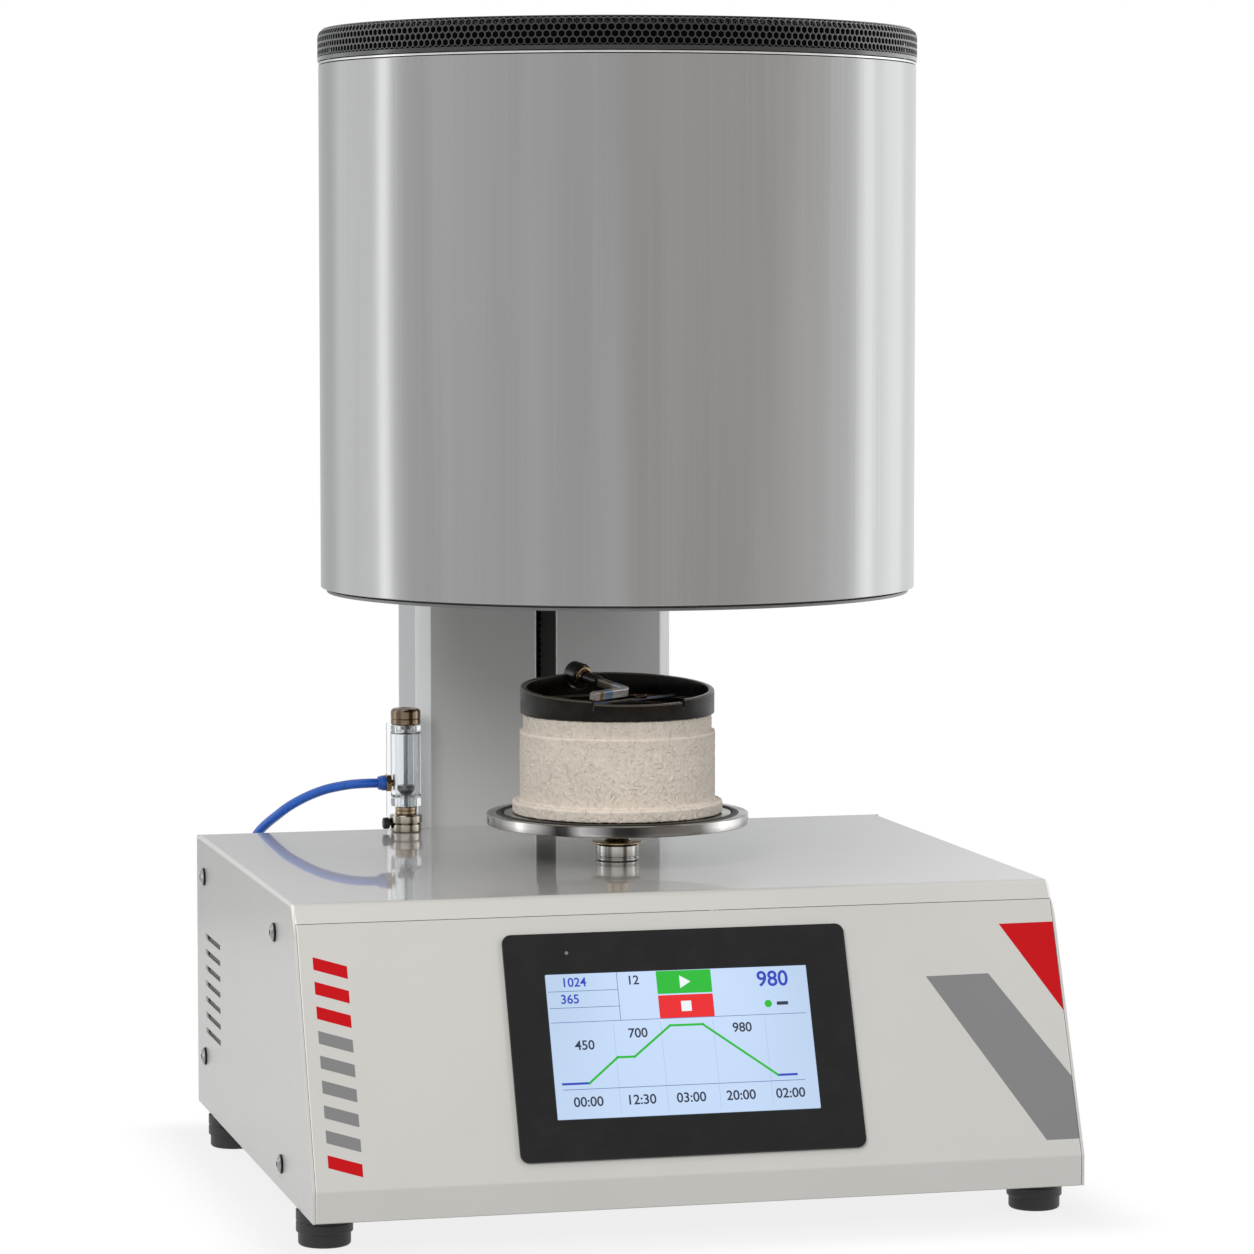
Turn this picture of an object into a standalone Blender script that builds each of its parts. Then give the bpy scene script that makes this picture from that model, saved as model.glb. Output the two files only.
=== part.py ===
"""Heat treatment furnace for a dental laboratory, as an assembly of separate pieces.

A bell-shaped head holds the heated chamber. It rides down a column behind the base, driven by a
lead screw, and closes over a small table that stands on the base. A touch display leans back in the
front of the base, and a flowmeter for the process gas stands beside the column.

Metres, +Z up. X is to the right of someone who faces the furnace, and they look along +Y. The origin
is on the floor below the middle of the base's top sheet.
"""

import math

import bmesh
import bpy
from mathutils import Matrix, Vector

# Fits and shared values
GAP = 0.0003
OVERRUN = 0.004
SHEET = 0.0015
ROUND_SIDES = 18
WIDE_SIDES = 36
HEAD_SIDES = 48
SMALL_SIDES = 14
SHAFT_SIDES = 8
MERGE = 0.000001

# Base
BASE_WIDTH = 0.4474
BASE_TOP_DEPTH = 0.3302
BASE_HEIGHT = 0.1684
LIP_REACH = 0.0078
LIP_DROP = 0.0104
PANEL_REACH = 0.0572
FRONT_LIP = 0.0176
TOP_FRONT_ROUND = 0.005
TOP_SIDE_ROUND = 0.0025
FOLD_ROUND = 0.004
ROUND_STEPS = 3
ROUND_PROFILE_SHARE = 0.5

# Feet
FOOT_HEIGHT = 0.0204
FOOT_R = 0.0160
FOOT_NECK_R = 0.0148
FOOT_CAP_HEIGHT = 0.0125
FOOT_CHAMFER = 0.0015
FOOT_INSET_X = 0.0147
FOOT_INSET_FRONT = 0.0446
FOOT_INSET_BACK = 0.0474

# Side screws, as distances from the back edge and from the bottom of the base
SCREW_UPPER_REAR = (0.0281, 0.1456)
SCREW_UPPER_FRONT = (0.2790, 0.1456)
SCREW_LOWER_REAR = (0.0291, 0.0332)
SCREW_LOWER_FRONT = (0.2981, 0.0156)
SCREW_HEAD_R = 0.0055
SCREW_HEAD_HEIGHT = 0.0030
SCREW_EDGE = 0.0010
SCREW_R = 0.0020
SCREW_LENGTH = 0.0065
SCREW_SOCKET_R = 0.0017
SCREW_SOCKET_DEPTH = 0.0016
SCREW_SOCKET_SIDES = 6

# Louvre slots in each side
LOUVRE_COUNT = 7
LOUVRE_PITCH = 0.0098
LOUVRE_LENGTH = 0.0550
LOUVRE_HEIGHT = 0.0034
LOUVRE_BACK_INSET = 0.0315
LOUVRE_TOP = 0.1109
WINDOW_MARGIN = 0.0060

# Display, placed down the slope of the front panel
DISPLAY_WIDTH = 0.2004
DISPLAY_HEIGHT = 0.1302
DISPLAY_SHIFT_X = -0.0057
DISPLAY_DROP = 0.0109
DISPLAY_PROUD = 0.0025
DISPLAY_CORNER = 0.0050
DISPLAY_RIM = 0.0050
DISPLAY_DEPTH = 0.0300
SCREEN_WIDTH = 0.1525
SCREEN_HEIGHT = 0.0828
SCREEN_SHIFT_X = -0.0009
SCREEN_DROP = 0.0239
SCREEN_THICK = 0.0015
SCREEN_SUNK = 0.0002

# Furnace axis and head
AXIS_X = 0.0020
HEAD_R = 0.1771
HEAD_WALL = 0.0012
HEAD_REST_Z = 0.3541
SHELL_HEIGHT = 0.3085
GUARD_HEIGHT = 0.0212
GUARD_PROUD = 0.0006
GUARD_WALL = 0.0012
GUARD_ROUND = 0.0050
LID_THICK = 0.0015
LID_VENT_R = 0.0300
RING_EDGE_SET = 0.0035
RING_EDGE_THICK = 0.0020
RING_SEAM = 0.0010
RING_SEAM_SET = 0.0070
RING_FLANGE = 0.0050
CHAMBER_R = 0.0680
CHAMBER_DEPTH = 0.1650
MUFFLE_WALL = 0.0060
MUFFLE_LENGTH = 0.1400
INSULATION_AIR_GAP = 0.0159
INSULATION_TOP_GAP = 0.0665
PROBE_R = 0.0030
PROBE_REACH = 0.0080
PROBE_RADIUS_SHARE = 0.6
PROBE_HEAD_R = 0.0100
PROBE_HEAD_HEIGHT = 0.0150

# Column
COLUMN_WIDTH = 0.1669
COLUMN_DEPTH = 0.0628
COLUMN_HEIGHT = 0.5880
COLUMN_CHAMFER = 0.0082
HEAD_TO_COLUMN = 0.0080
SLOT_WIDTH = 0.0130
SLOT_LOW = 0.1250
SLOT_TOP_MARGIN = 0.0300

# Lift inside the column
BLOCK_WIDTH = 0.1500
BLOCK_DEPTH = 0.0560
BLOCK_THICK = 0.0120
LOWER_BLOCK_Z = 0.0760
UPPER_BLOCK_MARGIN = 0.0120
ROD_R = 0.0050
ROD_SPACING = 0.1000
ROD_SEAT = 0.0080
SCREW_SHAFT_R = 0.0040
SCREW_JOURNAL_R = 0.0030
MOTOR_WIDTH = 0.0420
MOTOR_LENGTH = 0.0480
MOTOR_CORNER = 0.0040
MOTOR_BORE_DEPTH = 0.0060
CARRIAGE_WIDTH = 0.1300
CARRIAGE_DEPTH = 0.0440
CARRIAGE_HEIGHT = 0.0800
CARRIAGE_ABOVE_HEAD_FOOT = 0.1260
NUT_R = 0.0080
NUT_FLANGE_R = 0.0140
NUT_FLANGE_THICK = 0.0040
ARM_WIDTH = 0.0100
ARM_HEIGHT = 0.0600
SADDLE_WIDTH = 0.0700
SADDLE_HEIGHT = 0.0800
SADDLE_CLEARANCE = 0.0027

# Table
PLATE_R = 0.0786
PLATE_THICK = 0.0065
PLATE_ABOVE_BASE = 0.0289
PLATE_EDGE = 0.0005
GROOVE_R = 0.0705
GROOVE_WIDTH = 0.0044
GROOVE_DEPTH = 0.0020
SEAL_PROUD = 0.0006
HOUSING_R = 0.0127
HOUSING_HEIGHT = 0.0095
HOUSING_EDGE = 0.0005
HOUSING_SPIGOT_R = 0.0060
HOUSING_SPIGOT = 0.0100
COLLAR_R = 0.0154
COLLAR_THICK = 0.0017
NECK_R = 0.0066
PIN_R = 0.0040
PIN_LENGTH = 0.0080
PLUG_FLANGE_R = 0.0632
PLUG_FLANGE_HEIGHT = 0.0077
PLUG_R = 0.0587
PLUG_BODY_HEIGHT = 0.0420
PLUG_NECK_R = 0.0566
PLUG_NECK_HEIGHT = 0.0096
PLUG_EDGE = 0.0008

# Firing tray
TRAY_R = 0.0582
TRAY_WALL = 0.0037
TRAY_FLOOR = 0.0020
TRAY_LEDGE = 0.0045
TRAY_LEDGE_HEIGHT = 0.0060
TRAY_FRONT_HEIGHT = 0.0110
TRAY_BACK_HEIGHT = 0.0195
TRAY_SECTOR_DROP = 0.0015
TRAY_SECTOR_HALF = 0.0275
TRAY_NOTCH = 0.0010
STRIP_WIDTH = 0.0065
STRIP_THICK = 0.0010
STRIP_END_WIDTH = 0.0030
STRIP_TAPER = 0.0180
STRIP_TURN_DEG = 36.0
STRIP_HUB_R = 0.0045
STRIP_HUB_BORE_R = 0.0030
STRIP_HUB_HEIGHT = 0.0020
STRIP_HUB_ALONG = 0.0210

# Hook that lies in the tray, with its axis from the knob down to the strip
HOOK_KNOB_BACK = (-0.0115, 0.0545)
HOOK_KNOB_ABOVE_TRAY = 0.0185
HOOK_REACH = (0.0210, -0.0415, -0.0072)
HOOK_TIP_FROM_BEND = (-0.0277, -0.0239)
HOOK_TIP_DROP = 0.0003
HOOK_KNOB_R = 0.0077
HOOK_KNOB_LENGTH = 0.0110
HOOK_KNOB_EDGE = 0.0012
HOOK_SLEEVE_R = 0.0036
HOOK_SLEEVE_LENGTH = 0.0150
HOOK_COLLAR_R = 0.0062
HOOK_COLLAR_THICK = 0.0025
HOOK_BAR_WIDTH = 0.0046
HOOK_BAR_HEIGHT = 0.0050
HOOK_BEND_R = 0.0060
HOOK_BEND_STEPS = 8
HOOK_TANG_R = 0.0014
HOOK_TANG = 0.0060

# Flowmeter, upwards from the base
METER_LEFT_OF_AXIS = 0.0947
METER_FROM_BACK = 0.0131
METER_NUT_R = 0.0098
METER_NUT_HEIGHT = 0.0052
METER_UPPER_NUT_R = 0.0104
METER_UPPER_NUT_HEIGHT = 0.0055
METER_RING_R = 0.0068
METER_RING_HEIGHT = 0.0052
METER_NECK_R = 0.0060
METER_LOWER_NECK = 0.0058
METER_GLASS_R = 0.0096
METER_GLASS_BORE_R = 0.0071
METER_GLASS_HEIGHT = 0.0416
METER_SHOULDER = 0.0012
METER_UPPER_NECK = 0.0042
METER_NECK_BORE_R = 0.0040
METER_CAP_R = 0.0094
METER_CAP_HEIGHT = 0.0104
METER_CAP_EDGE = 0.0005
METER_CAP_PLUG_R = 0.0034
METER_CAP_PLUG = 0.0030
METER_ROD_R = 0.0012
METER_STOP_R = 0.0034
METER_STOP_HEIGHT = 0.0012
FLOAT_R = 0.0055
FLOAT_HEIGHT = 0.0060
FLOAT_CONE_R = 0.0030
FLOAT_RISE = 0.0250
VALVE_R = 0.0036
VALVE_LENGTH = 0.0044
VALVE_EDGE = 0.0005
VALVE_STEM_R = 0.0015
VALVE_STEM_LENGTH = 0.0060
PORT_ABOVE_BASE = 0.0311
PORT_HOLE_R = 0.0026
PORT_SPIGOT_R = 0.0022
PORT_NUT_R = 0.0058
PORT_NUT_THICK = 0.0033
PORT_COLLET_R = 0.0048
PORT_COLLET_LENGTH = 0.0048
CLIP_WALL = 0.0016
CLIP_PLATE = 0.0020
CLIP_PLATE_WIDTH = 0.0200
CLIP_WEB_WIDTH = 0.0084

# Gas hose, as distances from the flowmeter's port to the fitting on the rear panel
HOSE_R = 0.0030
HOSE_STEPS = 16
ELBOW_FROM_LEFT = 0.0377
ELBOW_BEHIND = 0.0172
ELBOW_ABOVE_BASE_FOOT = 0.1150
ELBOW_BLOCK = 0.0140
ELBOW_SPIGOT_R = 0.0045
ELBOW_SPIGOT_LENGTH = 0.0120
ELBOW_COLLET_R = 0.0052
ELBOW_COLLET = 0.0060
ELBOW_NUT_R = 0.0080
ELBOW_NUT_THICK = 0.0040

# Rear panel equipment
FAN_SIZE = 0.0600
FAN_DEPTH = 0.0150
FAN_FROM_RIGHT = 0.0977
FAN_ABOVE_BASE_FOOT = 0.1080
FAN_BORE_R = 0.0280
FAN_HUB_R = 0.0120
FAN_BLADE_R = 0.0265
FAN_BLADES = 7
FAN_BLADE_THICK = 0.0012
FAN_BLADE_DEPTH = 0.0075
FAN_BLADE_PITCH_DEG = 40.0
FAN_ROTOR_DEPTH = 0.0090
FAN_STRUT = 0.0040
FAN_STRUT_THICK = 0.0030
FAN_PIN_R = 0.0016
FAN_PIN_LENGTH = 0.0050
INLET_FROM_RIGHT = 0.0367
INLET_ABOVE_BASE_FOOT = 0.0700
INLET_WIDTH = 0.0300
INLET_HEIGHT = 0.0580
INLET_FLANGE = 0.0025
INLET_BODY_WIDTH = 0.0272
INLET_BODY_HEIGHT = 0.0540
INLET_BODY_DEPTH = 0.0300
SOCKET_WIDTH = 0.0200
SOCKET_HEIGHT = 0.0240
SOCKET_DEPTH = 0.0170
SOCKET_DROP = 0.0125
ROCKER_WIDTH = 0.0130
ROCKER_HEIGHT = 0.0190
ROCKER_RISE = 0.0155
ROCKER_WELL = 0.0110
ROCKER_PIN_R = 0.0018
ROCKER_TILT_DEG = 12.0
ROCKER_PIVOT_SUNK = 0.0060
ROCKER_CLEARANCE = 0.0008
BOARD_WIDTH = 0.1000
BOARD_DEPTH = 0.0800
BOARD_THICK = 0.0016
BOARD_STANDOFF = 0.0100
BOARD_STANDOFF_R = 0.0030
BOARD_CHIP = 0.0200
BOARD_CHIP_HEIGHT = 0.0060
BOARD_SHIFT_Y = 0.0300

# Places worked out from the sizes
LEFT = -BASE_WIDTH / 2
RIGHT = BASE_WIDTH / 2
BACK_Y = BASE_TOP_DEPTH / 2
TOP_FRONT_Y = -BASE_TOP_DEPTH / 2
LIP_Y = TOP_FRONT_Y - LIP_REACH
FOLD_Y = LIP_Y - PANEL_REACH
BOTTOM_Z = FOOT_HEIGHT
TOP_Z = FOOT_HEIGHT + BASE_HEIGHT
LIP_Z = TOP_Z - LIP_DROP
FOLD_Z = BOTTOM_Z + FRONT_LIP
PANEL_DROP = LIP_Z - FOLD_Z
PANEL_TILT = math.atan2(PANEL_DROP, PANEL_REACH)
REAR_OUT_Y = BACK_Y + GAP + SHEET
COLUMN_FRONT_Y = REAR_OUT_Y + GAP
COLUMN_BACK_Y = COLUMN_FRONT_Y + COLUMN_DEPTH
COLUMN_TOP_Z = BOTTOM_Z + COLUMN_HEIGHT
LIFT_Y = (COLUMN_FRONT_Y + COLUMN_BACK_Y) / 2
AXIS_Y = COLUMN_FRONT_Y - HEAD_TO_COLUMN - HEAD_R
SHELL_TOP_Z = HEAD_REST_Z + SHELL_HEIGHT
PLATE_TOP_Z = TOP_Z + PLATE_ABOVE_BASE
PLUG_Z = PLATE_TOP_Z + GAP
TRAY_Z = PLUG_Z + PLUG_FLANGE_HEIGHT + PLUG_BODY_HEIGHT + PLUG_NECK_HEIGHT + GAP
METER_X = AXIS_X - METER_LEFT_OF_AXIS
METER_Y = BACK_Y - METER_FROM_BACK
FAN_CENTRE = (RIGHT - FAN_FROM_RIGHT, BOTTOM_Z + FAN_ABOVE_BASE_FOOT)
INLET_CENTRE = (RIGHT - INLET_FROM_RIGHT, BOTTOM_Z + INLET_ABOVE_BASE_FOOT)
ELBOW_X = LEFT + ELBOW_FROM_LEFT
ELBOW_Z = BOTTOM_Z + ELBOW_ABOVE_BASE_FOOT

# Each material's colour, roughness and metallic value
MATERIALS = {
    "white_paint": ((0.78, 0.77, 0.75), 0.35, 0.0),
    "grey_paint": ((0.42, 0.43, 0.43), 0.35, 0.3),
    "black_metal": ((0.03, 0.03, 0.03), 0.45, 0.6),
    "steel": ((0.62, 0.63, 0.64), 0.25, 1.0),
    "chrome": ((0.80, 0.80, 0.80), 0.10, 1.0),
    "aluminium": ((0.66, 0.67, 0.68), 0.35, 1.0),
    "bronze": ((0.48, 0.36, 0.20), 0.25, 1.0),
    "ceramic": ((0.78, 0.72, 0.62), 0.80, 0.0),
    "fibre": ((0.85, 0.84, 0.80), 0.90, 0.0),
    "tray_black": ((0.05, 0.04, 0.04), 0.50, 0.2),
    "rubber": ((0.02, 0.02, 0.02), 0.60, 0.0),
    "black_plastic": ((0.03, 0.03, 0.03), 0.40, 0.0),
    "screen": ((0.45, 0.60, 0.75), 0.10, 0.0),
    "clear_glass": ((0.85, 0.90, 0.92), 0.05, 0.0),
    "blue_hose": ((0.01, 0.13, 0.55), 0.30, 0.0),
    "circuit_board": ((0.02, 0.20, 0.08), 0.50, 0.0),
}


def clear_scene():
    """Removes whatever the scene holds."""
    for thing in list(bpy.data.objects):
        bpy.data.objects.remove(thing)


def material(name):
    """The Principled material of this name, made once."""
    found = bpy.data.materials.get(name)
    if found:
        return found
    colour, roughness, metallic = MATERIALS[name]
    made = bpy.data.materials.new(name)
    made.use_nodes = True
    shader = made.node_tree.nodes["Principled BSDF"]
    shader.inputs["Base Color"].default_value = (*colour, 1)
    shader.inputs["Roughness"].default_value = roughness
    shader.inputs["Metallic"].default_value = metallic
    made.diffuse_color = (*colour, 1)
    return made


def finish(name, bm, made_of=None, at=(0, 0, 0)):
    """Turns a bmesh into a named object; with no material it is a cutter that is left out."""
    bmesh.ops.recalc_face_normals(bm, faces=bm.faces)
    mesh = bpy.data.meshes.new(name)
    bm.to_mesh(mesh)
    bm.free()
    thing = bpy.data.objects.new(name, mesh)
    thing.location = at
    bpy.context.scene.collection.objects.link(thing)
    if made_of:
        mesh.materials.append(material(made_of))
        mesh.shade_smooth()
        mesh.set_sharp_from_angle(angle=math.radians(30))
    else:
        thing.hide_render = True
        thing.display_type = "WIRE"
    return thing


def extrude(bm, points, vector):
    """Extrudes the face through these points, and gives the new face's vertices."""
    face = bm.faces.new([bm.verts.new(p) for p in points])
    grown = bmesh.ops.extrude_face_region(bm, geom=[face])["geom"]
    moved = [v for v in grown if isinstance(v, bmesh.types.BMVert)]
    bmesh.ops.translate(bm, verts=moved, vec=vector)
    return moved


def prism_x(name, outline, low, high, made_of=None, at=(0, 0, 0)):
    """A (y, z) outline extruded along X."""
    bm = bmesh.new()
    extrude(bm, [(low, y, z) for y, z in outline], (high - low, 0, 0))
    return finish(name, bm, made_of, at)


def prism_y(name, outline, low, high, made_of=None, at=(0, 0, 0)):
    """An (x, z) outline extruded along Y."""
    bm = bmesh.new()
    extrude(bm, [(x, low, z) for x, z in outline], (0, high - low, 0))
    return finish(name, bm, made_of, at)


def prism_z(name, outline, low, high, made_of=None, at=(0, 0, 0)):
    """An (x, y) outline extruded along Z."""
    bm = bmesh.new()
    extrude(bm, [(x, y, low) for x, y in outline], (0, 0, high - low))
    return finish(name, bm, made_of, at)


def rectangle(centre, size):
    """The four corners of a rectangle."""
    (x, y), (w, h) = centre, (size[0] / 2, size[1] / 2)
    return [(x - w, y - h), (x + w, y - h), (x + w, y + h), (x - w, y + h)]


def box(name, low, high, made_of=None):
    """A box between two corners."""
    outline = [(low[0], low[1]), (high[0], low[1]), (high[0], high[1]), (low[0], high[1])]
    return prism_z(name, outline, low[2], high[2], made_of)


def regular(radius, sides, centre=(0, 0), turn=0.0):
    """A regular polygon."""
    step = 2 * math.pi / sides
    return [
        (centre[0] + radius * math.cos(turn + n * step), centre[1] + radius * math.sin(turn + n * step))
        for n in range(sides)
    ]


def rounded(points, radii, steps=ROUND_STEPS):
    """A closed outline whose corners are replaced by arcs of the given radii."""
    out = []
    for n, point in enumerate(points):
        radius = radii[n]
        here = Vector(point)
        to_last = (Vector(points[n - 1]) - here).normalized()
        to_next = (Vector(points[(n + 1) % len(points)]) - here).normalized()
        if not radius:
            out.append(tuple(here))
            continue
        half = to_last.angle(to_next) / 2
        centre = here + (to_last + to_next).normalized() * (radius / math.sin(half))
        start = here + to_last * (radius / math.tan(half)) - centre
        end = here + to_next * (radius / math.tan(half)) - centre
        sweep = start.angle_signed(end)
        for k in range(steps + 1):
            turned = start.copy()
            turned.rotate(Matrix.Rotation(-sweep * k / steps, 2))
            out.append(tuple(centre + turned))
    return out


def lathe(name, profile, sides=ROUND_SIDES, made_of=None, at=(0, 0, 0), turn=(0, 0, 0)):
    """Spins an (r, z) profile round Z: open where it starts and ends on the axis, else a closed loop."""
    bm = bmesh.new()
    verts = [bm.verts.new((r, 0, z)) for r, z in profile]
    edges = [bm.edges.new(pair) for pair in zip(verts, verts[1:])]
    if profile[0][0] or profile[-1][0]:
        edges.append(bm.edges.new((verts[-1], verts[0])))
    bmesh.ops.spin(
        bm, geom=verts + edges, cent=(0, 0, 0), axis=(0, 0, 1), angle=2 * math.pi, steps=sides, use_merge=True
    )
    bmesh.ops.remove_doubles(bm, verts=bm.verts, dist=MERGE)
    thing = finish(name, bm, made_of, at)
    thing.rotation_euler = turn
    return thing


def ring_profile(inner, outer, low, high):
    """The profile of a plain tube."""
    return [(inner, low), (outer, low), (outer, high), (inner, high)]


def rod_profile(radius, low, high):
    """The profile of a plain rod."""
    return [(0, low), (radius, low), (radius, high), (0, high)]


def cut(thing, cutter, operation="DIFFERENCE"):
    """Adds a Boolean that keeps the exact solver."""
    modifier = thing.modifiers.new(cutter.name, "BOOLEAN")
    modifier.operation = operation
    modifier.object = cutter


def join(thing, addition):
    """Unites a helper solid with this one."""
    cut(thing, addition, "UNION")


def round_cutter(name, radius, low, high, at, turn=(0, 0, 0), sides=SMALL_SIDES):
    """A round hole's cutter."""
    return lathe(name, rod_profile(radius, low, high), sides, at=at, turn=turn)


def hang(child, holder):
    """Parents an object and keeps it where it is in the world."""
    child.parent = holder
    child.matrix_parent_inverse = holder.matrix_world.inverted()


def pivot(name, at, turn=(0, 0, 0)):
    """An empty on a joint's axis or at a frame of its own."""
    thing = bpy.data.objects.new(name, None)
    thing.location = at
    thing.rotation_euler = turn
    bpy.context.scene.collection.objects.link(thing)
    bpy.context.view_layer.update()
    return thing


ALONG_X = (0, math.pi / 2, 0)
ALONG_MINUS_X = (0, -math.pi / 2, 0)
ALONG_Y = (-math.pi / 2, 0, 0)


# Base

def cover_outline():
    """The side view of the base's outer skin."""
    points = [
        (BACK_Y, BOTTOM_Z), (BACK_Y, TOP_Z), (TOP_FRONT_Y, TOP_Z),
        (LIP_Y, LIP_Z), (FOLD_Y, FOLD_Z), (FOLD_Y, BOTTOM_Z),
    ]
    return rounded(points, [0, 0, TOP_FRONT_ROUND, 0, FOLD_ROUND, 0])


def behind_panel(distance):
    """How far back in Y a surface lies that is this deep behind the sloping panel."""
    return distance / math.sin(PANEL_TILT)


def screw_places():
    """The (y, z) of the four screws on a side."""
    rows = (SCREW_UPPER_REAR, SCREW_UPPER_FRONT, SCREW_LOWER_REAR, SCREW_LOWER_FRONT)
    return [(BACK_Y - back, BOTTOM_Z + up) for back, up in rows]


def round_top_sides(bm):
    """Rounds the two long top edges and their run over the front lip."""
    edges = []
    for edge in bm.edges:
        at_side = all(abs(abs(v.co.x) - RIGHT) < MERGE for v in edge.verts)
        if at_side and all(v.co.z > LIP_Z - MERGE for v in edge.verts):
            if any(abs(v.co.z - TOP_Z) < MERGE or v.co.y < TOP_FRONT_Y + TOP_FRONT_ROUND for v in edge.verts):
                edges.append(edge)
    long_edges = [e for e in edges if abs(e.verts[0].co.y - e.verts[1].co.y) > MERGE]
    bmesh.ops.bevel(
        bm, geom=long_edges, offset=TOP_SIDE_ROUND, segments=2, profile=ROUND_PROFILE_SHARE, affect="EDGES"
    )


def top_cover():
    """The bent sheet that is the base's top, front lip and both sides."""
    bm = bmesh.new()
    extrude(bm, [(LEFT, y, z) for y, z in cover_outline()], (BASE_WIDTH, 0, 0))
    round_top_sides(bm)
    cover = finish("top_cover", bm, "white_paint")
    inner = [
        (BACK_Y + OVERRUN, BOTTOM_Z - OVERRUN), (BACK_Y + OVERRUN, TOP_Z - SHEET),
        (TOP_FRONT_Y + SHEET / 2, TOP_Z - SHEET), (LIP_Y + behind_panel(SHEET), LIP_Z),
        (FOLD_Y - OVERRUN, LIP_Z), (FOLD_Y - OVERRUN, BOTTOM_Z - OVERRUN),
    ]
    cut(cover, prism_x("cover_inside", inner, LEFT + SHEET, RIGHT - SHEET))
    cut(cover, side_holes("cover_holes"))
    at = (AXIS_X, AXIS_Y, TOP_Z)
    cut(cover, round_cutter("housing_hole", HOUSING_SPIGOT_R + GAP, -SHEET - OVERRUN, OVERRUN, at))
    bore = (METER_X, METER_Y, TOP_Z)
    cut(cover, round_cutter("meter_hole", METER_NECK_BORE_R + GAP, -SHEET - OVERRUN, OVERRUN, bore))
    return cover


def side_holes(name):
    """The louvre slots and screw holes that go through both sides, as one cutter."""
    bm = bmesh.new()
    low_y = BACK_Y - LOUVRE_BACK_INSET - LOUVRE_LENGTH
    for n in range(LOUVRE_COUNT):
        top = BOTTOM_Z + LOUVRE_TOP - n * LOUVRE_PITCH
        slot = [
            (low_y, top - LOUVRE_HEIGHT), (low_y + LOUVRE_LENGTH, top - LOUVRE_HEIGHT),
            (low_y + LOUVRE_LENGTH, top), (low_y, top),
        ]
        extrude(bm, [(LEFT - OVERRUN, y, z) for y, z in slot], (BASE_WIDTH + 2 * OVERRUN, 0, 0))
    for place in screw_places():
        hole = regular(SCREW_R + GAP, SHAFT_SIDES, place)
        extrude(bm, [(LEFT - OVERRUN, y, z) for y, z in hole], (BASE_WIDTH + 2 * OVERRUN, 0, 0))
    return finish(name, bm)


def base_tray():
    """The chassis: a floor with a full-height wall inside each side of the cover."""
    wall = SHEET + GAP
    low, high = LEFT + wall, RIGHT - wall
    front = behind_panel(wall)
    outline = [
        (BACK_Y, BOTTOM_Z), (BACK_Y, TOP_Z - wall), (TOP_FRONT_Y + wall, TOP_Z - wall),
        (LIP_Y + front, LIP_Z), (FOLD_Y + front, FOLD_Z), (FOLD_Y + wall, BOTTOM_Z),
    ]
    tray = prism_x("base_tray", outline, low, high, "steel")
    inside = [
        (BACK_Y + OVERRUN, BOTTOM_Z + SHEET), (BACK_Y + OVERRUN, TOP_Z + OVERRUN),
        (FOLD_Y - OVERRUN, TOP_Z + OVERRUN), (FOLD_Y - OVERRUN, BOTTOM_Z + SHEET),
    ]
    cut(tray, prism_x("tray_inside", inside, low + SHEET, high - SHEET))
    bm = bmesh.new()
    high_y = BACK_Y - LOUVRE_BACK_INSET + WINDOW_MARGIN
    low_y = BACK_Y - LOUVRE_BACK_INSET - LOUVRE_LENGTH - WINDOW_MARGIN
    top = BOTTOM_Z + LOUVRE_TOP + WINDOW_MARGIN
    foot = BOTTOM_Z + LOUVRE_TOP - LOUVRE_COUNT * LOUVRE_PITCH
    window = [(low_y, foot), (high_y, foot), (high_y, top), (low_y, top)]
    extrude(bm, [(LEFT - OVERRUN, y, z) for y, z in window], (BASE_WIDTH + 2 * OVERRUN, 0, 0))
    for place in screw_places():
        hole = regular(SCREW_R + GAP, SHAFT_SIDES, place)
        extrude(bm, [(LEFT - OVERRUN, y, z) for y, z in hole], (BASE_WIDTH + 2 * OVERRUN, 0, 0))
    cut(tray, finish("tray_windows", bm))
    return tray


def front_panel():
    """The folded front: the leaning face with the display's window, and the upright strip below it."""
    inset = SHEET + GAP
    deep = behind_panel(SHEET)
    drop = GAP / math.tan(PANEL_TILT)
    outline = [
        (LIP_Y - drop, LIP_Z - GAP), (FOLD_Y, FOLD_Z), (FOLD_Y, BOTTOM_Z),
        (FOLD_Y + SHEET, BOTTOM_Z), (FOLD_Y + SHEET, FOLD_Z), (LIP_Y - drop + deep, LIP_Z - GAP),
    ]
    radii = [0, FOLD_ROUND, 0, 0, FOLD_ROUND - SHEET, 0]
    panel = prism_x("front_panel", rounded(outline, radii), LEFT + inset, RIGHT - inset, "white_paint")
    window = box(
        "display_window",
        (*display_corner(DISPLAY_RIM, -1), -DISPLAY_DEPTH), (*display_corner(DISPLAY_RIM, 1), OVERRUN),
    )
    window.parent = bpy.data.objects["panel_frame"]
    cut(panel, window)
    return panel


def panel_frame():
    """The frame of the sloping face: X across, Y up the slope from the lip's edge, Z out of the face."""
    return pivot("panel_frame", (0, LIP_Y, LIP_Z), (PANEL_TILT, 0, 0))


def display_corner(inset, side):
    """A corner of the display, this far inside its edge: the lower left for -1, the upper right for 1."""
    middle = (DISPLAY_SHIFT_X, -DISPLAY_DROP - DISPLAY_HEIGHT / 2)
    half = (DISPLAY_WIDTH / 2 - inset, DISPLAY_HEIGHT / 2 - inset)
    return (middle[0] + side * half[0], middle[1] + side * half[1])


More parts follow.
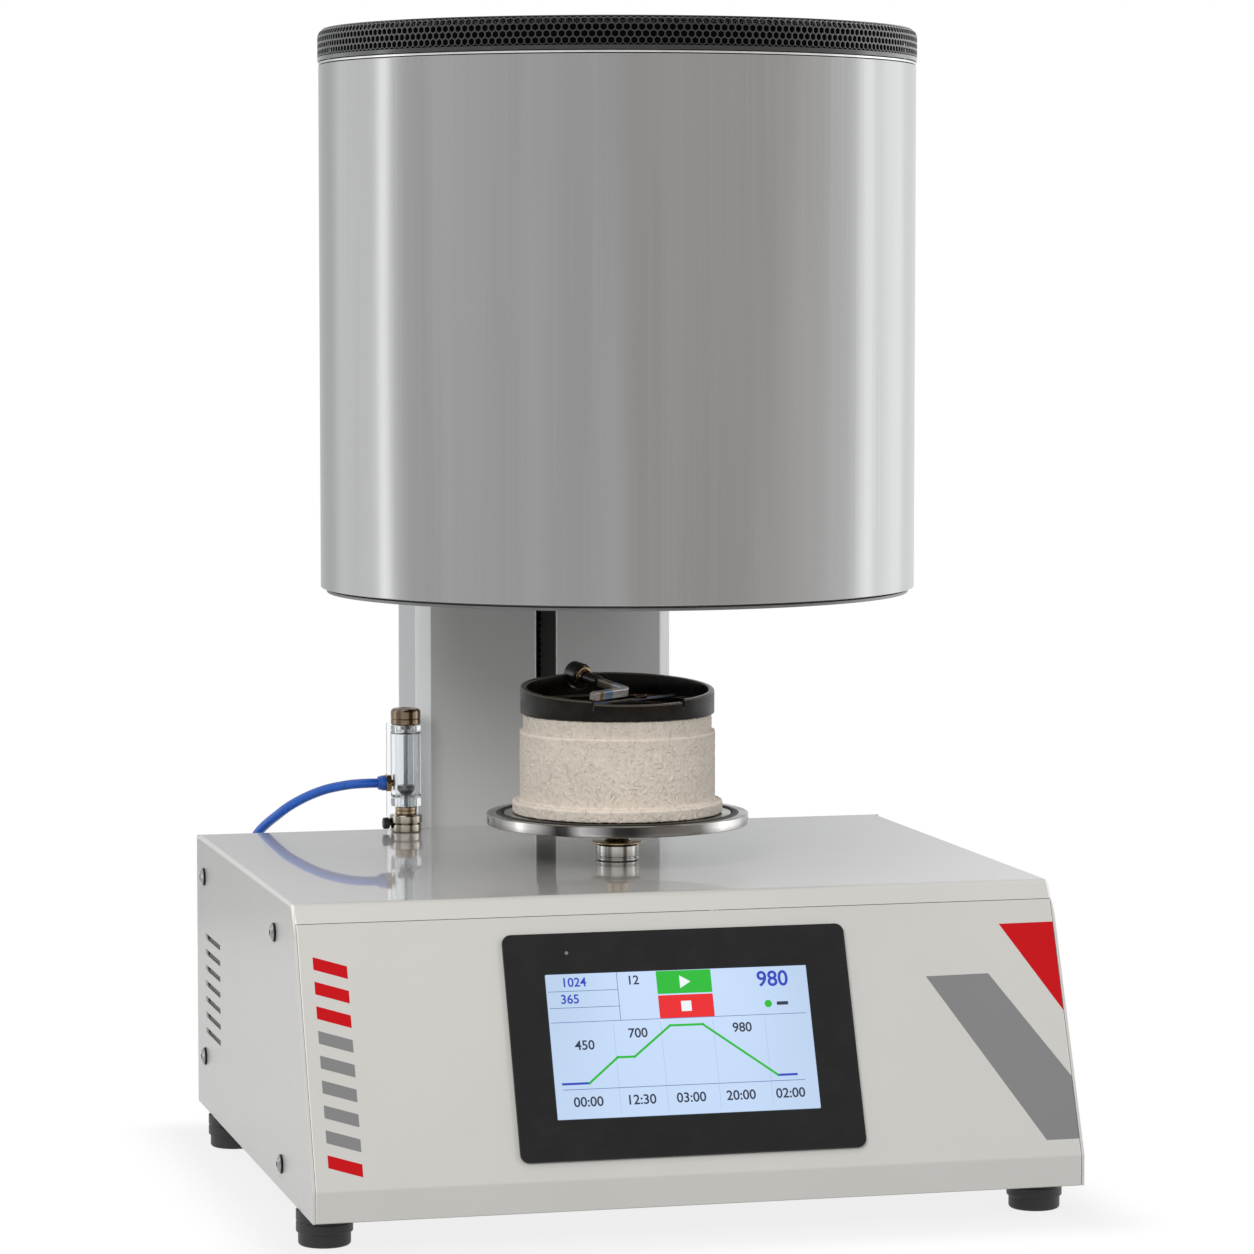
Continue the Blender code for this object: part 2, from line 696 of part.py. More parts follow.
def display_housing():
    """The display's bezel with its module behind it, and a shallow seat for the screen."""
    frame = bpy.data.objects["panel_frame"]
    (x0, y0), (x1, y1) = display_corner(0, -1), display_corner(0, 1)
    plate = rounded([(x0, y0), (x1, y0), (x1, y1), (x0, y1)], [DISPLAY_CORNER] * 4)
    bezel = prism_z("display_housing", plate, GAP, DISPLAY_PROUD, "black_plastic")
    bezel.parent = frame
    inset = DISPLAY_RIM + GAP
    low, high = display_corner(inset, -1), display_corner(inset, 1)
    module = box("display_module", (*low, -DISPLAY_DEPTH), (*high, DISPLAY_PROUD / 2))
    module.parent = frame
    join(bezel, module)
    seat = screen_outline(GAP)
    depth = DISPLAY_PROUD - SCREEN_SUNK - SCREEN_THICK - GAP
    cutter = prism_z("screen_seat", seat, depth, DISPLAY_PROUD + OVERRUN)
    cutter.parent = frame
    cut(bezel, cutter)
    return bezel


def screen_outline(grow):
    """The screen's rectangle on the sloping face."""
    middle = (DISPLAY_SHIFT_X + SCREEN_SHIFT_X, -DISPLAY_DROP - SCREEN_DROP - SCREEN_HEIGHT / 2)
    return rectangle(middle, (SCREEN_WIDTH + 2 * grow, SCREEN_HEIGHT + 2 * grow))


def display_glass():
    """The screen in its seat."""
    high = DISPLAY_PROUD - SCREEN_SUNK
    glass = prism_z("display_glass", screen_outline(0), high - SCREEN_THICK, high, "screen")
    glass.parent = bpy.data.objects["panel_frame"]
    return glass


def foot(name, side, y):
    """A rubber foot: a broad cap over a slightly narrower pad."""
    profile = [
        (0, 0), (FOOT_NECK_R - FOOT_CHAMFER, 0), (FOOT_NECK_R, FOOT_CHAMFER),
        (FOOT_NECK_R, FOOT_HEIGHT - FOOT_CAP_HEIGHT), (FOOT_R, FOOT_HEIGHT - FOOT_CAP_HEIGHT),
        (FOOT_R, FOOT_HEIGHT - GAP), (0, FOOT_HEIGHT - GAP),
    ]
    x = side * (BASE_WIDTH / 2 - FOOT_INSET_X)
    return lathe(name, profile, ROUND_SIDES, "rubber", (x, y, 0))


def side_screw(name, side, place):
    """A domed screw with a hexagon socket, through the cover into the chassis."""
    profile = [
        (0, -SCREW_LENGTH), (SCREW_R, -SCREW_LENGTH), (SCREW_R, GAP), (SCREW_HEAD_R, GAP),
        (SCREW_HEAD_R, SCREW_HEAD_HEIGHT - SCREW_EDGE * 2),
        (SCREW_HEAD_R - SCREW_EDGE, SCREW_HEAD_HEIGHT - SCREW_EDGE / 2),
        (SCREW_HEAD_R - 2 * SCREW_EDGE, SCREW_HEAD_HEIGHT), (0, SCREW_HEAD_HEIGHT),
    ]
    at = (side * BASE_WIDTH / 2, *place)
    turn = ALONG_X if side > 0 else ALONG_MINUS_X
    screw = lathe(name, profile, SMALL_SIDES, "chrome", at, turn)
    low = SCREW_HEAD_HEIGHT - SCREW_SOCKET_DEPTH
    socket = round_cutter(
        name + "_socket", SCREW_SOCKET_R, low, SCREW_HEAD_HEIGHT + OVERRUN, at, turn, SCREW_SOCKET_SIDES
    )
    cut(screw, socket)
    return screw


def rear_panel():
    """The flat rear sheet, with the openings for the fan, the power inlet and the gas fitting."""
    outline = rectangle((0, (BOTTOM_Z + TOP_Z) / 2), (BASE_WIDTH, BASE_HEIGHT))
    panel = prism_y("rear_panel", outline, BACK_Y + GAP, REAR_OUT_Y, "white_paint")
    bm = bmesh.new()
    low, deep = BACK_Y - OVERRUN, (0, SHEET + 2 * OVERRUN, 0)
    size = (INLET_BODY_WIDTH + 2 * GAP, INLET_BODY_HEIGHT + 2 * GAP)
    for outline in (
        regular(FAN_BORE_R, ROUND_SIDES, FAN_CENTRE),
        rectangle(INLET_CENTRE, size),
        regular(ELBOW_SPIGOT_R + GAP, SMALL_SIDES, (ELBOW_X, ELBOW_Z)),
    ):
        extrude(bm, [(x, low, z) for x, z in outline], deep)
    cut(panel, finish("rear_openings", bm))
    return panel


def control_board():
    """The controller's circuit board on four pillars over the chassis floor."""
    floor = BOTTOM_Z + SHEET + GAP
    low = floor + BOARD_STANDOFF
    centre = (AXIS_X, AXIS_Y + BOARD_SHIFT_Y)
    outline = rectangle(centre, (BOARD_WIDTH, BOARD_DEPTH))
    board = prism_z("control_board", outline, low, low + BOARD_THICK, "circuit_board")
    bm = bmesh.new()
    reach = (BOARD_WIDTH / 2 - 2 * BOARD_STANDOFF_R, BOARD_DEPTH / 2 - 2 * BOARD_STANDOFF_R)
    for sx in (-1, 1):
        for sy in (-1, 1):
            place = (centre[0] + sx * reach[0], centre[1] + sy * reach[1])
            pillar = regular(BOARD_STANDOFF_R, SHAFT_SIDES, place)
            extrude(bm, [(x, y, floor) for x, y in pillar], (0, 0, BOARD_STANDOFF + BOARD_THICK / 2))
    chip = rectangle(centre, (BOARD_CHIP, BOARD_CHIP))
    extrude(bm, [(x, y, low + BOARD_THICK / 2) for x, y in chip], (0, 0, BOARD_THICK / 2 + BOARD_CHIP_HEIGHT))
    join(board, finish("board_pillars", bm))
    return board


# Column and lift

def column_cover():
    """The folded column cover: a chamfered front with the arm's slot, two sides and a top."""
    half, chamfer = COLUMN_WIDTH / 2, COLUMN_CHAMFER
    front, back = COLUMN_FRONT_Y, COLUMN_BACK_Y - SHEET - GAP
    outline = [
        (AXIS_X - half, back), (AXIS_X - half, front + chamfer), (AXIS_X - half + chamfer, front),
        (AXIS_X + half - chamfer, front), (AXIS_X + half, front + chamfer), (AXIS_X + half, back),
    ]
    cover = prism_z("column_cover", outline, BOTTOM_Z, COLUMN_TOP_Z, "grey_paint")
    inner_half = half - SHEET
    bend = SHEET * math.tan(math.pi / 8)
    inside = [
        (AXIS_X - inner_half, back + OVERRUN), (AXIS_X - inner_half, front + chamfer + bend),
        (AXIS_X - half + chamfer + bend, front + SHEET), (AXIS_X + half - chamfer - bend, front + SHEET),
        (AXIS_X + inner_half, front + chamfer + bend), (AXIS_X + inner_half, back + OVERRUN),
    ]
    cut(cover, prism_z("column_inside", inside, BOTTOM_Z - OVERRUN, COLUMN_TOP_Z - SHEET))
    low = (AXIS_X - SLOT_WIDTH / 2, front - OVERRUN, BOTTOM_Z + SLOT_LOW)
    high = (AXIS_X + SLOT_WIDTH / 2, front + SHEET + OVERRUN, COLUMN_TOP_Z - SLOT_TOP_MARGIN)
    cut(cover, box("column_slot", low, high))
    return cover


def column_back():
    """The flat plate that closes the column's back and carries the two blocks."""
    half = COLUMN_WIDTH / 2
    low = (AXIS_X - half, COLUMN_BACK_Y - SHEET, BOTTOM_Z)
    return box("column_back", low, (AXIS_X + half, COLUMN_BACK_Y, COLUMN_TOP_Z), "grey_paint")


def block_low_z(name):
    """The underside of a rod block."""
    if name == "rod_block_lower":
        return LOWER_BLOCK_Z
    return COLUMN_TOP_Z - SHEET - UPPER_BLOCK_MARGIN - BLOCK_THICK


def rod_places():
    """The two guide rods' places in plan."""
    return [(AXIS_X + side * ROD_SPACING / 2, LIFT_Y) for side in (-1, 1)]


def rod_block(name):
    """An aluminium block between the column's back plate and its front, with the rods' seats."""
    z = block_low_z(name)
    back = COLUMN_BACK_Y - SHEET - GAP
    low = (AXIS_X - BLOCK_WIDTH / 2, back - BLOCK_DEPTH, z)
    block = box(name, low, (AXIS_X + BLOCK_WIDTH / 2, back, z + BLOCK_THICK), "aluminium")
    seat = (BLOCK_THICK - ROD_SEAT, BLOCK_THICK + OVERRUN)
    if name == "rod_block_upper":
        seat = (-OVERRUN, ROD_SEAT)
    for n, place in enumerate(rod_places()):
        cut(block, round_cutter(f"{name}_seat_{n}", ROD_R + GAP, *seat, (*place, z)))
    at = (AXIS_X, LIFT_Y, z)
    bearing = SCREW_SHAFT_R if name == "rod_block_lower" else SCREW_JOURNAL_R
    cut(block, round_cutter(name + "_bearing", bearing + GAP, -OVERRUN, BLOCK_THICK + OVERRUN, at))
    return block


def guide_rod(name, place):
    """A ground steel rod between the seats of the two blocks."""
    low = block_low_z("rod_block_lower") + BLOCK_THICK - ROD_SEAT + GAP
    high = block_low_z("rod_block_upper") + ROD_SEAT - GAP
    return lathe(name, rod_profile(ROD_R, 0, high - low), SMALL_SIDES, "chrome", (*place, low))


def lift_motor():
    """The square motor under the lower block; the lead screw is its shaft."""
    z = LOWER_BLOCK_Z - GAP - MOTOR_LENGTH
    outline = rectangle((AXIS_X, LIFT_Y), (MOTOR_WIDTH, MOTOR_WIDTH))
    motor = prism_z(
        "lift_motor", rounded(outline, [MOTOR_CORNER] * 4, 1), z, z + MOTOR_LENGTH, "black_metal"
    )
    bore = (AXIS_X, LIFT_Y, z + MOTOR_LENGTH)
    cut(motor, round_cutter("motor_bore", SCREW_SHAFT_R + GAP, -MOTOR_BORE_DEPTH, OVERRUN, bore))
    return motor


def lead_screw():
    """The lead screw, from its rotor in the motor to the upper block's bearing."""
    low = LOWER_BLOCK_Z - GAP - MOTOR_BORE_DEPTH + GAP
    shoulder = block_low_z("rod_block_upper") - GAP - low
    top = shoulder + BLOCK_THICK
    profile = [
        (0, 0), (SCREW_SHAFT_R, 0), (SCREW_SHAFT_R, shoulder),
        (SCREW_JOURNAL_R, shoulder), (SCREW_JOURNAL_R, top), (0, top),
    ]
    return lathe("lead_screw", profile, SMALL_SIDES, "steel", (AXIS_X, LIFT_Y, low))


def carriage_low_z():
    """The carriage's underside."""
    return HEAD_REST_Z + CARRIAGE_ABOVE_HEAD_FOOT


def carriage():
    """The block that slides on the two rods and carries the head's arm and the nut."""
    z = carriage_low_z()
    half = (CARRIAGE_WIDTH / 2, CARRIAGE_DEPTH / 2)
    low = (AXIS_X - half[0], LIFT_Y - half[1], z)
    block = box("carriage", low, (AXIS_X + half[0], LIFT_Y + half[1], z + CARRIAGE_HEIGHT), "aluminium")
    through = (-OVERRUN, CARRIAGE_HEIGHT + OVERRUN)
    for n, place in enumerate(rod_places()):
        cut(block, round_cutter(f"rod_bore_{n}", ROD_R + GAP, *through, (*place, z)))
    cut(block, round_cutter("nut_bore", NUT_R + GAP, *through, (AXIS_X, LIFT_Y, z)))
    return block


def lead_nut():
    """The flanged nut that hangs in the carriage."""
    bore = SCREW_SHAFT_R + GAP
    top = CARRIAGE_HEIGHT / 2
    profile = [
        (bore, -GAP - NUT_FLANGE_THICK), (NUT_FLANGE_R, -GAP - NUT_FLANGE_THICK),
        (NUT_FLANGE_R, -GAP), (NUT_R, -GAP), (NUT_R, top), (bore, top),
    ]
    return lathe("lead_nut", profile, SMALL_SIDES, "bronze", (AXIS_X, LIFT_Y, carriage_low_z()))


def head_arm():
    """The arm through the slot, with the saddle that is screwed to the head's shell."""
    middle = carriage_low_z() + CARRIAGE_HEIGHT / 2
    back = COLUMN_FRONT_Y - SADDLE_CLEARANCE
    front = AXIS_Y + HEAD_R * math.cos(math.asin(SADDLE_WIDTH / 2 / HEAD_R)) - OVERRUN
    low = (AXIS_X - SADDLE_WIDTH / 2, front, middle - SADDLE_HEIGHT / 2)
    arm = box("head_arm", low, (AXIS_X + SADDLE_WIDTH / 2, back, middle + SADDLE_HEIGHT / 2), "black_metal")
    reach = LIFT_Y - CARRIAGE_DEPTH / 2 - GAP
    web = box(
        "arm_web",
        (AXIS_X - ARM_WIDTH / 2, back - SADDLE_CLEARANCE / 2, middle - ARM_HEIGHT / 2),
        (AXIS_X + ARM_WIDTH / 2, reach, middle + ARM_HEIGHT / 2),
    )
    join(arm, web)
    at = (AXIS_X, AXIS_Y, middle)
    curve = round_cutter("saddle_curve", HEAD_R + GAP, -SADDLE_HEIGHT, SADDLE_HEIGHT, at, sides=HEAD_SIDES)
    cut(arm, curve)
    return arm


# Head

def head_shell():
    """The head's bright cylindrical skin."""
    profile = ring_profile(HEAD_R - HEAD_WALL, HEAD_R, 0, SHELL_HEIGHT)
    return lathe("head_shell", profile, HEAD_SIDES, "steel", (AXIS_X, AXIS_Y, HEAD_REST_Z))


def head_base_ring():
    """The plate that closes the head's underside around the chamber's mouth."""
    low = -RING_SEAM - RING_EDGE_THICK
    seat = HEAD_R - HEAD_WALL - GAP
    profile = [
        (CHAMBER_R, low), (HEAD_R - RING_EDGE_SET, low), (HEAD_R - RING_EDGE_SET, -RING_SEAM),
        (HEAD_R - RING_SEAM_SET, -RING_SEAM), (HEAD_R - RING_SEAM_SET, 0),
        (seat, 0), (seat, RING_FLANGE), (CHAMBER_R, RING_FLANGE),
    ]
    return lathe("head_base_ring", profile, HEAD_SIDES, "steel", (AXIS_X, AXIS_Y, HEAD_REST_Z))


def insulation():
    """The fibre lining, open below, with a roof that the probe comes through."""
    foot = RING_FLANGE + GAP
    ceiling = CHAMBER_DEPTH - RING_EDGE_THICK - RING_SEAM
    bore = CHAMBER_R + MUFFLE_WALL + GAP
    step = foot + MUFFLE_LENGTH + GAP
    top = lining_top()
    radius = HEAD_R - HEAD_WALL - INSULATION_AIR_GAP
    profile = [
        (0, ceiling), (CHAMBER_R, ceiling), (CHAMBER_R, step), (bore, step), (bore, foot),
        (radius, foot), (radius, top), (0, top),
    ]
    lining = lathe("insulation", profile, WIDE_SIDES, "fibre", (AXIS_X, AXIS_Y, HEAD_REST_Z))
    at = (*probe_place(), HEAD_REST_Z)
    cut(lining, round_cutter("probe_bore", PROBE_R + GAP, ceiling - OVERRUN, top + OVERRUN, at))
    return lining


def lining_top():
    """The lining's top, with air between it and the lid."""
    return SHELL_HEIGHT - INSULATION_TOP_GAP


def probe_place():
    """The thermocouple's place in plan, behind the furnace axis."""
    return (AXIS_X, AXIS_Y + PROBE_RADIUS_SHARE * CHAMBER_R)


def heating_muffle():
    """The ceramic tube that holds the heating winding and lines the chamber."""
    foot = RING_FLANGE + GAP
    profile = ring_profile(CHAMBER_R, CHAMBER_R + MUFFLE_WALL, foot, foot + MUFFLE_LENGTH)
    return lathe("heating_muffle", profile, WIDE_SIDES, "ceramic", (AXIS_X, AXIS_Y, HEAD_REST_Z))


def thermocouple():
    """The temperature probe, hung by its head from the top of the lining."""
    ceiling = CHAMBER_DEPTH - RING_EDGE_THICK - RING_SEAM
    top = lining_top() + GAP
    profile = [
        (0, ceiling - PROBE_REACH), (PROBE_R, ceiling - PROBE_REACH), (PROBE_R, top),
        (PROBE_HEAD_R, top), (PROBE_HEAD_R, top + PROBE_HEAD_HEIGHT), (0, top + PROBE_HEAD_HEIGHT),
    ]
    return lathe("thermocouple", profile, SMALL_SIDES, "steel", (*probe_place(), HEAD_REST_Z))


def head_lid():
    """The round sheet on top of the shell, with the vent under the guard."""
    profile = ring_profile(LID_VENT_R, HEAD_R, GAP, GAP + LID_THICK)
    return lathe("head_lid", profile, WIDE_SIDES, "steel", (AXIS_X, AXIS_Y, SHELL_TOP_Z))


def mesh_guard():
    """The black mesh cap over the vent, with a rolled upper edge. Its small holes are not cut here."""
    outer, wall = HEAD_R + GUARD_PROUD, GUARD_WALL
    low = LID_THICK + 2 * GAP
    top = GUARD_HEIGHT
    centre = (outer - GUARD_ROUND, top - GUARD_ROUND)
    profile = [(0, top - wall)]
    profile += reversed(arc(centre, GUARD_ROUND - wall))
    profile += [(outer - wall, low), (outer, low)]
    profile += arc(centre, GUARD_ROUND)
    profile.append((0, top))
    return lathe("mesh_guard", profile, HEAD_SIDES, "black_metal", (AXIS_X, AXIS_Y, SHELL_TOP_Z))


def arc(centre, radius):
    """A quarter of a circle from its outermost point to its top."""
    steps = ROUND_STEPS
    turns = [math.pi / 2 * n / steps for n in range(steps + 1)]
    return [(centre[0] + radius * math.cos(t), centre[1] + radius * math.sin(t)) for t in turns]


# Table, ceramic base and tray

def post_housing():
    """The nickel cylinder on the base, held by its threaded spigot through the cover."""
    profile = [
        (0, -HOUSING_SPIGOT), (HOUSING_SPIGOT_R, -HOUSING_SPIGOT), (HOUSING_SPIGOT_R, GAP),
        (HOUSING_R, GAP), (HOUSING_R, HOUSING_HEIGHT - HOUSING_EDGE),
        (HOUSING_R - HOUSING_EDGE, HOUSING_HEIGHT),
        (PIN_R + GAP, HOUSING_HEIGHT), (PIN_R + GAP, HOUSING_HEIGHT - PIN_LENGTH - GAP),
        (0, HOUSING_HEIGHT - PIN_LENGTH - GAP),
    ]
    return lathe("post_housing", profile, ROUND_SIDES, "chrome", (AXIS_X, AXIS_Y, TOP_Z))


def post_spindle():
    """The bronze stem under the plate, with its flared collar and the pin in the housing."""
    foot = HOUSING_HEIGHT + GAP
    under = PLATE_ABOVE_BASE - PLATE_THICK - GAP
    top = PLATE_ABOVE_BASE - PLATE_EDGE
    profile = [
        (0, HOUSING_HEIGHT - PIN_LENGTH), (PIN_R, HOUSING_HEIGHT - PIN_LENGTH), (PIN_R, foot),
        (HOUSING_R, foot), (COLLAR_R, foot + COLLAR_THICK / 2), (COLLAR_R, foot + COLLAR_THICK),
        (NECK_R, foot + COLLAR_THICK), (NECK_R, under), (PIN_R, under), (PIN_R, top), (0, top),
    ]
    return lathe("post_spindle", profile, ROUND_SIDES, "bronze", (AXIS_X, AXIS_Y, TOP_Z))


def table_plate():
    """The round steel table with the seal's groove."""
    inner, outer = GROOVE_R - GROOVE_WIDTH / 2, GROOVE_R + GROOVE_WIDTH / 2
    profile = [
        (PIN_R + GAP, -PLATE_THICK), (PLATE_R - PLATE_EDGE, -PLATE_THICK),
        (PLATE_R, PLATE_EDGE - PLATE_THICK), (PLATE_R, -PLATE_EDGE), (PLATE_R - PLATE_EDGE, 0),
        (outer, 0), (outer, -GROOVE_DEPTH),
        (inner, -GROOVE_DEPTH), (inner, 0), (PIN_R + GAP, 0),
    ]
    return lathe("table_plate", profile, WIDE_SIDES, "steel", (AXIS_X, AXIS_Y, PLATE_TOP_Z))


def table_seal():
    """The soft ring in the groove that the head closes on."""
    half = GROOVE_WIDTH / 2 - GAP
    profile = ring_profile(GROOVE_R - half, GROOVE_R + half, GAP - GROOVE_DEPTH, SEAL_PROUD)
    return lathe("table_seal", profile, WIDE_SIDES, "rubber", (AXIS_X, AXIS_Y, PLATE_TOP_Z))


def ceramic_base():
    """The stepped ceramic plug that stands on the table and fills the chamber's mouth."""
    step = PLUG_FLANGE_HEIGHT
    shoulder = step + PLUG_BODY_HEIGHT
    top = shoulder + PLUG_NECK_HEIGHT
    profile = [
        (0, 0), (PLUG_FLANGE_R, 0), (PLUG_FLANGE_R, step - PLUG_EDGE), (PLUG_FLANGE_R - PLUG_EDGE, step),
        (PLUG_R, step), (PLUG_R, shoulder - PLUG_EDGE), (PLUG_R - PLUG_EDGE, shoulder),
        (PLUG_NECK_R, shoulder), (PLUG_NECK_R, top), (0, top),
    ]
    return lathe("ceramic_base", profile, WIDE_SIDES, "ceramic", (AXIS_X, AXIS_Y, PLUG_Z))


def hook_start():
    """The middle of the hook's knob, on the tray's back rim."""
    return Vector((AXIS_X + HOOK_KNOB_BACK[0], AXIS_Y + HOOK_KNOB_BACK[1], TRAY_Z + HOOK_KNOB_ABOVE_TRAY))


def hook_turn():
    """The rotation that lays Z along the hook's axis, from the knob towards the bend."""
    return Vector(HOOK_REACH).to_track_quat("Z", "Y").to_euler()


def tray_ring():
    """The black tray: a floor, a ledge for the strip and a wall whose rim leans up to the back."""
    inner = TRAY_R - TRAY_WALL
    profile = [
        (0, 0), (TRAY_R, 0), (TRAY_R, TRAY_BACK_HEIGHT + OVERRUN), (inner, TRAY_BACK_HEIGHT + OVERRUN),
        (inner, TRAY_LEDGE_HEIGHT), (inner - TRAY_LEDGE, TRAY_LEDGE_HEIGHT), (inner - TRAY_LEDGE, TRAY_FLOOR),
        (0, TRAY_FLOOR),
    ]
    tray = lathe("tray_ring", profile, WIDE_SIDES, "tray_black", (AXIS_X, AXIS_Y, TRAY_Z))
    reach, high = TRAY_R + OVERRUN, TRAY_BACK_HEIGHT + 2 * OVERRUN
    slope = (TRAY_BACK_HEIGHT - TRAY_FRONT_HEIGHT) / (2 * TRAY_R)
    front = TRAY_FRONT_HEIGHT - slope * OVERRUN
    back = TRAY_BACK_HEIGHT + slope * OVERRUN
    rim = [(-reach, front), (reach, back), (reach, high), (-reach, high)]
    at = (AXIS_X, AXIS_Y, TRAY_Z)
    cut(tray, prism_x("tray_rim", rim, -reach, reach, at=at))
    lower = [(-reach, front - TRAY_SECTOR_DROP), (0, front - TRAY_SECTOR_DROP), (0, high), (-reach, high)]
    cut(tray, prism_x("tray_sector", lower, -TRAY_SECTOR_HALF, TRAY_SECTOR_HALF, at=at))
    for n, side in enumerate((-1, 1)):
        x = side * TRAY_SECTOR_HALF
        notch = [(-reach, TRAY_LEDGE_HEIGHT + GAP), (0, TRAY_LEDGE_HEIGHT + GAP), (0, high), (-reach, high)]
        cut(tray, prism_x(f"tray_notch_{n}", notch, x - TRAY_NOTCH / 2, x + TRAY_NOTCH / 2, at=at))
    seat_r = HOOK_KNOB_R + GAP
    length = HOOK_KNOB_LENGTH / 2 + GAP
    cut(tray, round_cutter("knob_seat", seat_r, -length, length, hook_start(), hook_turn(), ROUND_SIDES))
    clear = (length - OVERRUN, length + HOOK_COLLAR_THICK + OVERRUN)
    cut(tray, round_cutter("collar_seat", HOOK_COLLAR_R + GAP, *clear, hook_start(), hook_turn()))
    return tray


def tray_strip():
    """The steel strip across the tray, with tapered ends on the ledge and a small bronze-coloured hub."""
    end = TRAY_R - TRAY_WALL - GAP
    wide, narrow = STRIP_WIDTH / 2, STRIP_END_WIDTH / 2
    neck = end - STRIP_TAPER
    outline = [
        (-end, -narrow), (-neck, -wide), (neck, -wide), (end, -narrow),
        (end, narrow), (neck, wide), (-neck, wide), (-end, narrow),
    ]
    at = (AXIS_X, AXIS_Y, TRAY_Z + TRAY_LEDGE_HEIGHT + GAP)
    turn = (0, 0, math.radians(STRIP_TURN_DEG))
    strip = prism_z("tray_strip", outline, 0, STRIP_THICK, "steel", at)
    strip.rotation_euler = turn
    hub_at = Vector(at) + Matrix.Rotation(turn[2], 3, "Z") @ Vector((STRIP_HUB_ALONG, 0, 0))
    hub = ring_profile(STRIP_HUB_BORE_R, STRIP_HUB_R, STRIP_THICK / 2, STRIP_THICK + STRIP_HUB_HEIGHT)
    helper = lathe("strip_hub", hub, SMALL_SIDES, at=hub_at)
    join(strip, helper)
    return strip


# Hook

def hook_knob():
    """The black knob with its sleeve, which turns in the tray's rim."""
    half = HOOK_KNOB_LENGTH / 2
    end = half + HOOK_SLEEVE_LENGTH
    profile = [
        (0, -half), (HOOK_KNOB_R - HOOK_KNOB_EDGE, -half), (HOOK_KNOB_R, HOOK_KNOB_EDGE - half),
        (HOOK_KNOB_R, half), (HOOK_SLEEVE_R, half), (HOOK_SLEEVE_R, end),
        (HOOK_TANG_R + GAP, end), (HOOK_TANG_R + GAP, end - HOOK_TANG - GAP), (0, end - HOOK_TANG - GAP),
    ]
    return lathe("hook_knob", profile, ROUND_SIDES, "black_plastic", hook_start(), hook_turn())


def hook_collar():
    """The bronze ring round the sleeve, against the knob's face."""
    low = HOOK_KNOB_LENGTH / 2 + GAP
    profile = ring_profile(HOOK_SLEEVE_R + GAP, HOOK_COLLAR_R, low, low + HOOK_COLLAR_THICK)
    return lathe("hook_collar", profile, ROUND_SIDES, "bronze", hook_start(), hook_turn())


def hook_path():
    """The bar's middle line: on along the axis, round the bend and back to the tip."""
    start = hook_start()
    along = Vector(HOOK_REACH)
    run = along.length
    first = start + along * ((HOOK_KNOB_LENGTH / 2 + HOOK_SLEEVE_LENGTH) / run)
    corner = start + along
    back = Vector((*HOOK_TIP_FROM_BEND, -HOOK_TIP_DROP))
    into, out = along.normalized(), back.normalized()
    half = (-into).angle(out) / 2
    trim = HOOK_BEND_R / math.tan(half)
    enter, leave = corner - into * trim, corner + out * trim
    centre = corner + (out - into).normalized() * (HOOK_BEND_R / math.sin(half))
    normal = (enter - centre).cross(leave - centre).normalized()
    sweep = (enter - centre).angle(leave - centre)
    path = [first]
    for n in range(HOOK_BEND_STEPS + 1):
        turned = Matrix.Rotation(sweep * n / HOOK_BEND_STEPS, 3, normal) @ (enter - centre)
        path.append(centre + turned)
    path.append(corner + back)
    return path, normal


def hook_arm():
    """The bent steel bar, with a tang in the sleeve."""
    path, normal = hook_path()
    bm = bmesh.new()
    last = None
    for n, point in enumerate(path):
        ahead = (path[min(n + 1, len(path) - 1)] - path[max(n - 1, 0)]).normalized()
        side = ahead.cross(normal).normalized() * HOOK_BAR_WIDTH / 2
        rise = normal * HOOK_BAR_HEIGHT / 2
        loop = [bm.verts.new(point + s * side + r * rise) for s, r in ((-1, -1), (1, -1), (1, 1), (-1, 1))]
        if last is None:
            bm.faces.new(loop)
        else:
            for k in range(4):
                bm.faces.new((last[k], last[(k + 1) % 4], loop[(k + 1) % 4], loop[k]))
        last = loop
    bm.faces.new(last)
    arm = finish("hook_arm", bm, "steel")
    start = HOOK_KNOB_LENGTH / 2 + HOOK_SLEEVE_LENGTH
    away = Matrix.Translation(Vector(HOOK_REACH).normalized() * GAP)
    arm.matrix_world = away @ arm.matrix_world
    reach = (start - HOOK_TANG, start + OVERRUN)
    join(arm, round_cutter("hook_tang", HOOK_TANG_R, *reach, hook_start(), hook_turn()))
    return arm


# Flowmeter and gas hose

def meter_levels():
    """The heights above the base where the flowmeter's parts meet."""
    steps = (
        ("lower_nut", METER_NUT_HEIGHT), ("upper_nut", METER_UPPER_NUT_HEIGHT), ("ring", METER_RING_HEIGHT),
        ("lower_neck", METER_LOWER_NECK), ("glass", METER_GLASS_HEIGHT), ("upper_neck", METER_UPPER_NECK),
        ("cap", METER_CAP_HEIGHT),
    )
    levels, z = {}, GAP
    for name, height in steps:
        levels[name] = z
        z += height
    levels["top"] = z
    return levels


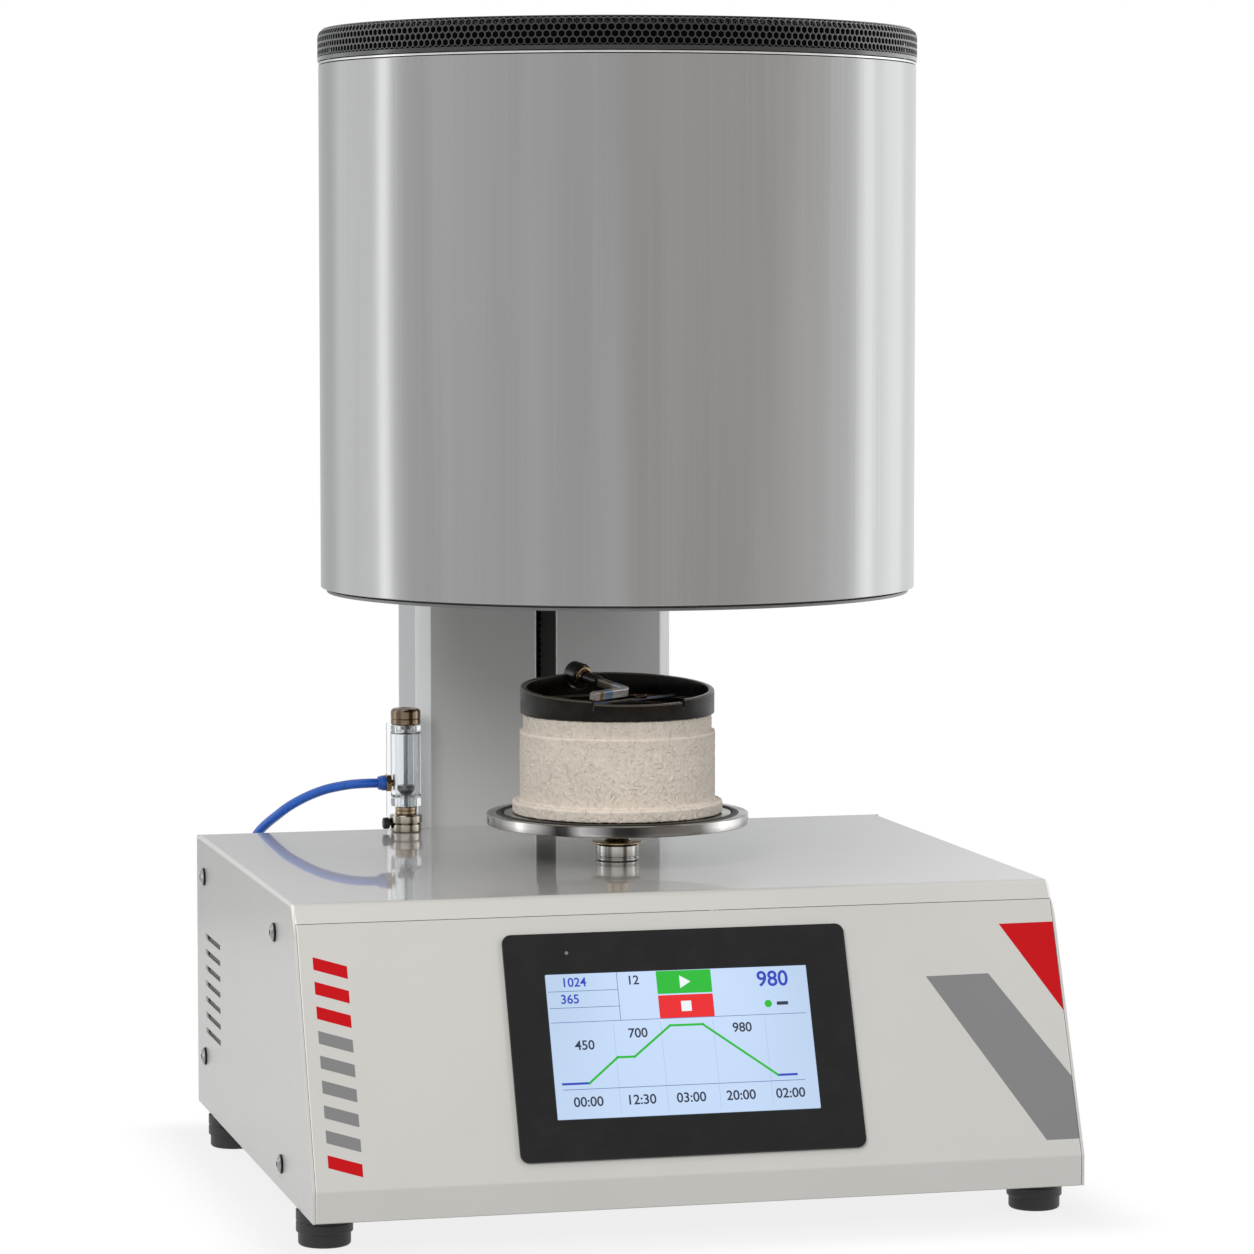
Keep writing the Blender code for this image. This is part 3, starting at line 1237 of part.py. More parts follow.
def flowmeter_base():
    """The two nuts and the ring under the glass, with the float's guide rod and its stop."""
    level = meter_levels()
    upper, ring, neck = level["upper_nut"], level["ring"], level["lower_neck"] - GAP
    stop = float_low() + FLOAT_HEIGHT + FLOAT_RISE + GAP
    rod_top = level["cap"] - GAP
    profile = [
        (0, -SHEET), (METER_NECK_BORE_R, -SHEET), (METER_NECK_BORE_R, GAP), (METER_NUT_R, GAP),
        (METER_NUT_R, upper), (METER_UPPER_NUT_R, upper), (METER_UPPER_NUT_R, ring), (METER_RING_R, ring),
        (METER_RING_R, neck), (METER_ROD_R, neck), (METER_ROD_R, stop), (METER_STOP_R, stop),
        (METER_STOP_R, stop + METER_STOP_HEIGHT), (METER_ROD_R, stop + METER_STOP_HEIGHT),
        (METER_ROD_R, rod_top), (0, rod_top),
    ]
    meter = lathe("flowmeter_base", profile, SMALL_SIDES, "bronze", (METER_X, METER_Y, TOP_Z))
    bore = (-METER_UPPER_NUT_R - OVERRUN, VALVE_STEM_LENGTH + GAP - METER_UPPER_NUT_R)
    at = (METER_X, METER_Y, TOP_Z + valve_height())
    cut(meter, round_cutter("valve_bore", VALVE_STEM_R + GAP, *bore, at, ALONG_X))
    return meter


def valve_height():
    """The valve's axis above the base."""
    return GAP + METER_NUT_HEIGHT


def float_low():
    """The float's lowest place above the base, just over the shoulder in the glass."""
    return meter_levels()["glass"] + METER_SHOULDER + GAP


def flowmeter_glass():
    """The glass, with a neck at each end and the port for the hose in its side."""
    level = meter_levels()
    low, glass, upper = level["lower_neck"], level["glass"], level["upper_neck"]
    high = level["cap"] - GAP
    profile = [
        (METER_NECK_BORE_R, low), (METER_NECK_R, low), (METER_NECK_R, glass), (METER_GLASS_R, glass),
        (METER_GLASS_R, upper), (METER_NECK_R, upper), (METER_NECK_R, high), (METER_NECK_BORE_R, high),
        (METER_NECK_BORE_R, upper - METER_SHOULDER), (METER_GLASS_BORE_R, upper - METER_SHOULDER),
        (METER_GLASS_BORE_R, glass + METER_SHOULDER), (METER_NECK_BORE_R, glass + METER_SHOULDER),
    ]
    glass_tube = lathe("flowmeter_glass", profile, ROUND_SIDES, "clear_glass", (METER_X, METER_Y, TOP_Z))
    at = (METER_X, METER_Y, TOP_Z + PORT_ABOVE_BASE)
    reach = METER_GLASS_R + OVERRUN
    cut(glass_tube, round_cutter("port_hole", PORT_HOLE_R, -reach, -METER_NECK_BORE_R, at, ALONG_X))
    return glass_tube


def flowmeter_float():
    """The float on its rod, as it lies with no gas flowing."""
    bore = METER_ROD_R + GAP
    profile = [
        (bore, 0), (FLOAT_CONE_R, 0), (FLOAT_R, FLOAT_HEIGHT / 2), (FLOAT_R, FLOAT_HEIGHT),
        (bore, FLOAT_HEIGHT),
    ]
    at = (METER_X, METER_Y, TOP_Z + float_low())
    return lathe("flowmeter_float", profile, SMALL_SIDES, "black_metal", at)


def flowmeter_cap():
    """The cap nut, with a plug in the glass's neck."""
    level = meter_levels()
    low, top = level["cap"], level["top"]
    bore = METER_ROD_R + GAP
    profile = [
        (0, low + GAP), (bore, low + GAP), (bore, low - METER_CAP_PLUG),
        (METER_CAP_PLUG_R, low - METER_CAP_PLUG),
        (METER_CAP_PLUG_R, low), (METER_CAP_R, low), (METER_CAP_R, top - METER_CAP_EDGE),
        (METER_CAP_R - METER_CAP_EDGE, top), (0, top),
    ]
    return lathe("flowmeter_cap", profile, SMALL_SIDES, "bronze", (METER_X, METER_Y, TOP_Z))


def valve_knob():
    """The needle valve's knob, with its stem in the base's side."""
    profile = [
        (0, -VALVE_STEM_LENGTH), (VALVE_STEM_R, -VALVE_STEM_LENGTH), (VALVE_STEM_R, GAP),
        (VALVE_R, GAP), (VALVE_R, VALVE_LENGTH - VALVE_EDGE), (VALVE_R - VALVE_EDGE, VALVE_LENGTH),
        (0, VALVE_LENGTH),
    ]
    at = (METER_X - METER_UPPER_NUT_R, METER_Y, TOP_Z + valve_height())
    return lathe("valve_knob", profile, SMALL_SIDES, "black_plastic", at, ALONG_MINUS_X)


def hose_fitting():
    """The push-in fitting in the glass's port: spigot, nut and release collet."""
    nut = METER_GLASS_R + GAP
    collet = nut + PORT_NUT_THICK
    profile = [
        (0, METER_GLASS_BORE_R), (PORT_SPIGOT_R, METER_GLASS_BORE_R), (PORT_SPIGOT_R, nut), (PORT_NUT_R, nut),
        (PORT_NUT_R, collet), (PORT_COLLET_R, collet), (PORT_COLLET_R, collet + PORT_COLLET_LENGTH),
        (0, collet + PORT_COLLET_LENGTH),
    ]
    at = (METER_X, METER_Y, TOP_Z + PORT_ABOVE_BASE)
    return lathe("hose_fitting", profile, SMALL_SIDES, "bronze", at, ALONG_MINUS_X)


def flowmeter_bracket():
    """The black bracket behind the flowmeter, with a ring round each neck."""
    level = meter_levels()
    front = METER_Y + METER_UPPER_NUT_R + 2 * GAP
    half = CLIP_PLATE_WIDTH / 2
    low = (METER_X - half, front, TOP_Z + GAP)
    high = (METER_X + half, front + CLIP_PLATE, TOP_Z + level["cap"])
    bracket = box("flowmeter_bracket", low, high, "black_plastic")
    necks = (("lower", METER_LOWER_NECK), ("upper", METER_UPPER_NECK))
    for name, tall in necks:
        z = TOP_Z + level[f"{name}_neck"]
        profile = rod_profile(METER_GLASS_R, GAP, tall - 2 * GAP)
        join(bracket, lathe(f"clip_{name}", profile, at=(METER_X, METER_Y, z)))
        web_low = (METER_X - CLIP_WEB_WIDTH / 2, METER_Y + METER_NECK_R + CLIP_WALL, z + 2 * GAP)
        web_high = (METER_X + CLIP_WEB_WIDTH / 2, front + CLIP_PLATE / 2, z + tall - 3 * GAP)
        join(bracket, box(f"clip_web_{name}", web_low, web_high))
    for name, tall in necks:
        at = (METER_X, METER_Y, TOP_Z + level[f"{name}_neck"])
        cut(bracket, round_cutter(f"clip_bore_{name}", METER_NECK_R + GAP, -OVERRUN, tall + OVERRUN, at))
    return bracket


# The hose's route from the flowmeter's port, over the base's back edge and down to the elbow. The first
# points are offsets from the port and the last ones from the elbow's mouth.
HOSE_FROM_PORT = (
    (0, 0, 0), (-0.0070, 0, 0), (-0.0185, 0.0030, -0.0010), (-0.0330, 0.0085, -0.0045),
    (-0.0470, 0.0140, -0.0110), (-0.0590, 0.0190, -0.0195),
)
HOSE_FROM_ELBOW = ((0.0030, 0.0005, 0.0360), (0, 0, 0.0180), (0, 0, 0.0060), (0, 0, 0))


def port_mouth():
    """The middle of the port's collet face."""
    reach = METER_GLASS_R + GAP + PORT_NUT_THICK + PORT_COLLET_LENGTH + GAP
    return Vector((METER_X - reach, METER_Y, TOP_Z + PORT_ABOVE_BASE))


def elbow_mouth():
    """The middle of the elbow's upward face."""
    return Vector((ELBOW_X, REAR_OUT_Y + ELBOW_BEHIND, ELBOW_Z + ELBOW_BLOCK / 2 + ELBOW_COLLET + GAP))


def smooth_route(points, steps):
    """Evenly spaced points on a smooth curve through the route."""
    fine = []
    padded = [2 * points[0] - points[1], *points, 2 * points[-1] - points[-2]]
    for a, b, c, d in zip(padded, padded[1:], padded[2:], padded[3:]):
        for k in range(steps):
            t = k / steps
            square, cube = 2 * a - 5 * b + 4 * c - d, 3 * b - a - 3 * c + d
            fine.append((2 * b + (c - a) * t + square * t**2 + cube * t**3) / 2)
    fine.append(points[-1])
    lengths = [0.0]
    for a, b in zip(fine, fine[1:]):
        lengths.append(lengths[-1] + (b - a).length)
    out, at = [], 0
    for n in range(steps + 1):
        want = lengths[-1] * n / steps
        while at < len(fine) - 2 and lengths[at + 1] < want:
            at += 1
        share = (want - lengths[at]) / (lengths[at + 1] - lengths[at])
        out.append(fine[at].lerp(fine[at + 1], share))
    return out


def gas_hose():
    """The blue hose, held by the port's fitting and by the elbow."""
    first = [port_mouth() + Vector(offset) for offset in HOSE_FROM_PORT]
    last = [elbow_mouth() + Vector(offset) for offset in HOSE_FROM_ELBOW]
    points = smooth_route(first + last, HOSE_STEPS)
    curve = bpy.data.curves.new("gas_hose", "CURVE")
    curve.dimensions = "3D"
    curve.bevel_depth = HOSE_R
    curve.bevel_resolution = 2
    curve.use_fill_caps = True
    spline = curve.splines.new("POLY")
    spline.points.add(len(points) - 1)
    for place, point in zip(spline.points, points):
        place.co = (*point, 1)
    curve.materials.append(material("blue_hose"))
    hose = bpy.data.objects.new("gas_hose", curve)
    bpy.context.scene.collection.objects.link(hose)
    return hose


def bulkhead_fitting():
    """The elbow on the rear panel: a spigot through the sheet, a nut, a block and an upward collet."""
    spigot = [
        (0, -ELBOW_SPIGOT_LENGTH), (ELBOW_SPIGOT_R, -ELBOW_SPIGOT_LENGTH), (ELBOW_SPIGOT_R, GAP),
        (ELBOW_NUT_R, GAP), (ELBOW_NUT_R, GAP + ELBOW_NUT_THICK), (0, GAP + ELBOW_NUT_THICK),
    ]
    at = (ELBOW_X, REAR_OUT_Y, ELBOW_Z)
    fitting = lathe("bulkhead_fitting", spigot, SMALL_SIDES, "bronze", at, ALONG_Y)
    half = ELBOW_BLOCK / 2
    middle = REAR_OUT_Y + ELBOW_BEHIND
    low = (ELBOW_X - half, REAR_OUT_Y + ELBOW_NUT_THICK / 2, ELBOW_Z - half)
    join(fitting, box("elbow_block", low, (ELBOW_X + half, middle + half, ELBOW_Z + half)))
    collet = rod_profile(ELBOW_COLLET_R, 0, half + ELBOW_COLLET)
    join(fitting, lathe("elbow_collet", collet, at=(ELBOW_X, middle, ELBOW_Z)))
    return fitting


# Rear panel equipment

def fan_frame():
    """The fan's square frame behind the rear panel, with struts to the motor's pin."""
    back = BACK_Y
    front = back - FAN_DEPTH
    outline = rectangle(FAN_CENTRE, (FAN_SIZE, FAN_SIZE))
    frame = prism_y("fan_frame", outline, front, back, "black_plastic")
    bm = bmesh.new()
    hole = [(x, front + FAN_STRUT_THICK, z) for x, z in regular(FAN_BORE_R, ROUND_SIDES, FAN_CENTRE)]
    extrude(bm, hole, (0, FAN_DEPTH + OVERRUN, 0))
    cut(frame, finish("fan_bore", bm))
    bm = bmesh.new()
    half, out, strut = FAN_STRUT / 2, FAN_BORE_R * math.sqrt(0.5), FAN_HUB_R
    for sx, sz in ((-1, -1), (1, -1), (1, 1), (-1, 1)):
        corner = (FAN_CENTRE[0] + sx * half, FAN_CENTRE[1] + sz * half)
        quarter = [
            corner, (FAN_CENTRE[0] + sx * out, corner[1]),
            (FAN_CENTRE[0] + sx * out, FAN_CENTRE[1] + sz * out), (corner[0], FAN_CENTRE[1] + sz * out),
        ]
        extrude(bm, [(x, front - OVERRUN, z) for x, z in quarter], (0, OVERRUN + 2 * FAN_STRUT_THICK, 0))
    cut(frame, finish("fan_quarters", bm))
    at = (FAN_CENTRE[0], front, FAN_CENTRE[1])
    hub = lathe("fan_motor", rod_profile(strut, 0, FAN_STRUT_THICK), ROUND_SIDES, at=at, turn=ALONG_Y)
    join(frame, hub)
    pin = (FAN_STRUT_THICK / 2, FAN_STRUT_THICK + FAN_PIN_LENGTH)
    join(frame, round_cutter("fan_pin", FAN_PIN_R, *pin, at, ALONG_Y))
    return frame


def fan_rotor():
    """The fan's hub with its pitched blades."""
    low = FAN_STRUT_THICK + GAP
    at = (FAN_CENTRE[0], BACK_Y - FAN_DEPTH, FAN_CENTRE[1])
    bore, deep = FAN_PIN_R + GAP, low + FAN_PIN_LENGTH
    profile = [
        (0, deep), (bore, deep), (bore, low), (FAN_HUB_R, low),
        (FAN_HUB_R, low + FAN_ROTOR_DEPTH), (0, low + FAN_ROTOR_DEPTH),
    ]
    rotor = lathe("fan_rotor", profile, ROUND_SIDES, "black_plastic", at, ALONG_Y)
    bm = bmesh.new()
    half = (FAN_BLADE_DEPTH / 2, FAN_BLADE_THICK / 2)
    pitch = Matrix.Rotation(math.radians(FAN_BLADE_PITCH_DEG), 3, "X")
    root = FAN_HUB_R - FAN_BLADE_THICK
    for n in range(FAN_BLADES):
        turn = Matrix.Rotation(2 * math.pi * n / FAN_BLADES, 3, "Y")
        corners = [(s * half[0], t * half[1]) for s, t in ((-1, -1), (1, -1), (1, 1), (-1, 1))]
        loop = [pitch @ Vector((root, a, b)) for a, b in corners]
        extrude(bm, [turn @ p for p in loop], turn @ Vector((FAN_BLADE_R - root, 0, 0)))
    middle = (at[0], at[1] + low + FAN_ROTOR_DEPTH / 2, at[2])
    join(rotor, finish("fan_blades", bm, at=middle))
    return rotor


def rocker_place():
    """The rocker's middle on the rear panel."""
    return (INLET_CENTRE[0], INLET_CENTRE[1] + ROCKER_RISE)


def power_inlet():
    """The power inlet: a flange, a body through the sheet, the socket and the rocker's well."""
    flange = REAR_OUT_Y + GAP
    front = flange + INLET_FLANGE
    inlet = prism_y(
        "power_inlet", rectangle(INLET_CENTRE, (INLET_WIDTH, INLET_HEIGHT)), flange, front, "black_plastic"
    )
    body = rectangle(INLET_CENTRE, (INLET_BODY_WIDTH, INLET_BODY_HEIGHT))
    join(inlet, prism_y("inlet_body", body, flange - INLET_BODY_DEPTH, flange + INLET_FLANGE / 2))
    socket = rectangle((INLET_CENTRE[0], INLET_CENTRE[1] - SOCKET_DROP), (SOCKET_WIDTH, SOCKET_HEIGHT))
    cut(inlet, prism_y("inlet_socket", socket, front - SOCKET_DEPTH, front + OVERRUN))
    size = (ROCKER_WIDTH + 2 * ROCKER_CLEARANCE, ROCKER_HEIGHT + 2 * ROCKER_CLEARANCE)
    well = rectangle(rocker_place(), size)
    cut(inlet, prism_y("rocker_well", well, front - ROCKER_WELL, front + OVERRUN))
    at = (INLET_CENTRE[0], front - ROCKER_PIVOT_SUNK, rocker_place()[1])
    reach = ROCKER_WIDTH / 2 + 2 * ROCKER_CLEARANCE + GAP
    cut(inlet, round_cutter("rocker_pivot_holes", ROCKER_PIN_R + GAP, -reach, reach, at, ALONG_X))
    return inlet


def rocker_switch():
    """The rocker, pressed at its upper end, with its pivot pins."""
    front = REAR_OUT_Y + GAP + INLET_FLANGE
    x, z = rocker_place()
    holder = pivot("rocker_axis", (x, front - ROCKER_PIVOT_SUNK, z))
    half = ROCKER_HEIGHT / 2 - ROCKER_CLEARANCE
    face = ROCKER_PIVOT_SUNK + ROCKER_CLEARANCE
    outline = [
        (-ROCKER_PIN_R, -2 * ROCKER_PIN_R), (face, -half), (face - ROCKER_CLEARANCE, 0), (face, half),
        (-ROCKER_PIN_R, 2 * ROCKER_PIN_R),
    ]
    rocker = prism_x("rocker_switch", outline, -ROCKER_WIDTH / 2, ROCKER_WIDTH / 2, "black_plastic")
    reach = ROCKER_WIDTH / 2 + 2 * ROCKER_CLEARANCE
    pins = round_cutter("rocker_pins", ROCKER_PIN_R, -reach, reach, (0, 0, 0), ALONG_X)
    join(rocker, pins)
    rocker.parent = holder
    pins.parent = holder
    holder.rotation_euler = (math.radians(ROCKER_TILT_DEG / 2), 0, 0)
    return rocker


def base():
    """The chassis with its skins, display, feet, screws and rear equipment."""
    panel_frame()
    top_cover()
    base_tray()
    front_panel()
    display_housing()
    display_glass()
    rear_panel()
    control_board()
    for end, y in (("front", FOLD_Y + FOOT_INSET_FRONT), ("rear", BACK_Y - FOOT_INSET_BACK)):
        foot(f"foot_{end}_left", -1, y)
        foot(f"foot_{end}_right", 1, y)
    corners = ("upper_rear", "upper_front", "lower_rear", "lower_front")
    for corner, place in zip(corners, screw_places()):
        side_screw(f"screw_left_{corner}", -1, place)
        side_screw(f"screw_right_{corner}", 1, place)
    fan_frame()
    fan_rotor()
    power_inlet()
    rocker_switch()


def lift():
    """The column with its motor, screw and rods."""
    column_cover()
    column_back()
    rod_block("rod_block_lower")
    rod_block("rod_block_upper")
    for name, place in zip(("guide_rod_left", "guide_rod_right"), rod_places()):
        guide_rod(name, place)
    lift_motor()
    lead_screw()


def head():
    """Everything that rides up and down, held by one empty on the furnace axis."""
    frame = pivot("head_frame", (AXIS_X, AXIS_Y, HEAD_REST_Z))
    pieces = (
        carriage(), lead_nut(), head_arm(), head_shell(), head_base_ring(), insulation(),
        heating_muffle(), thermocouple(), head_lid(), mesh_guard(),
    )
    for piece in pieces:
        hang(piece, frame)


def table():
    """The table on its post, the ceramic base and the tray with its hook."""
    post_housing()
    post_spindle()
    table_plate()
    table_seal()
    ceramic_base()
    frame = pivot("tray_frame", (AXIS_X, AXIS_Y, TRAY_Z))
    for piece in (tray_ring(), tray_strip()):
        hang(piece, frame)
    axis = pivot("hook_axis", hook_start(), hook_turn())
    for piece in (hook_knob(), hook_collar(), hook_arm()):
        hang(piece, axis)


def gas():
    """The flowmeter, its bracket and the hose to the rear panel."""
    flowmeter_base()
    flowmeter_glass()
    flowmeter_float()
    flowmeter_cap()
    flowmeter_bracket()
    valve_knob()
    hose_fitting()
    gas_hose()
    bulkhead_fitting()


def main():
    clear_scene()
    base()
    lift()
    head()
    table()
    gas()


main()
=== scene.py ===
"""Looks of a dental heat treatment furnace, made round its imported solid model.

The file is laid out as an add-on: the groups of properties hold the sizes and colours that a user
would change, one operator makes each group of pieces, and a panel lists the operators. Run as a
script, it makes the whole furnace with its studio.

Metres, +Z up, X to the right of someone who faces the furnace. Colours are linear.
"""

import math

import bmesh
import bpy
import numpy as np
from mathutils import Matrix, Vector


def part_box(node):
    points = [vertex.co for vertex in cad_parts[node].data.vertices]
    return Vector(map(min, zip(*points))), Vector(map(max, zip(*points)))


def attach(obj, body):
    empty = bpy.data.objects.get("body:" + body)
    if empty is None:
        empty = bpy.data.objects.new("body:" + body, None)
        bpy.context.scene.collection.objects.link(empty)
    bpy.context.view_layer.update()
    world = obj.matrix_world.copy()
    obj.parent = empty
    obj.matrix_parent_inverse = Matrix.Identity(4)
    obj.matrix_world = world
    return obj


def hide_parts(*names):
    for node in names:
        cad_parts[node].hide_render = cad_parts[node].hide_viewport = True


bl_info = {
    "name": "Heat treatment furnace",
    "version": (1, 0),
    "blender": (4, 5, 0),
    "location": "3D View > Sidebar > Furnace",
    "description": "Makes the surfaces and finishes of a bench-top heat treatment furnace",
    "category": "Object",
}

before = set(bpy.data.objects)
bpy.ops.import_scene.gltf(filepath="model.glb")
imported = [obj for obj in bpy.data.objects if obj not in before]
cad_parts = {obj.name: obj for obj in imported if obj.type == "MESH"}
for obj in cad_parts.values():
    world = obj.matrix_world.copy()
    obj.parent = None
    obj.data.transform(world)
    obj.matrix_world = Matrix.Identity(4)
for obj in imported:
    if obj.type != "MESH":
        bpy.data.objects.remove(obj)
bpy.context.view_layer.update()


def low(node):
    """The lowest corner of a solid."""
    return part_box(node)[0]


def high(node):
    """The highest corner of a solid."""
    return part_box(node)[1]


def middle(node):
    """The middle of a solid's box."""
    return (low(node) + high(node)) / 2


def radius_of(node):
    """The radius of an upright round solid."""
    return (high(node).x - low(node).x) / 2


def height_of(node):
    """How tall a solid is."""
    return high(node).z - low(node).z


# Shared values
GAP = 0.0003
SKIN = 0.0001
MERGE = 0.000002
ROUND = 96
WIDE_ROUND = 192
ARC_STEPS = 6
FLAT_ANGLE = math.radians(2.0)
CREASE_ANGLE = math.radians(30.0)

# Base and its leaning front
TOP_Z = high("top_cover").z
FOOT_Z = low("top_cover").z
RIGHT = high("top_cover").x
LIP_BACK = 0.3380
LIP_DROP = 0.0104
PANEL_REACH = 0.0572
FRONT_LIP = 0.0176
LIP_Y = high("top_cover").y - LIP_BACK
LIP_Z = TOP_Z - LIP_DROP
PANEL_TILT = math.atan2(LIP_Z - FOOT_Z - FRONT_LIP, PANEL_REACH)
PANEL = Matrix.Translation((0, LIP_Y, LIP_Z)) @ Matrix.Rotation(PANEL_TILT, 4, "X")

# The furnace axis and the head
AXIS = middle("head_shell")
HEAD_R = radius_of("head_shell")
SHELL_LOW = low("head_shell").z
SHELL_TOP = high("head_shell").z

ALONG_X = Matrix.Rotation(math.pi / 2, 4, "Y")
ALONG_MINUS_X = Matrix.Rotation(-math.pi / 2, 4, "Y")
ALONG_Y = Matrix.Rotation(-math.pi / 2, 4, "X")


def colour(name, text, default):
    """A colour that a user can change."""
    return bpy.props.FloatVectorProperty(
        name=name, description=text, default=default, subtype="COLOR", min=0.0, max=1.0
    )


def length(name, text, default):
    """A length that a user can change."""
    return bpy.props.FloatProperty(
        name=name, description=text, default=default, unit="LENGTH", subtype="DISTANCE", min=0.0, precision=5
    )


class FurnaceColours(bpy.types.PropertyGroup):
    """The furnace's colours."""

    paint: colour("Housing paint", "Light grey paint of the base", (0.630, 0.618, 0.594))
    column: colour("Column paint", "Grey paint of the column", (0.645, 0.651, 0.655))
    head: colour("Head skin", "Bright sheet round the head", (0.400, 0.398, 0.394))
    red: colour("Red field", "Red corner of the front", (0.560, 0.002, 0.006))
    grey: colour("Grey band", "Slanted band on the front", (0.235, 0.235, 0.238))
    hose: colour("Hose", "Blue gas hose", (0.004, 0.105, 0.560))
    ceramic: colour("Ceramic", "Fibre ceramic of the base under the tray", (0.770, 0.690, 0.603))
    bezel: colour("Bezel", "Frame of the display", (0.0110, 0.0110, 0.0115))
    screen: colour("Screen", "Lit background of the display", (0.560, 0.715, 0.945))
    bronze: colour("Bronze", "Turned bronze fittings", (0.255, 0.190, 0.130))


class FurnaceSizes(bpy.types.PropertyGroup):
    """The furnace's surface details."""

    edge: length("Sheet edge", "Rounding of the sheets' edges", 0.0005)
    hexagon: length("Guard pitch", "Distance between the holes round the guard", 0.0043)
    lid_hexagon: length("Guard top pitch", "Distance between the holes on the guard's top", 0.0056)
    strand: length("Guard strand", "Width of the metal between two holes", 0.00070)
    wrinkle: length("Ceramic wrinkle", "Depth of the wrinkles in the ceramic", 0.00038)
    decal: length("Printed film", "Thickness of the coloured films on the front", 0.0001)


# Shader maths

class Wire:
    """One output of a node. Arithmetic on it adds a Math node and gives that node's output."""

    def __init__(self, finish, socket):
        self.finish = finish
        self.socket = socket

    def __add__(self, other):
        return self.finish.maths("ADD", self, other)

    def __radd__(self, other):
        return self.finish.maths("ADD", other, self)

    def __sub__(self, other):
        return self.finish.maths("SUBTRACT", self, other)

    def __rsub__(self, other):
        return self.finish.maths("SUBTRACT", other, self)

    def __mul__(self, other):
        return self.finish.maths("MULTIPLY", self, other)

    def __rmul__(self, other):
        return self.finish.maths("MULTIPLY", other, self)

    def __truediv__(self, other):
        return self.finish.maths("DIVIDE", self, other)

    def __abs__(self):
        return self.finish.maths("ABSOLUTE", self)


class Finish:
    """A material being written, or the world. Its node method adds every node."""

    def __init__(self, name, world=None):
        self.material = world or bpy.data.materials.new(name)
        self.material.use_nodes = True
        self.tree = self.material.node_tree
        self.tree.nodes.clear()
        self.end = self.tree.nodes.new("ShaderNodeOutputWorld" if world else "ShaderNodeOutputMaterial")

    def node(self, kind, settings=None, inputs=None, out=0):
        """Adds a node: its settings first, a ramp's stops among them, then its sockets' values or links."""
        made = self.tree.nodes.new(kind)
        for key, value in (settings or {}).items():
            if key == "stops":
                self.set_stops(made.color_ramp, value)
            else:
                setattr(made, key, value)
        for key, value in (inputs or {}).items():
            socket = made.inputs[key]
            if isinstance(value, Wire):
                self.tree.links.new(value.socket, socket)
            else:
                socket.default_value = value
        return Wire(self, made.outputs[out])

    def maths(self, operation, *values):
        """The outcome of one Math node."""
        return self.node("ShaderNodeMath", {"operation": operation}, dict(enumerate(values)))

    @staticmethod
    def set_stops(ramp, stops):
        """Gives a ramp these (place, colour) stops."""
        while len(ramp.elements) < len(stops):
            ramp.elements.new(1.0)
        for element, (place, tone) in zip(ramp.elements, stops):
            element.position = place
            element.color = (*tone, 1.0)

    def place(self, about=(0, 0, 0), turn=(0, 0, 0), scale=(1, 1, 1)):
        """Object coordinates, centred on a point, then turned and scaled."""
        here = self.node("ShaderNodeTexCoord", out="Object")
        moved = self.node("ShaderNodeVectorMath", {"operation": "SUBTRACT"}, {0: here, 1: about})
        inputs = {"Vector": moved, "Rotation": turn, "Scale": scale}
        return self.node("ShaderNodeMapping", {"vector_type": "POINT"}, inputs)

    def split(self, vector):
        """The three parts of a vector."""
        parts = self.node("ShaderNodeSeparateXYZ", inputs={0: vector})
        outputs = parts.socket.node.outputs
        return [Wire(self, outputs[n]) for n in range(3)]

    def normal(self):
        """The three parts of the direction in which the surface faces."""
        return self.split(self.node("ShaderNodeTexCoord", out="Normal"))

    def noise(self, where, scale, detail=2.0, rough=0.5, warp=0.0):
        """Smooth noise from 0 to 1."""
        values = {"Vector": where, "Scale": scale, "Detail": detail, "Roughness": rough, "Distortion": warp}
        return self.node("ShaderNodeTexNoise", inputs=values)

    def ramp(self, value, stops):
        """A colour for each value from 0 to 1."""
        return self.node("ShaderNodeValToRGB", {"stops": stops}, {0: value})

    def mix(self, factor, first, second):
        """One colour, then another as the factor goes from 0 to 1."""
        first = first if isinstance(first, Wire) else (*first, 1.0)
        second = second if isinstance(second, Wire) else (*second, 1.0)
        return self.node("ShaderNodeMix", {"data_type": "RGBA"}, {0: factor, 6: first, 7: second}, out=2)

    def span(self, value, start, stop, first=0.0, last=1.0):
        """Carries a value from one range to another, smoothly and held at its ends."""
        inputs = {"Value": value, "From Min": start, "From Max": stop, "To Min": first, "To Max": last}
        return self.node("ShaderNodeMapRange", {"interpolation_type": "SMOOTHSTEP"}, inputs)

    def bump(self, height, distance, strength, under=None):
        """A bent normal from a height, on top of another bump where one is given."""
        inputs = {"Height": height, "Distance": distance, "Strength": strength}
        if under:
            inputs["Normal"] = under
        return self.node("ShaderNodeBump", inputs=inputs)

    def seen(self):
        """1 for the camera's rays, for reflections' and for those through glass, and 0 for all others."""
        share = self.node("ShaderNodeLightPath", out="Is Camera Ray")
        for other in ("Is Glossy Ray", "Is Transmission Ray"):
            share = self.maths("MAXIMUM", share, self.node("ShaderNodeLightPath", out=other))
        return share

    def end_with(self, shader):
        """Makes this shader the material's surface."""
        self.tree.links.new(shader.socket, self.end.inputs["Surface"])

    def done(self, **sockets):
        """Ends the material with a Principled BSDF whose sockets have these values or links."""
        named = {key.replace("_", " "): value for key, value in sockets.items()}
        inputs = {key: (*v, 1.0) if isinstance(v, tuple) and len(v) == 3 else v for key, v in named.items()}
        shader = self.node("ShaderNodeBsdfPrincipled", inputs=inputs)
        self.end_with(shader)
        return self.material


def tint(tone, share):
    """A colour made lighter or darker by a share."""
    return tuple(min(1.0, part * share) for part in tone)


# Finishes

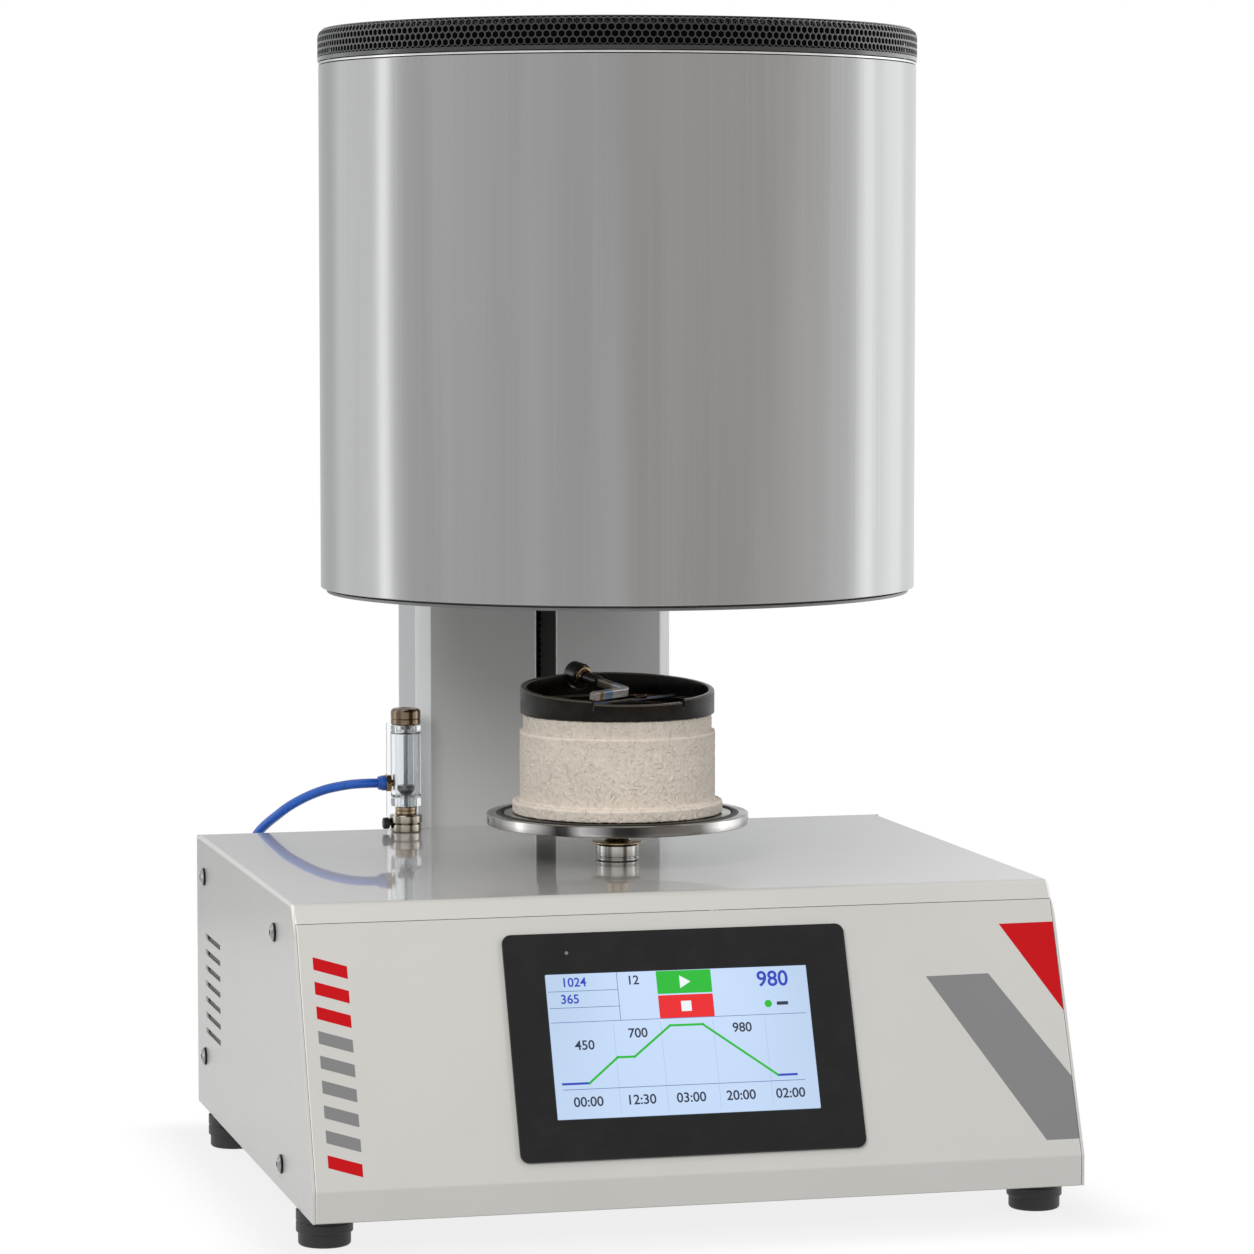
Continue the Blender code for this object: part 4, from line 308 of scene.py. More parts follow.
def sheet_paint(name, tone, gloss=0.30, coat=0.7, shine=0.5):
    """Baked paint on sheet metal: fine orange peel, a faint cloudiness, dust, a wiped glossy top, and a
    painted highlight, much paler, where the surface faces partly sideways: on folds, rounded edges and
    chamfers.
    """
    f = Finish(name)
    here = f.place()
    peel = f.noise(here, 520.0)
    clouds = f.noise(here, 9.0, 3.0, 0.6)
    dust = f.noise(here, 40.0)
    shade = f.mix(f.span(clouds, 0.30, 0.70), tint(tone, 0.985), tint(tone, 1.012))
    rough = gloss + (dust - 0.5) * 0.04
    sideways, _, upward = f.normal()
    # Painted highlight: folds, rounded edges and chamfers that face partly sideways are made much paler; the
    # same mask adds clear coat there.
    fold_highlight_and_coat = f.span(abs(sideways), 0.04, 0.20) * f.span(abs(sideways), 0.997, 0.97)
    shade = f.mix(fold_highlight_and_coat * 0.9, shade, tint(tone, 1.52))
    wiped = f.span(upward, 0.90, 0.99) * coat + fold_highlight_and_coat * 0.5
    return f.done(
        Base_Color=shade, Roughness=rough, Coat_Weight=wiped, Coat_Roughness=0.03, Specular_IOR_Level=shine,
        Normal=f.bump(peel, 0.00001, 0.12),
    )


def head_sheet(name, tone):
    """Bright rolled sheet: long fine marks up the cylinder, cloudy polish and a little wiping haze."""
    f = Finish(name)
    marks = f.noise(f.place(scale=(420.0, 420.0, 3.0)), 1.0, 3.0, 0.65)
    bands = f.noise(f.place(scale=(26.0, 26.0, 1.2)), 1.0, 2.0, 0.55)
    haze = f.noise(f.place(), 24.0, 4.0, 0.65)
    shade = f.mix(f.span(bands, 0.30, 0.70), tint(tone, 0.93), tint(tone, 1.06))
    shade = f.mix(f.span(marks, 0.45, 0.75) * 0.25, shade, tint(tone, 1.16))
    rough = 0.13 + (haze - 0.5) * 0.08 + (marks - 0.5) * 0.04
    return f.done(
        Base_Color=shade, Roughness=rough, Metallic=0.92, Coat_Weight=0.25, Coat_Roughness=0.06,
        Normal=f.bump(marks, 0.000012, 0.5, f.bump(haze, 0.0002, 0.06)),
    )


# Rings for each metre of a turned piece, and painted dark reflection bands round it
LATHE_RATE = 2600.0
STREAK_RATE = 1.9
DARK_REFLECTION = (0.070, 0.055, 0.045)


def turned_metal(name, tone, about, gloss=0.16, along="Z", streaks=0.0, worn=()):
    """Metal from a lathe: fine rings round an axis, a cloudy polish, and dark bands along it that are painted
    reflections.

    The painted reflections are a list of (bearing from the camera's in degrees, share of the tone) for the
    outer wall: lighter and darker bands painted by where the camera stands."""
    f = Finish(name)
    here = f.place(about)
    x, y, z = f.split(here)
    one, two, run = (y, z, x) if along == "X" else (x, y, z)
    reach = f.maths("SQRT", one * one + two * two)
    rings = f.node("ShaderNodeCombineXYZ", inputs={0: reach * LATHE_RATE, 1: run * LATHE_RATE, 2: 0.0})
    cuts = f.noise(rings, 1.0, 2.0, 0.7)
    haze = f.noise(here, 160.0, 3.0, 0.6)
    shade = f.mix(f.span(haze, 0.3, 0.7), tint(tone, 0.90), tint(tone, 1.08))
    # Painted reflections: dark bands that run along the axis, set by the angle round it.
    if streaks:
        about_it = f.node("ShaderNodeCombineXYZ", inputs={0: one / reach, 1: two / reach, 2: 0.0})
        bands = f.noise(about_it, STREAK_RATE, 2.0, 0.6)
        shade = f.mix(f.span(bands, 0.42, 0.60) * streaks, shade, DARK_REFLECTION)
    # Painted reflections and highlights on the outer wall: lighter or darker bands by bearing from the
    # camera.
    if worn:
        right, ahead, _ = f.split(f.place(about, (0, 0, -CAMERA_BEARING)))
        bearing = f.maths("ARCTAN2", ahead, right)
        stops = [(degrees / 360 + 0.5, tint(tone, share)) for degrees, share in worn]
        wall = f.span(abs(f.normal()[2]), 0.6, 0.2)
        shade = f.mix(wall, shade, f.ramp(bearing * (0.5 / math.pi) + 0.5 + (haze - 0.5) * 0.004, stops))
    rough = gloss + (haze - 0.5) * 0.10 + (cuts - 0.5) * 0.08
    return f.done(
        Base_Color=shade, Roughness=rough, Metallic=1.0, Normal=f.bump(cuts, 0.00001, 0.5)
    )


def plain_metal(name, tone, gloss=0.30, grain=(900.0, 900.0, 30.0)):
    """Drawn or rolled metal with a short grain."""
    f = Finish(name)
    here = f.place(scale=grain)
    marks = f.noise(here, 1.0, 3.0, 0.6)
    haze = f.noise(f.place(), 90.0, 3.0, 0.6)
    shade = f.mix(f.span(haze, 0.3, 0.7), tint(tone, 0.90), tint(tone, 1.06))
    return f.done(
        Base_Color=shade, Roughness=gloss + (haze - 0.5) * 0.14, Metallic=1.0,
        Normal=f.bump(marks, 0.00002, 0.4),
    )


def moulded(name, tone, gloss=0.42, grain=1500.0, depth=0.00004, coat=0.0, shine=0.5):
    """Moulded plastic or rubber with a fine grain and slightly polished patches."""
    f = Finish(name)
    here = f.place()
    skin = f.noise(here, grain, 2.0, 0.6)
    wear = f.noise(here, 60.0, 4.0, 0.65)
    shade = f.mix(f.span(wear, 0.35, 0.75), tone, tint(tone, 1.35))
    return f.done(
        Base_Color=shade, Roughness=gloss + (wear - 0.5) * 0.16, Coat_Weight=coat, Coat_Roughness=0.08,
        Specular_IOR_Level=shine,
        Normal=f.bump(skin, depth, 0.4),
    )


def screw_metal(name):
    """Bright plated screw heads, with painted shade that darkens their rounded rims and their sockets."""
    f = Finish(name)
    haze = f.noise(f.place(), 400.0, 3.0, 0.6)
    shade_by_facing = abs(f.normal()[0])
    # Painted shade: near black where the surface turns away from the screw's axis, on the rims and in the
    # socket, and bright where it faces straight out.
    stops = [
        (0.15, (0.015, 0.015, 0.016)), (0.62, (0.07, 0.07, 0.075)), (0.86, (0.34, 0.345, 0.35)),
        (0.97, (0.62, 0.63, 0.64)),
    ]
    return f.done(
        Base_Color=f.ramp(shade_by_facing, stops), Metallic=1.0, Roughness=0.16 + (haze - 0.5) * 0.10,
        Normal=f.bump(haze, 0.00002, 0.4),
    )


def black_enamel(name, tone, gloss):
    """Black enamel on a fine perforated sheet, with a few rubbed edges."""
    f = Finish(name)
    here = f.place()
    rub = f.noise(here, 220.0, 3.0, 0.6)
    shade = f.mix(f.span(rub, 0.55, 0.80), tone, tint(tone, 4.0))
    return f.done(
        Base_Color=shade, Roughness=gloss + (rub - 0.5) * 0.2, Specular_IOR_Level=0.6,
        Coat_Weight=0.6, Coat_Roughness=0.06, Normal=f.bump(rub, 0.00002, 0.3),
    )


STROKE_TURNS = 46.0
SHOULDER_HIGHLIGHT_BAND = 0.0019
PIT_RATE = 240.0


def fibre_ceramic(name, tone, specks=1.0, shoulders=()):
    """Pressed fibre ceramic: short curled strokes in relief with a painted shadow and highlight along each, a
    few dark pits, and a painted highlight along the shoulders.

    The strokes are the lines on which a smooth field has equal values, broken up by a finer field."""
    f = Finish(name)
    here = f.place(tuple(AXIS))
    mottle = f.noise(here, 42.0, 4.0, 0.6)
    grain = f.noise(here, 900.0)
    field = f.noise(here, 120.0, 1.0, 0.5, 0.6)
    wave = f.maths("SINE", field * STROKE_TURNS)
    patch = f.span(f.noise(here, 380.0, 1.0, 0.5), 0.42, 0.62)
    dots = f.node("ShaderNodeTexVoronoi", {"feature": "F1"}, {"Vector": here, "Scale": PIT_RATE})
    pits = f.span(dots, 0.11, 0.05) * f.span(f.noise(here, 75.0), 0.58, 0.64) * specks
    shade = f.mix(f.span(mottle, 0.25, 0.75), tint(tone, 0.95), tint(tone, 1.04))
    shade = f.mix(f.span(grain, 0.35, 0.65) * 0.5, shade, tint(tone, 0.94))
    # Painted shade and highlight of the strokes: darker in their troughs, paler on their crests.
    shade = f.mix(f.span(wave, -0.30, -0.95) * patch * 0.42, shade, tint(tone, 0.72))
    shade = f.mix(f.span(wave, 0.20, 0.90) * patch * 0.50, shade, tint(tone, 1.22))
    level = f.split(f.place())[2]
    # Painted highlight: a pale band round each shoulder, where its rounded edge faces the light.
    for height in shoulders:
        rub = f.span(abs(level - height + (mottle - 0.5) * 0.0014), SHOULDER_HIGHLIGHT_BAND, 0.0002)
        shade = f.mix(rub * 0.85, shade, tint(tone, 1.27))
    shade = f.mix(pits * 0.8, shade, (0.16, 0.12, 0.09))
    return f.done(
        Base_Color=shade, Roughness=0.82 - grain * 0.10, Specular_IOR_Level=0.3,
        Normal=f.bump(wave * patch * 0.5 + grain * 0.2 - pits, 0.00050, 0.9),
    )


def tray_glaze(name):
    """Dark fired glaze: brown-black, glossier where it faces up, with painted light that makes it paler where
    it faces up, a painted highlight on the rim's rounded edge, and scale and small chips.
    """
    f = Finish(name)
    here = f.place(tuple(middle("tray_ring")))
    cloud = f.noise(here, 70.0, 4.0, 0.65)
    grit = f.noise(here, 900.0, 3.0, 0.6)
    upward = f.normal()[2]
    facing_up_light_and_coat = f.span(upward, 0.25, 0.90)
    rim = f.span(upward, 0.12, 0.40) * f.span(upward, 0.97, 0.80)
    shade = f.mix(f.span(cloud, 0.35, 0.70), (0.0045, 0.0036, 0.0030), (0.016, 0.011, 0.008))
    # Painted light: paler where it faces up, and a painted highlight on the rounded rim.
    shade = f.mix(facing_up_light_and_coat * 0.9, shade, (0.085, 0.068, 0.054))
    shade = f.mix(rim * 0.8, shade, (0.20, 0.165, 0.13))
    shade = f.mix(f.span(grit, 0.66, 0.78) * 0.4, shade, (0.080, 0.057, 0.040))
    return f.done(
        Base_Color=shade, Roughness=0.30 + (cloud - 0.5) * 0.40, Specular_IOR_Level=0.14,
        Coat_Weight=facing_up_light_and_coat * 0.5, Coat_Roughness=0.12, Normal=f.bump(grit, 0.00006, 0.5),
    )


def heat_blued(name, half_length, turn):
    """Steel strip with its two ends blued by heat."""
    f = Finish(name)
    here = f.place(tuple(middle("tray_strip")), (0, 0, -turn))
    along = f.split(here)[0]
    haze = f.noise(here, 240.0, 3.0, 0.6)
    share = along * (0.5 / half_length) + 0.5 + (haze - 0.5) * 0.05
    stops = [
        (0.04, (0.04, 0.27, 0.72)), (0.26, (0.05, 0.22, 0.60)), (0.34, (0.26, 0.29, 0.36)),
        (0.42, (0.18, 0.16, 0.14)), (0.58, (0.18, 0.16, 0.14)), (0.64, (0.44, 0.52, 0.64)),
        (0.90, (0.58, 0.66, 0.78)),
    ]
    return f.done(
        Base_Color=f.ramp(share, stops), Metallic=0.55, Roughness=0.30 + (haze - 0.5) * 0.16,
        Normal=f.bump(haze, 0.00002, 0.5),
    )


def bar_metal(name):
    """The hook's bar by its length: a bronze root, bright worn steel, and a bronze tip."""
    f = Finish(name)
    along = f.node("ShaderNodeAttribute", {"attribute_name": "along"}, out="Fac")
    haze = f.noise(f.place(), 300.0, 4.0, 0.65)
    stops = [
        (0.00, (0.20, 0.17, 0.13)), (0.16, (0.24, 0.20, 0.15)), (0.20, (0.48, 0.51, 0.54)),
        (0.46, (0.90, 0.91, 0.92)), (0.84, (0.97, 0.96, 0.93)), (0.855, (0.38, 0.58, 0.86)),
        (0.91, (0.38, 0.58, 0.86)), (0.92, (0.80, 0.72, 0.60)), (0.93, (0.56, 0.34, 0.18)),
        (0.95, (0.34, 0.20, 0.10)), (0.96, (0.90, 0.83, 0.72)),
    ]
    shade = f.mix(f.span(haze, 0.55, 0.85) * 0.12, f.ramp(along, stops), (0.40, 0.40, 0.41))
    return f.done(
        Base_Color=shade, Metallic=0.5, Roughness=0.30 + (haze - 0.5) * 0.2, Normal=f.bump(haze, 0.00002, 0.4)
    )


def clear_glass(name):
    """Clear drawn glass, with drawing lines along its length and a few smears."""
    f = Finish(name)
    drawn = f.noise(f.place(scale=(900.0, 900.0, 12.0)), 1.0)
    smear = f.noise(f.place(), 120.0, 3.0, 0.6)
    return f.done(
        Base_Color=(0.87, 0.895, 0.91), Transmission_Weight=1.0, IOR=1.45, Roughness=0.01 + smear * 0.03,
        Normal=f.bump(drawn, 0.00001, 0.3),
    )


def lit_glass(name, tone, strength=0.92):
    """A lit area of the display: it glows evenly, under glass with a little dust."""
    f = Finish(name)
    here = f.place()
    shade = f.mix(f.span(f.noise(here, 11.0, 1.0), 0.2, 0.8), tint(tone, 0.965), tint(tone, 1.03))
    return f.done(
        Base_Color=(0.02, 0.02, 0.025), Emission_Color=shade, Emission_Strength=strength,
        Roughness=0.16 + (f.noise(here, 90.0, 3.0) - 0.5) * 0.06, Specular_IOR_Level=0.3,
    )


def clear_plastic(name):
    """Clear acrylic, slightly grey, with fine scratches."""
    f = Finish(name)
    scratch = f.noise(f.place(scale=(400.0, 400.0, 90.0)), 1.0, 3.0, 0.6)
    shade = f.mix(scratch, (0.90, 0.92, 0.93), (0.96, 0.97, 0.98))
    return f.done(
        Base_Color=shade, Transmission_Weight=1.0, IOR=1.12, Roughness=0.04 + scratch * 0.06,
        Normal=f.bump(scratch, 0.00001, 0.2),
    )


def hose_plastic(name, tone):
    """Blue polyurethane tube: smooth, a little translucent, with faint rub marks."""
    f = Finish(name)
    here = f.place()
    rub = f.noise(here, 300.0, 3.0, 0.6)
    shade = f.mix(f.span(rub, 0.3, 0.75), tint(tone, 0.88), tint(tone, 1.15))
    return f.done(
        Base_Color=shade, Roughness=0.24 + (rub - 0.5) * 0.14, Coat_Weight=0.4, Coat_Roughness=0.1,
        Normal=f.bump(rub, 0.00002, 0.3),
    )


def board_green(name):
    """A circuit board: green mask with paler tracks."""
    f = Finish(name)
    inputs = {"Vector": f.place(scale=(420.0, 420.0, 1.0)), "Scale": 1.0, "Mortar Size": 0.06}
    brick = f.node("ShaderNodeTexBrick", inputs=inputs, out="Fac")
    shade = f.mix(brick, (0.010, 0.105, 0.040), (0.060, 0.260, 0.110))
    return f.done(Base_Color=shade, Roughness=0.35 + brick * 0.1, Normal=f.bump(brick, 0.00005, 0.4))


FINISHES = {}


def finish_of(name, maker, *values, **more):
    """A finish, made the first time that it is asked for."""
    if name not in FINISHES:
        FINISHES[name] = maker(name, *values, **more)
    return FINISHES[name]


def painted():
    """The base's paint."""
    return finish_of("housing_paint", sheet_paint, tuple(look().paint), 0.26, 0.85, 0.34)


def column_painted():
    """The column's paint."""
    return finish_of("column_paint", sheet_paint, tuple(look().column), 0.34, 0.35)


def bronze():
    """Bronze turned on the flowmeter's own axis."""
    axis = tuple(middle("flowmeter_base"))
    # With painted dark reflection bands along the axis.
    return finish_of("meter_bronze", turned_metal, tuple(look().bronze), axis, streaks=0.75)


def black_moulded():
    """Black moulded plastic."""
    return finish_of("black_moulding", moulded, (0.0130, 0.0130, 0.0135))


# Surfaces

def grid_faces(rows, columns, close_rows=False):
    """Quads between neighbouring points of a grid of closed rows, which follow one another in a list."""
    row_steps = np.arange(rows if close_rows else rows - 1)
    row, column = np.meshgrid(row_steps, np.arange(columns), indexing="ij")
    here = row * columns
    above = (row + 1) % rows * columns
    beside = (column + 1) % columns
    return np.stack((here + column, here + beside, above + beside, above + column), -1).reshape(-1, 4)


def linked(name, data):
    """An object with this data, put in the scene."""
    made = bpy.data.objects.new(name, data)
    bpy.context.scene.collection.objects.link(made)
    return made


def surface(name, points, faces, smooth=38.0, turn_out=True):
    """A mesh object from points and faces, with doubles merged, faces outward and its sharp edges marked."""
    mesh = bpy.data.meshes.new(name)
    mesh.from_pydata(np.asarray(points).tolist(), [], np.asarray(faces).tolist())
    return tidied(name, mesh, smooth, turn_out)


def tidied(name, mesh, smooth=38.0, turn_out=True, merge=MERGE):
    """Merges a mesh's doubles, turns its faces outward and marks its sharp edges."""
    work = bmesh.new()
    work.from_mesh(mesh)
    bmesh.ops.remove_doubles(work, verts=work.verts, dist=merge)
    if turn_out:
        bmesh.ops.recalc_face_normals(work, faces=work.faces)
    work.to_mesh(mesh)
    work.free()
    mesh.shade_smooth()
    mesh.set_sharp_from_angle(angle=math.radians(smooth))
    return linked(name, mesh)


def moved(points, place):
    """Points carried by a matrix."""
    turn = np.array(place.to_3x3())
    return np.asarray(points) @ turn.T + np.array(place.translation)


def round_angles(count):
    """Evenly spaced angles, once round."""
    return np.linspace(0, 2 * math.pi, count, endpoint=False)


def cylindrical(radius, angle, height):
    """Points from radii, angles and heights, each a grid or one value."""
    return np.stack(np.broadcast_arrays(radius * np.cos(angle), radius * np.sin(angle), height), -1)


def filleted(corners, steps=ARC_STEPS, closed=False):
    """A line through (across, up, rounding) corners, with an arc in place of each rounded one."""
    line = []
    count = len(corners)
    for n, corner in enumerate(corners):
        here = np.array(corner[:2], float)
        radius = corner[2] if len(corner) > 2 else 0
        if not radius or (not closed and n in (0, count - 1)):
            line.append(here)
            continue
        back = np.array(corners[n - 1][:2]) - here
        on = np.array(corners[(n + 1) % count][:2]) - here
        back_length = np.linalg.norm(back)
        on_length = np.linalg.norm(on)
        back = back / back_length
        on = on / on_length
        half = math.acos(max(-1.0, min(1.0, float(back @ on)))) / 2
        reach = min(radius / math.tan(half), back_length * 0.49, on_length * 0.49)
        inward = (back + on) / np.linalg.norm(back + on)
        centre = here + inward * reach / math.cos(half)
        start = here + back * reach - centre
        stop = here + on * reach - centre
        sweep = math.atan2(start[0] * stop[1] - start[1] * stop[0], float(start @ stop))
        turns = sweep * np.linspace(0, 1, steps + 1)
        line.extend(
            centre + np.stack([
                start[0] * np.cos(turns) - start[1] * np.sin(turns),
                start[0] * np.sin(turns) + start[1] * np.cos(turns),
            ], -1)
        )
    return np.array(line)


def turned(name, corners, place, sides=ROUND, ring=False, flats=None, steps=ARC_STEPS):
    """A profile of (radius, height, rounding) corners carried round Z. It ends on the axis or is a ring.

    With flats, which is (half the width across them, the radius up to which they cut), the radius is no
    more than a hexagon's at that angle."""
    line = filleted(corners, steps, ring)
    angles = round_angles(sides)
    radius = np.repeat(line[:, :1], sides, 1)
    if flats:
        half, reach = flats
        sector = math.pi / 3
        hexagon = half / np.cos((angles + sector / 2) % sector - sector / 2)
        radius = np.where(radius <= reach, np.minimum(radius, hexagon[None, :]), radius)
    points = cylindrical(radius, angles, line[:, 1:2]).reshape(-1, 3)
    faces = grid_faces(len(line), sides, close_rows=ring)
    return surface(name, moved(points, place), faces)


def ring_outline(across, up, rounding, steps=ARC_STEPS):
    """A rectangle of half sizes (across, up) with round corners, about its own middle."""
    ways = ((-1, -1), (1, -1), (1, 1), (-1, 1))
    return filleted([(across * x, up * y, rounding) for x, y in ways], steps, closed=True)


def plate(name, outlines, place):
    """A solid between flat outlines of as many points, each with its height: (outline, height) pairs."""
    count = len(outlines[0][0])
    points = np.concatenate([np.column_stack([line, np.full(count, height)]) for line, height in outlines])
    sides = grid_faces(len(outlines), count).tolist()
    first = list(range(count))
    last = [n + (len(outlines) - 1) * count for n in first]
    mesh = bpy.data.meshes.new(name)
    mesh.from_pydata(moved(points, place).tolist(), [], [*sides, first[::-1], last])
    return tidied(name, mesh)


def slab(name, half, rounding, tall, place, edge):
    """A rectangular piece with round corners and a rounded upper edge."""
    rings = [(ring_outline(*half, rounding), 0.0), (ring_outline(*half, rounding), tall - edge)]
    for turn in np.linspace(0, math.pi / 2, 4)[1:]:
        inset = edge * (1 - math.cos(turn))
        outline = ring_outline(half[0] - inset, half[1] - inset, rounding - inset)
        rings.append((outline, tall - edge * (1 - math.sin(turn))))
    return plate(name, rings, place)


def film(name, outline, proud, place):
    """A thin printed or laid-on film: a flat outline with a little thickness."""
    outline = np.asarray(outline)
    return plate(name, [(outline, 0.0), (outline, proud)], place)


def frames_along(path):
    """A side and a rise direction at each point of a path, carried along it without twisting."""
    path = np.asarray(path)
    ahead = np.gradient(path, axis=0)
    ahead /= np.linalg.norm(ahead, axis=1, keepdims=True)
    side = np.cross(ahead[0], (0.0, 0.0, 1.0) if abs(ahead[0][2]) < 0.9 else (1.0, 0.0, 0.0))
    sides = []
    for way in ahead:
        side = side - way * (side @ way)
        side = side / np.linalg.norm(side)
        sides.append(side)
    sides = np.array(sides)
    return sides, np.cross(sides, ahead)


def swept(name, path, section, swell, sides_and_rises=None):
    """A closed section of (side, rise) offsets carried along a path, swollen by a share at each point."""
    path = np.asarray(path)
    sides, rises = sides_and_rises or frames_along(path)
    swell = np.concatenate([[0.0], swell, [0.0]])
    path = np.concatenate([path[:1], path, path[-1:]])
    sides = np.concatenate([sides[:1], sides, sides[-1:]])
    rises = np.concatenate([rises[:1], rises, rises[-1:]])
    section = np.asarray(section)
    offset = sides[:, None] * section[None, :, :1] + rises[:, None] * section[None, :, 1:]
    points = path[:, None] + offset * swell[:, None, None]
    return surface(name, points.reshape(-1, 3), grid_faces(len(path), len(section)))


def circle(radius, sides=12):
    """A round section."""
    return cylindrical(radius, round_angles(sides), 0)[:, :2]


def bar(name, first, last, radius):
    """A round bar between two points, with slightly rounded ends."""
    way = (last - first) / np.linalg.norm(last - first)
    ease = radius * 0.25
    path = [first, first + way * ease, last - way * ease, last]
    return swept(name, path, circle(radius), [0.8, 1.0, 1.0, 0.8])


def joined(name, *pieces):
    """Several mesh objects made into one."""
    points = []
    faces = []
    for piece in pieces:
        start = len(points)
        mesh = piece.data
        points.extend(tuple(v.co) for v in mesh.vertices)
        faces.extend([n + start for n in polygon.vertices] for polygon in mesh.polygons)
        bpy.data.objects.remove(piece)
    mesh = bpy.data.meshes.new(name)
    mesh.from_pydata(points, [], faces)
    return tidied(name, mesh, turn_out=False, merge=0)


def dressed(name, node, edge=0.0):
    """A copy of a solid with its triangles joined into flat faces, and its sharp edges rounded if asked."""
    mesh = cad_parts[node].data.copy()
    mesh.materials.clear()
    work = bmesh.new()
    work.from_mesh(mesh)
    bmesh.ops.remove_doubles(work, verts=work.verts, dist=MERGE)
    bmesh.ops.dissolve_limit(work, angle_limit=FLAT_ANGLE, verts=work.verts, edges=work.edges)
    work.to_mesh(mesh)
    work.free()
    mesh.shade_smooth()
    mesh.set_sharp_from_angle(angle=CREASE_ANGLE)
    made = linked(name, mesh)
    if edge:
        bevel = made.modifiers.new("edges", "BEVEL")
        bevel.width = edge
        bevel.segments = 2
        bevel.limit_method = "ANGLE"
        bevel.angle_limit = CREASE_ANGLE
        flat_faces = made.modifiers.new("flat_faces", "WEIGHTED_NORMAL")
        flat_faces.weight = 100
        flat_faces.keep_sharp = True
    return made


def give(made, finish, body, slot, *nodes):
    """Hands a piece over: its finish, the body that it rides and the solids it stands for; its slot is not
    used.
    """
    made.data.materials.clear()
    made.data.materials.append(finish)
    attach(made, body)
    if nodes:
        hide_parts(*nodes)
    return made


def look():
    """The furnace's colours."""
    return bpy.context.scene.furnace_colours


def sizes():
    """The furnace's surface details."""
    return bpy.context.scene.furnace_sizes


def on_axis(node):
    """The lowest place on a solid's upright middle line."""
    return Matrix.Translation((middle(node).x, middle(node).y, low(node).z))


def on_centre(height):
    """A place at this height on the axis that the head and the table share."""
    return Matrix.Translation((AXIS.x, AXIS.y, height))


# Louvre vanes: places from the cover's back and from its foot
VANE_LENGTH = 0.0546
VANE_MIDDLE_BACK = 0.0590
VANE_FIRST = 0.1092
VANE_PITCH = 0.0098
VANE_COUNT = 7
VANE_RISE = 0.0042
VANE_DEPTH = 0.0030
VANE_THICK = 0.0004
VANE_ROUND = 0.0003
SHEET_THICK = 0.0016


def make_vanes():
    """Behind each louvre slot, a vane that leans inward and up from the slot's lower edge; its dark grey is
    painted shade for the inside of the slot.
    """
    reach = math.hypot(VANE_RISE, VANE_DEPTH)
    outline = ring_outline(VANE_LENGTH / 2, reach / 2, VANE_ROUND)
    back = high("top_cover").y - VANE_MIDDLE_BACK
    # Painted shade: the vanes are dark grey bare metal, darker than the paint, standing for the shade inside
    # the slots.
    grey = finish_of("vane_sheet", plain_metal, (0.20, 0.203, 0.208), 0.50)
    along = Vector((0, 1, 0))
    for side, way in (("left", -1), ("right", 1)):
        across = way * (RIGHT - SHEET_THICK - VANE_DEPTH / 2)
        lean = Vector((-way * VANE_DEPTH, 0, VANE_RISE)).normalized()
        turn = Matrix((along, lean, along.cross(lean))).transposed().to_4x4()
        vanes = []
        for n in range(VANE_COUNT):
            at = Matrix.Translation((across, back, FOOT_Z + VANE_FIRST - n * VANE_PITCH)) @ turn
            vanes.append(film(f"vane_{n}", outline, VANE_THICK, at))
        give(joined(f"louvre_vanes_{side}", *vanes), grey, "base", "sheet_steel")


def make_sheets():
    """The painted sheets of the base, and the steel chassis inside them."""
    edge = sizes().edge
    for node in ("top_cover", "front_panel", "rear_panel"):
        give(dressed(node + "_skin", node, edge), painted(), "base", "white_paint", node)
    make_vanes()
    bare = finish_of("chassis_sheet", plain_metal, (0.42, 0.42, 0.41), 0.36)
    give(dressed("chassis_skin", "base_tray", edge), bare, "base", "sheet_steel", "base_tray")


def down_slope(points):
    """Points of the sloping face from (across, distance down the slope)."""
    return [(across, -down) for across, down in points]


# Films on the sloping face: corners as (across, distance down the slope)
FILM_RIGHT = RIGHT - 0.0020
RED_CORNERS = ((0.1889, 0.0142), (FILM_RIGHT, 0.0140), (FILM_RIGHT, 0.0665))
GREY_CORNERS = (
    (0.1413, 0.0436), (0.1789, 0.0432), (FILM_RIGHT, 0.1053), (FILM_RIGHT, 0.1419), (0.2022, 0.1419),
)
BAR_LEFT = -0.2140
BAR_WIDTH = 0.0190
BAR_TALL = 0.0072
BAR_SLANT = 0.0060
BAR_TOP = 0.0190
BAR_PITCH = 0.0140
BAR_TONES = ("red", "red", "red", "grey", "grey", "grey", "grey", "grey", "red")


def printed(name, tone):
    """A printed film: its own colour, duller than the paint, with a fine grain."""
    return finish_of(name, sheet_paint, tuple(tone), 0.40, 0.0, 0.22)


def make_films():
    """The red corner, the slanted grey band, and a row of plain slanted bars at the left of the display."""
    proud = sizes().decal
    red = film("red_corner", down_slope(RED_CORNERS), proud, PANEL)
    give(red, printed("red_film", look().red), "base", "white_paint")
    band = film("grey_band", down_slope(GREY_CORNERS), proud, PANEL)
    give(band, printed("grey_film", look().grey), "base", "white_paint")
    for n, tone in enumerate(BAR_TONES):
        top = BAR_TOP + n * BAR_PITCH
        right = BAR_LEFT + BAR_WIDTH
        corners = (
            (BAR_LEFT, top), (right, top + BAR_SLANT), (right, top + BAR_SLANT + BAR_TALL),
            (BAR_LEFT, top + BAR_TALL),
        )
        made = film(f"bar_{n}", down_slope(corners), proud, PANEL)
        give(made, printed(tone + "_film", getattr(look(), tone)), "base", "white_paint")


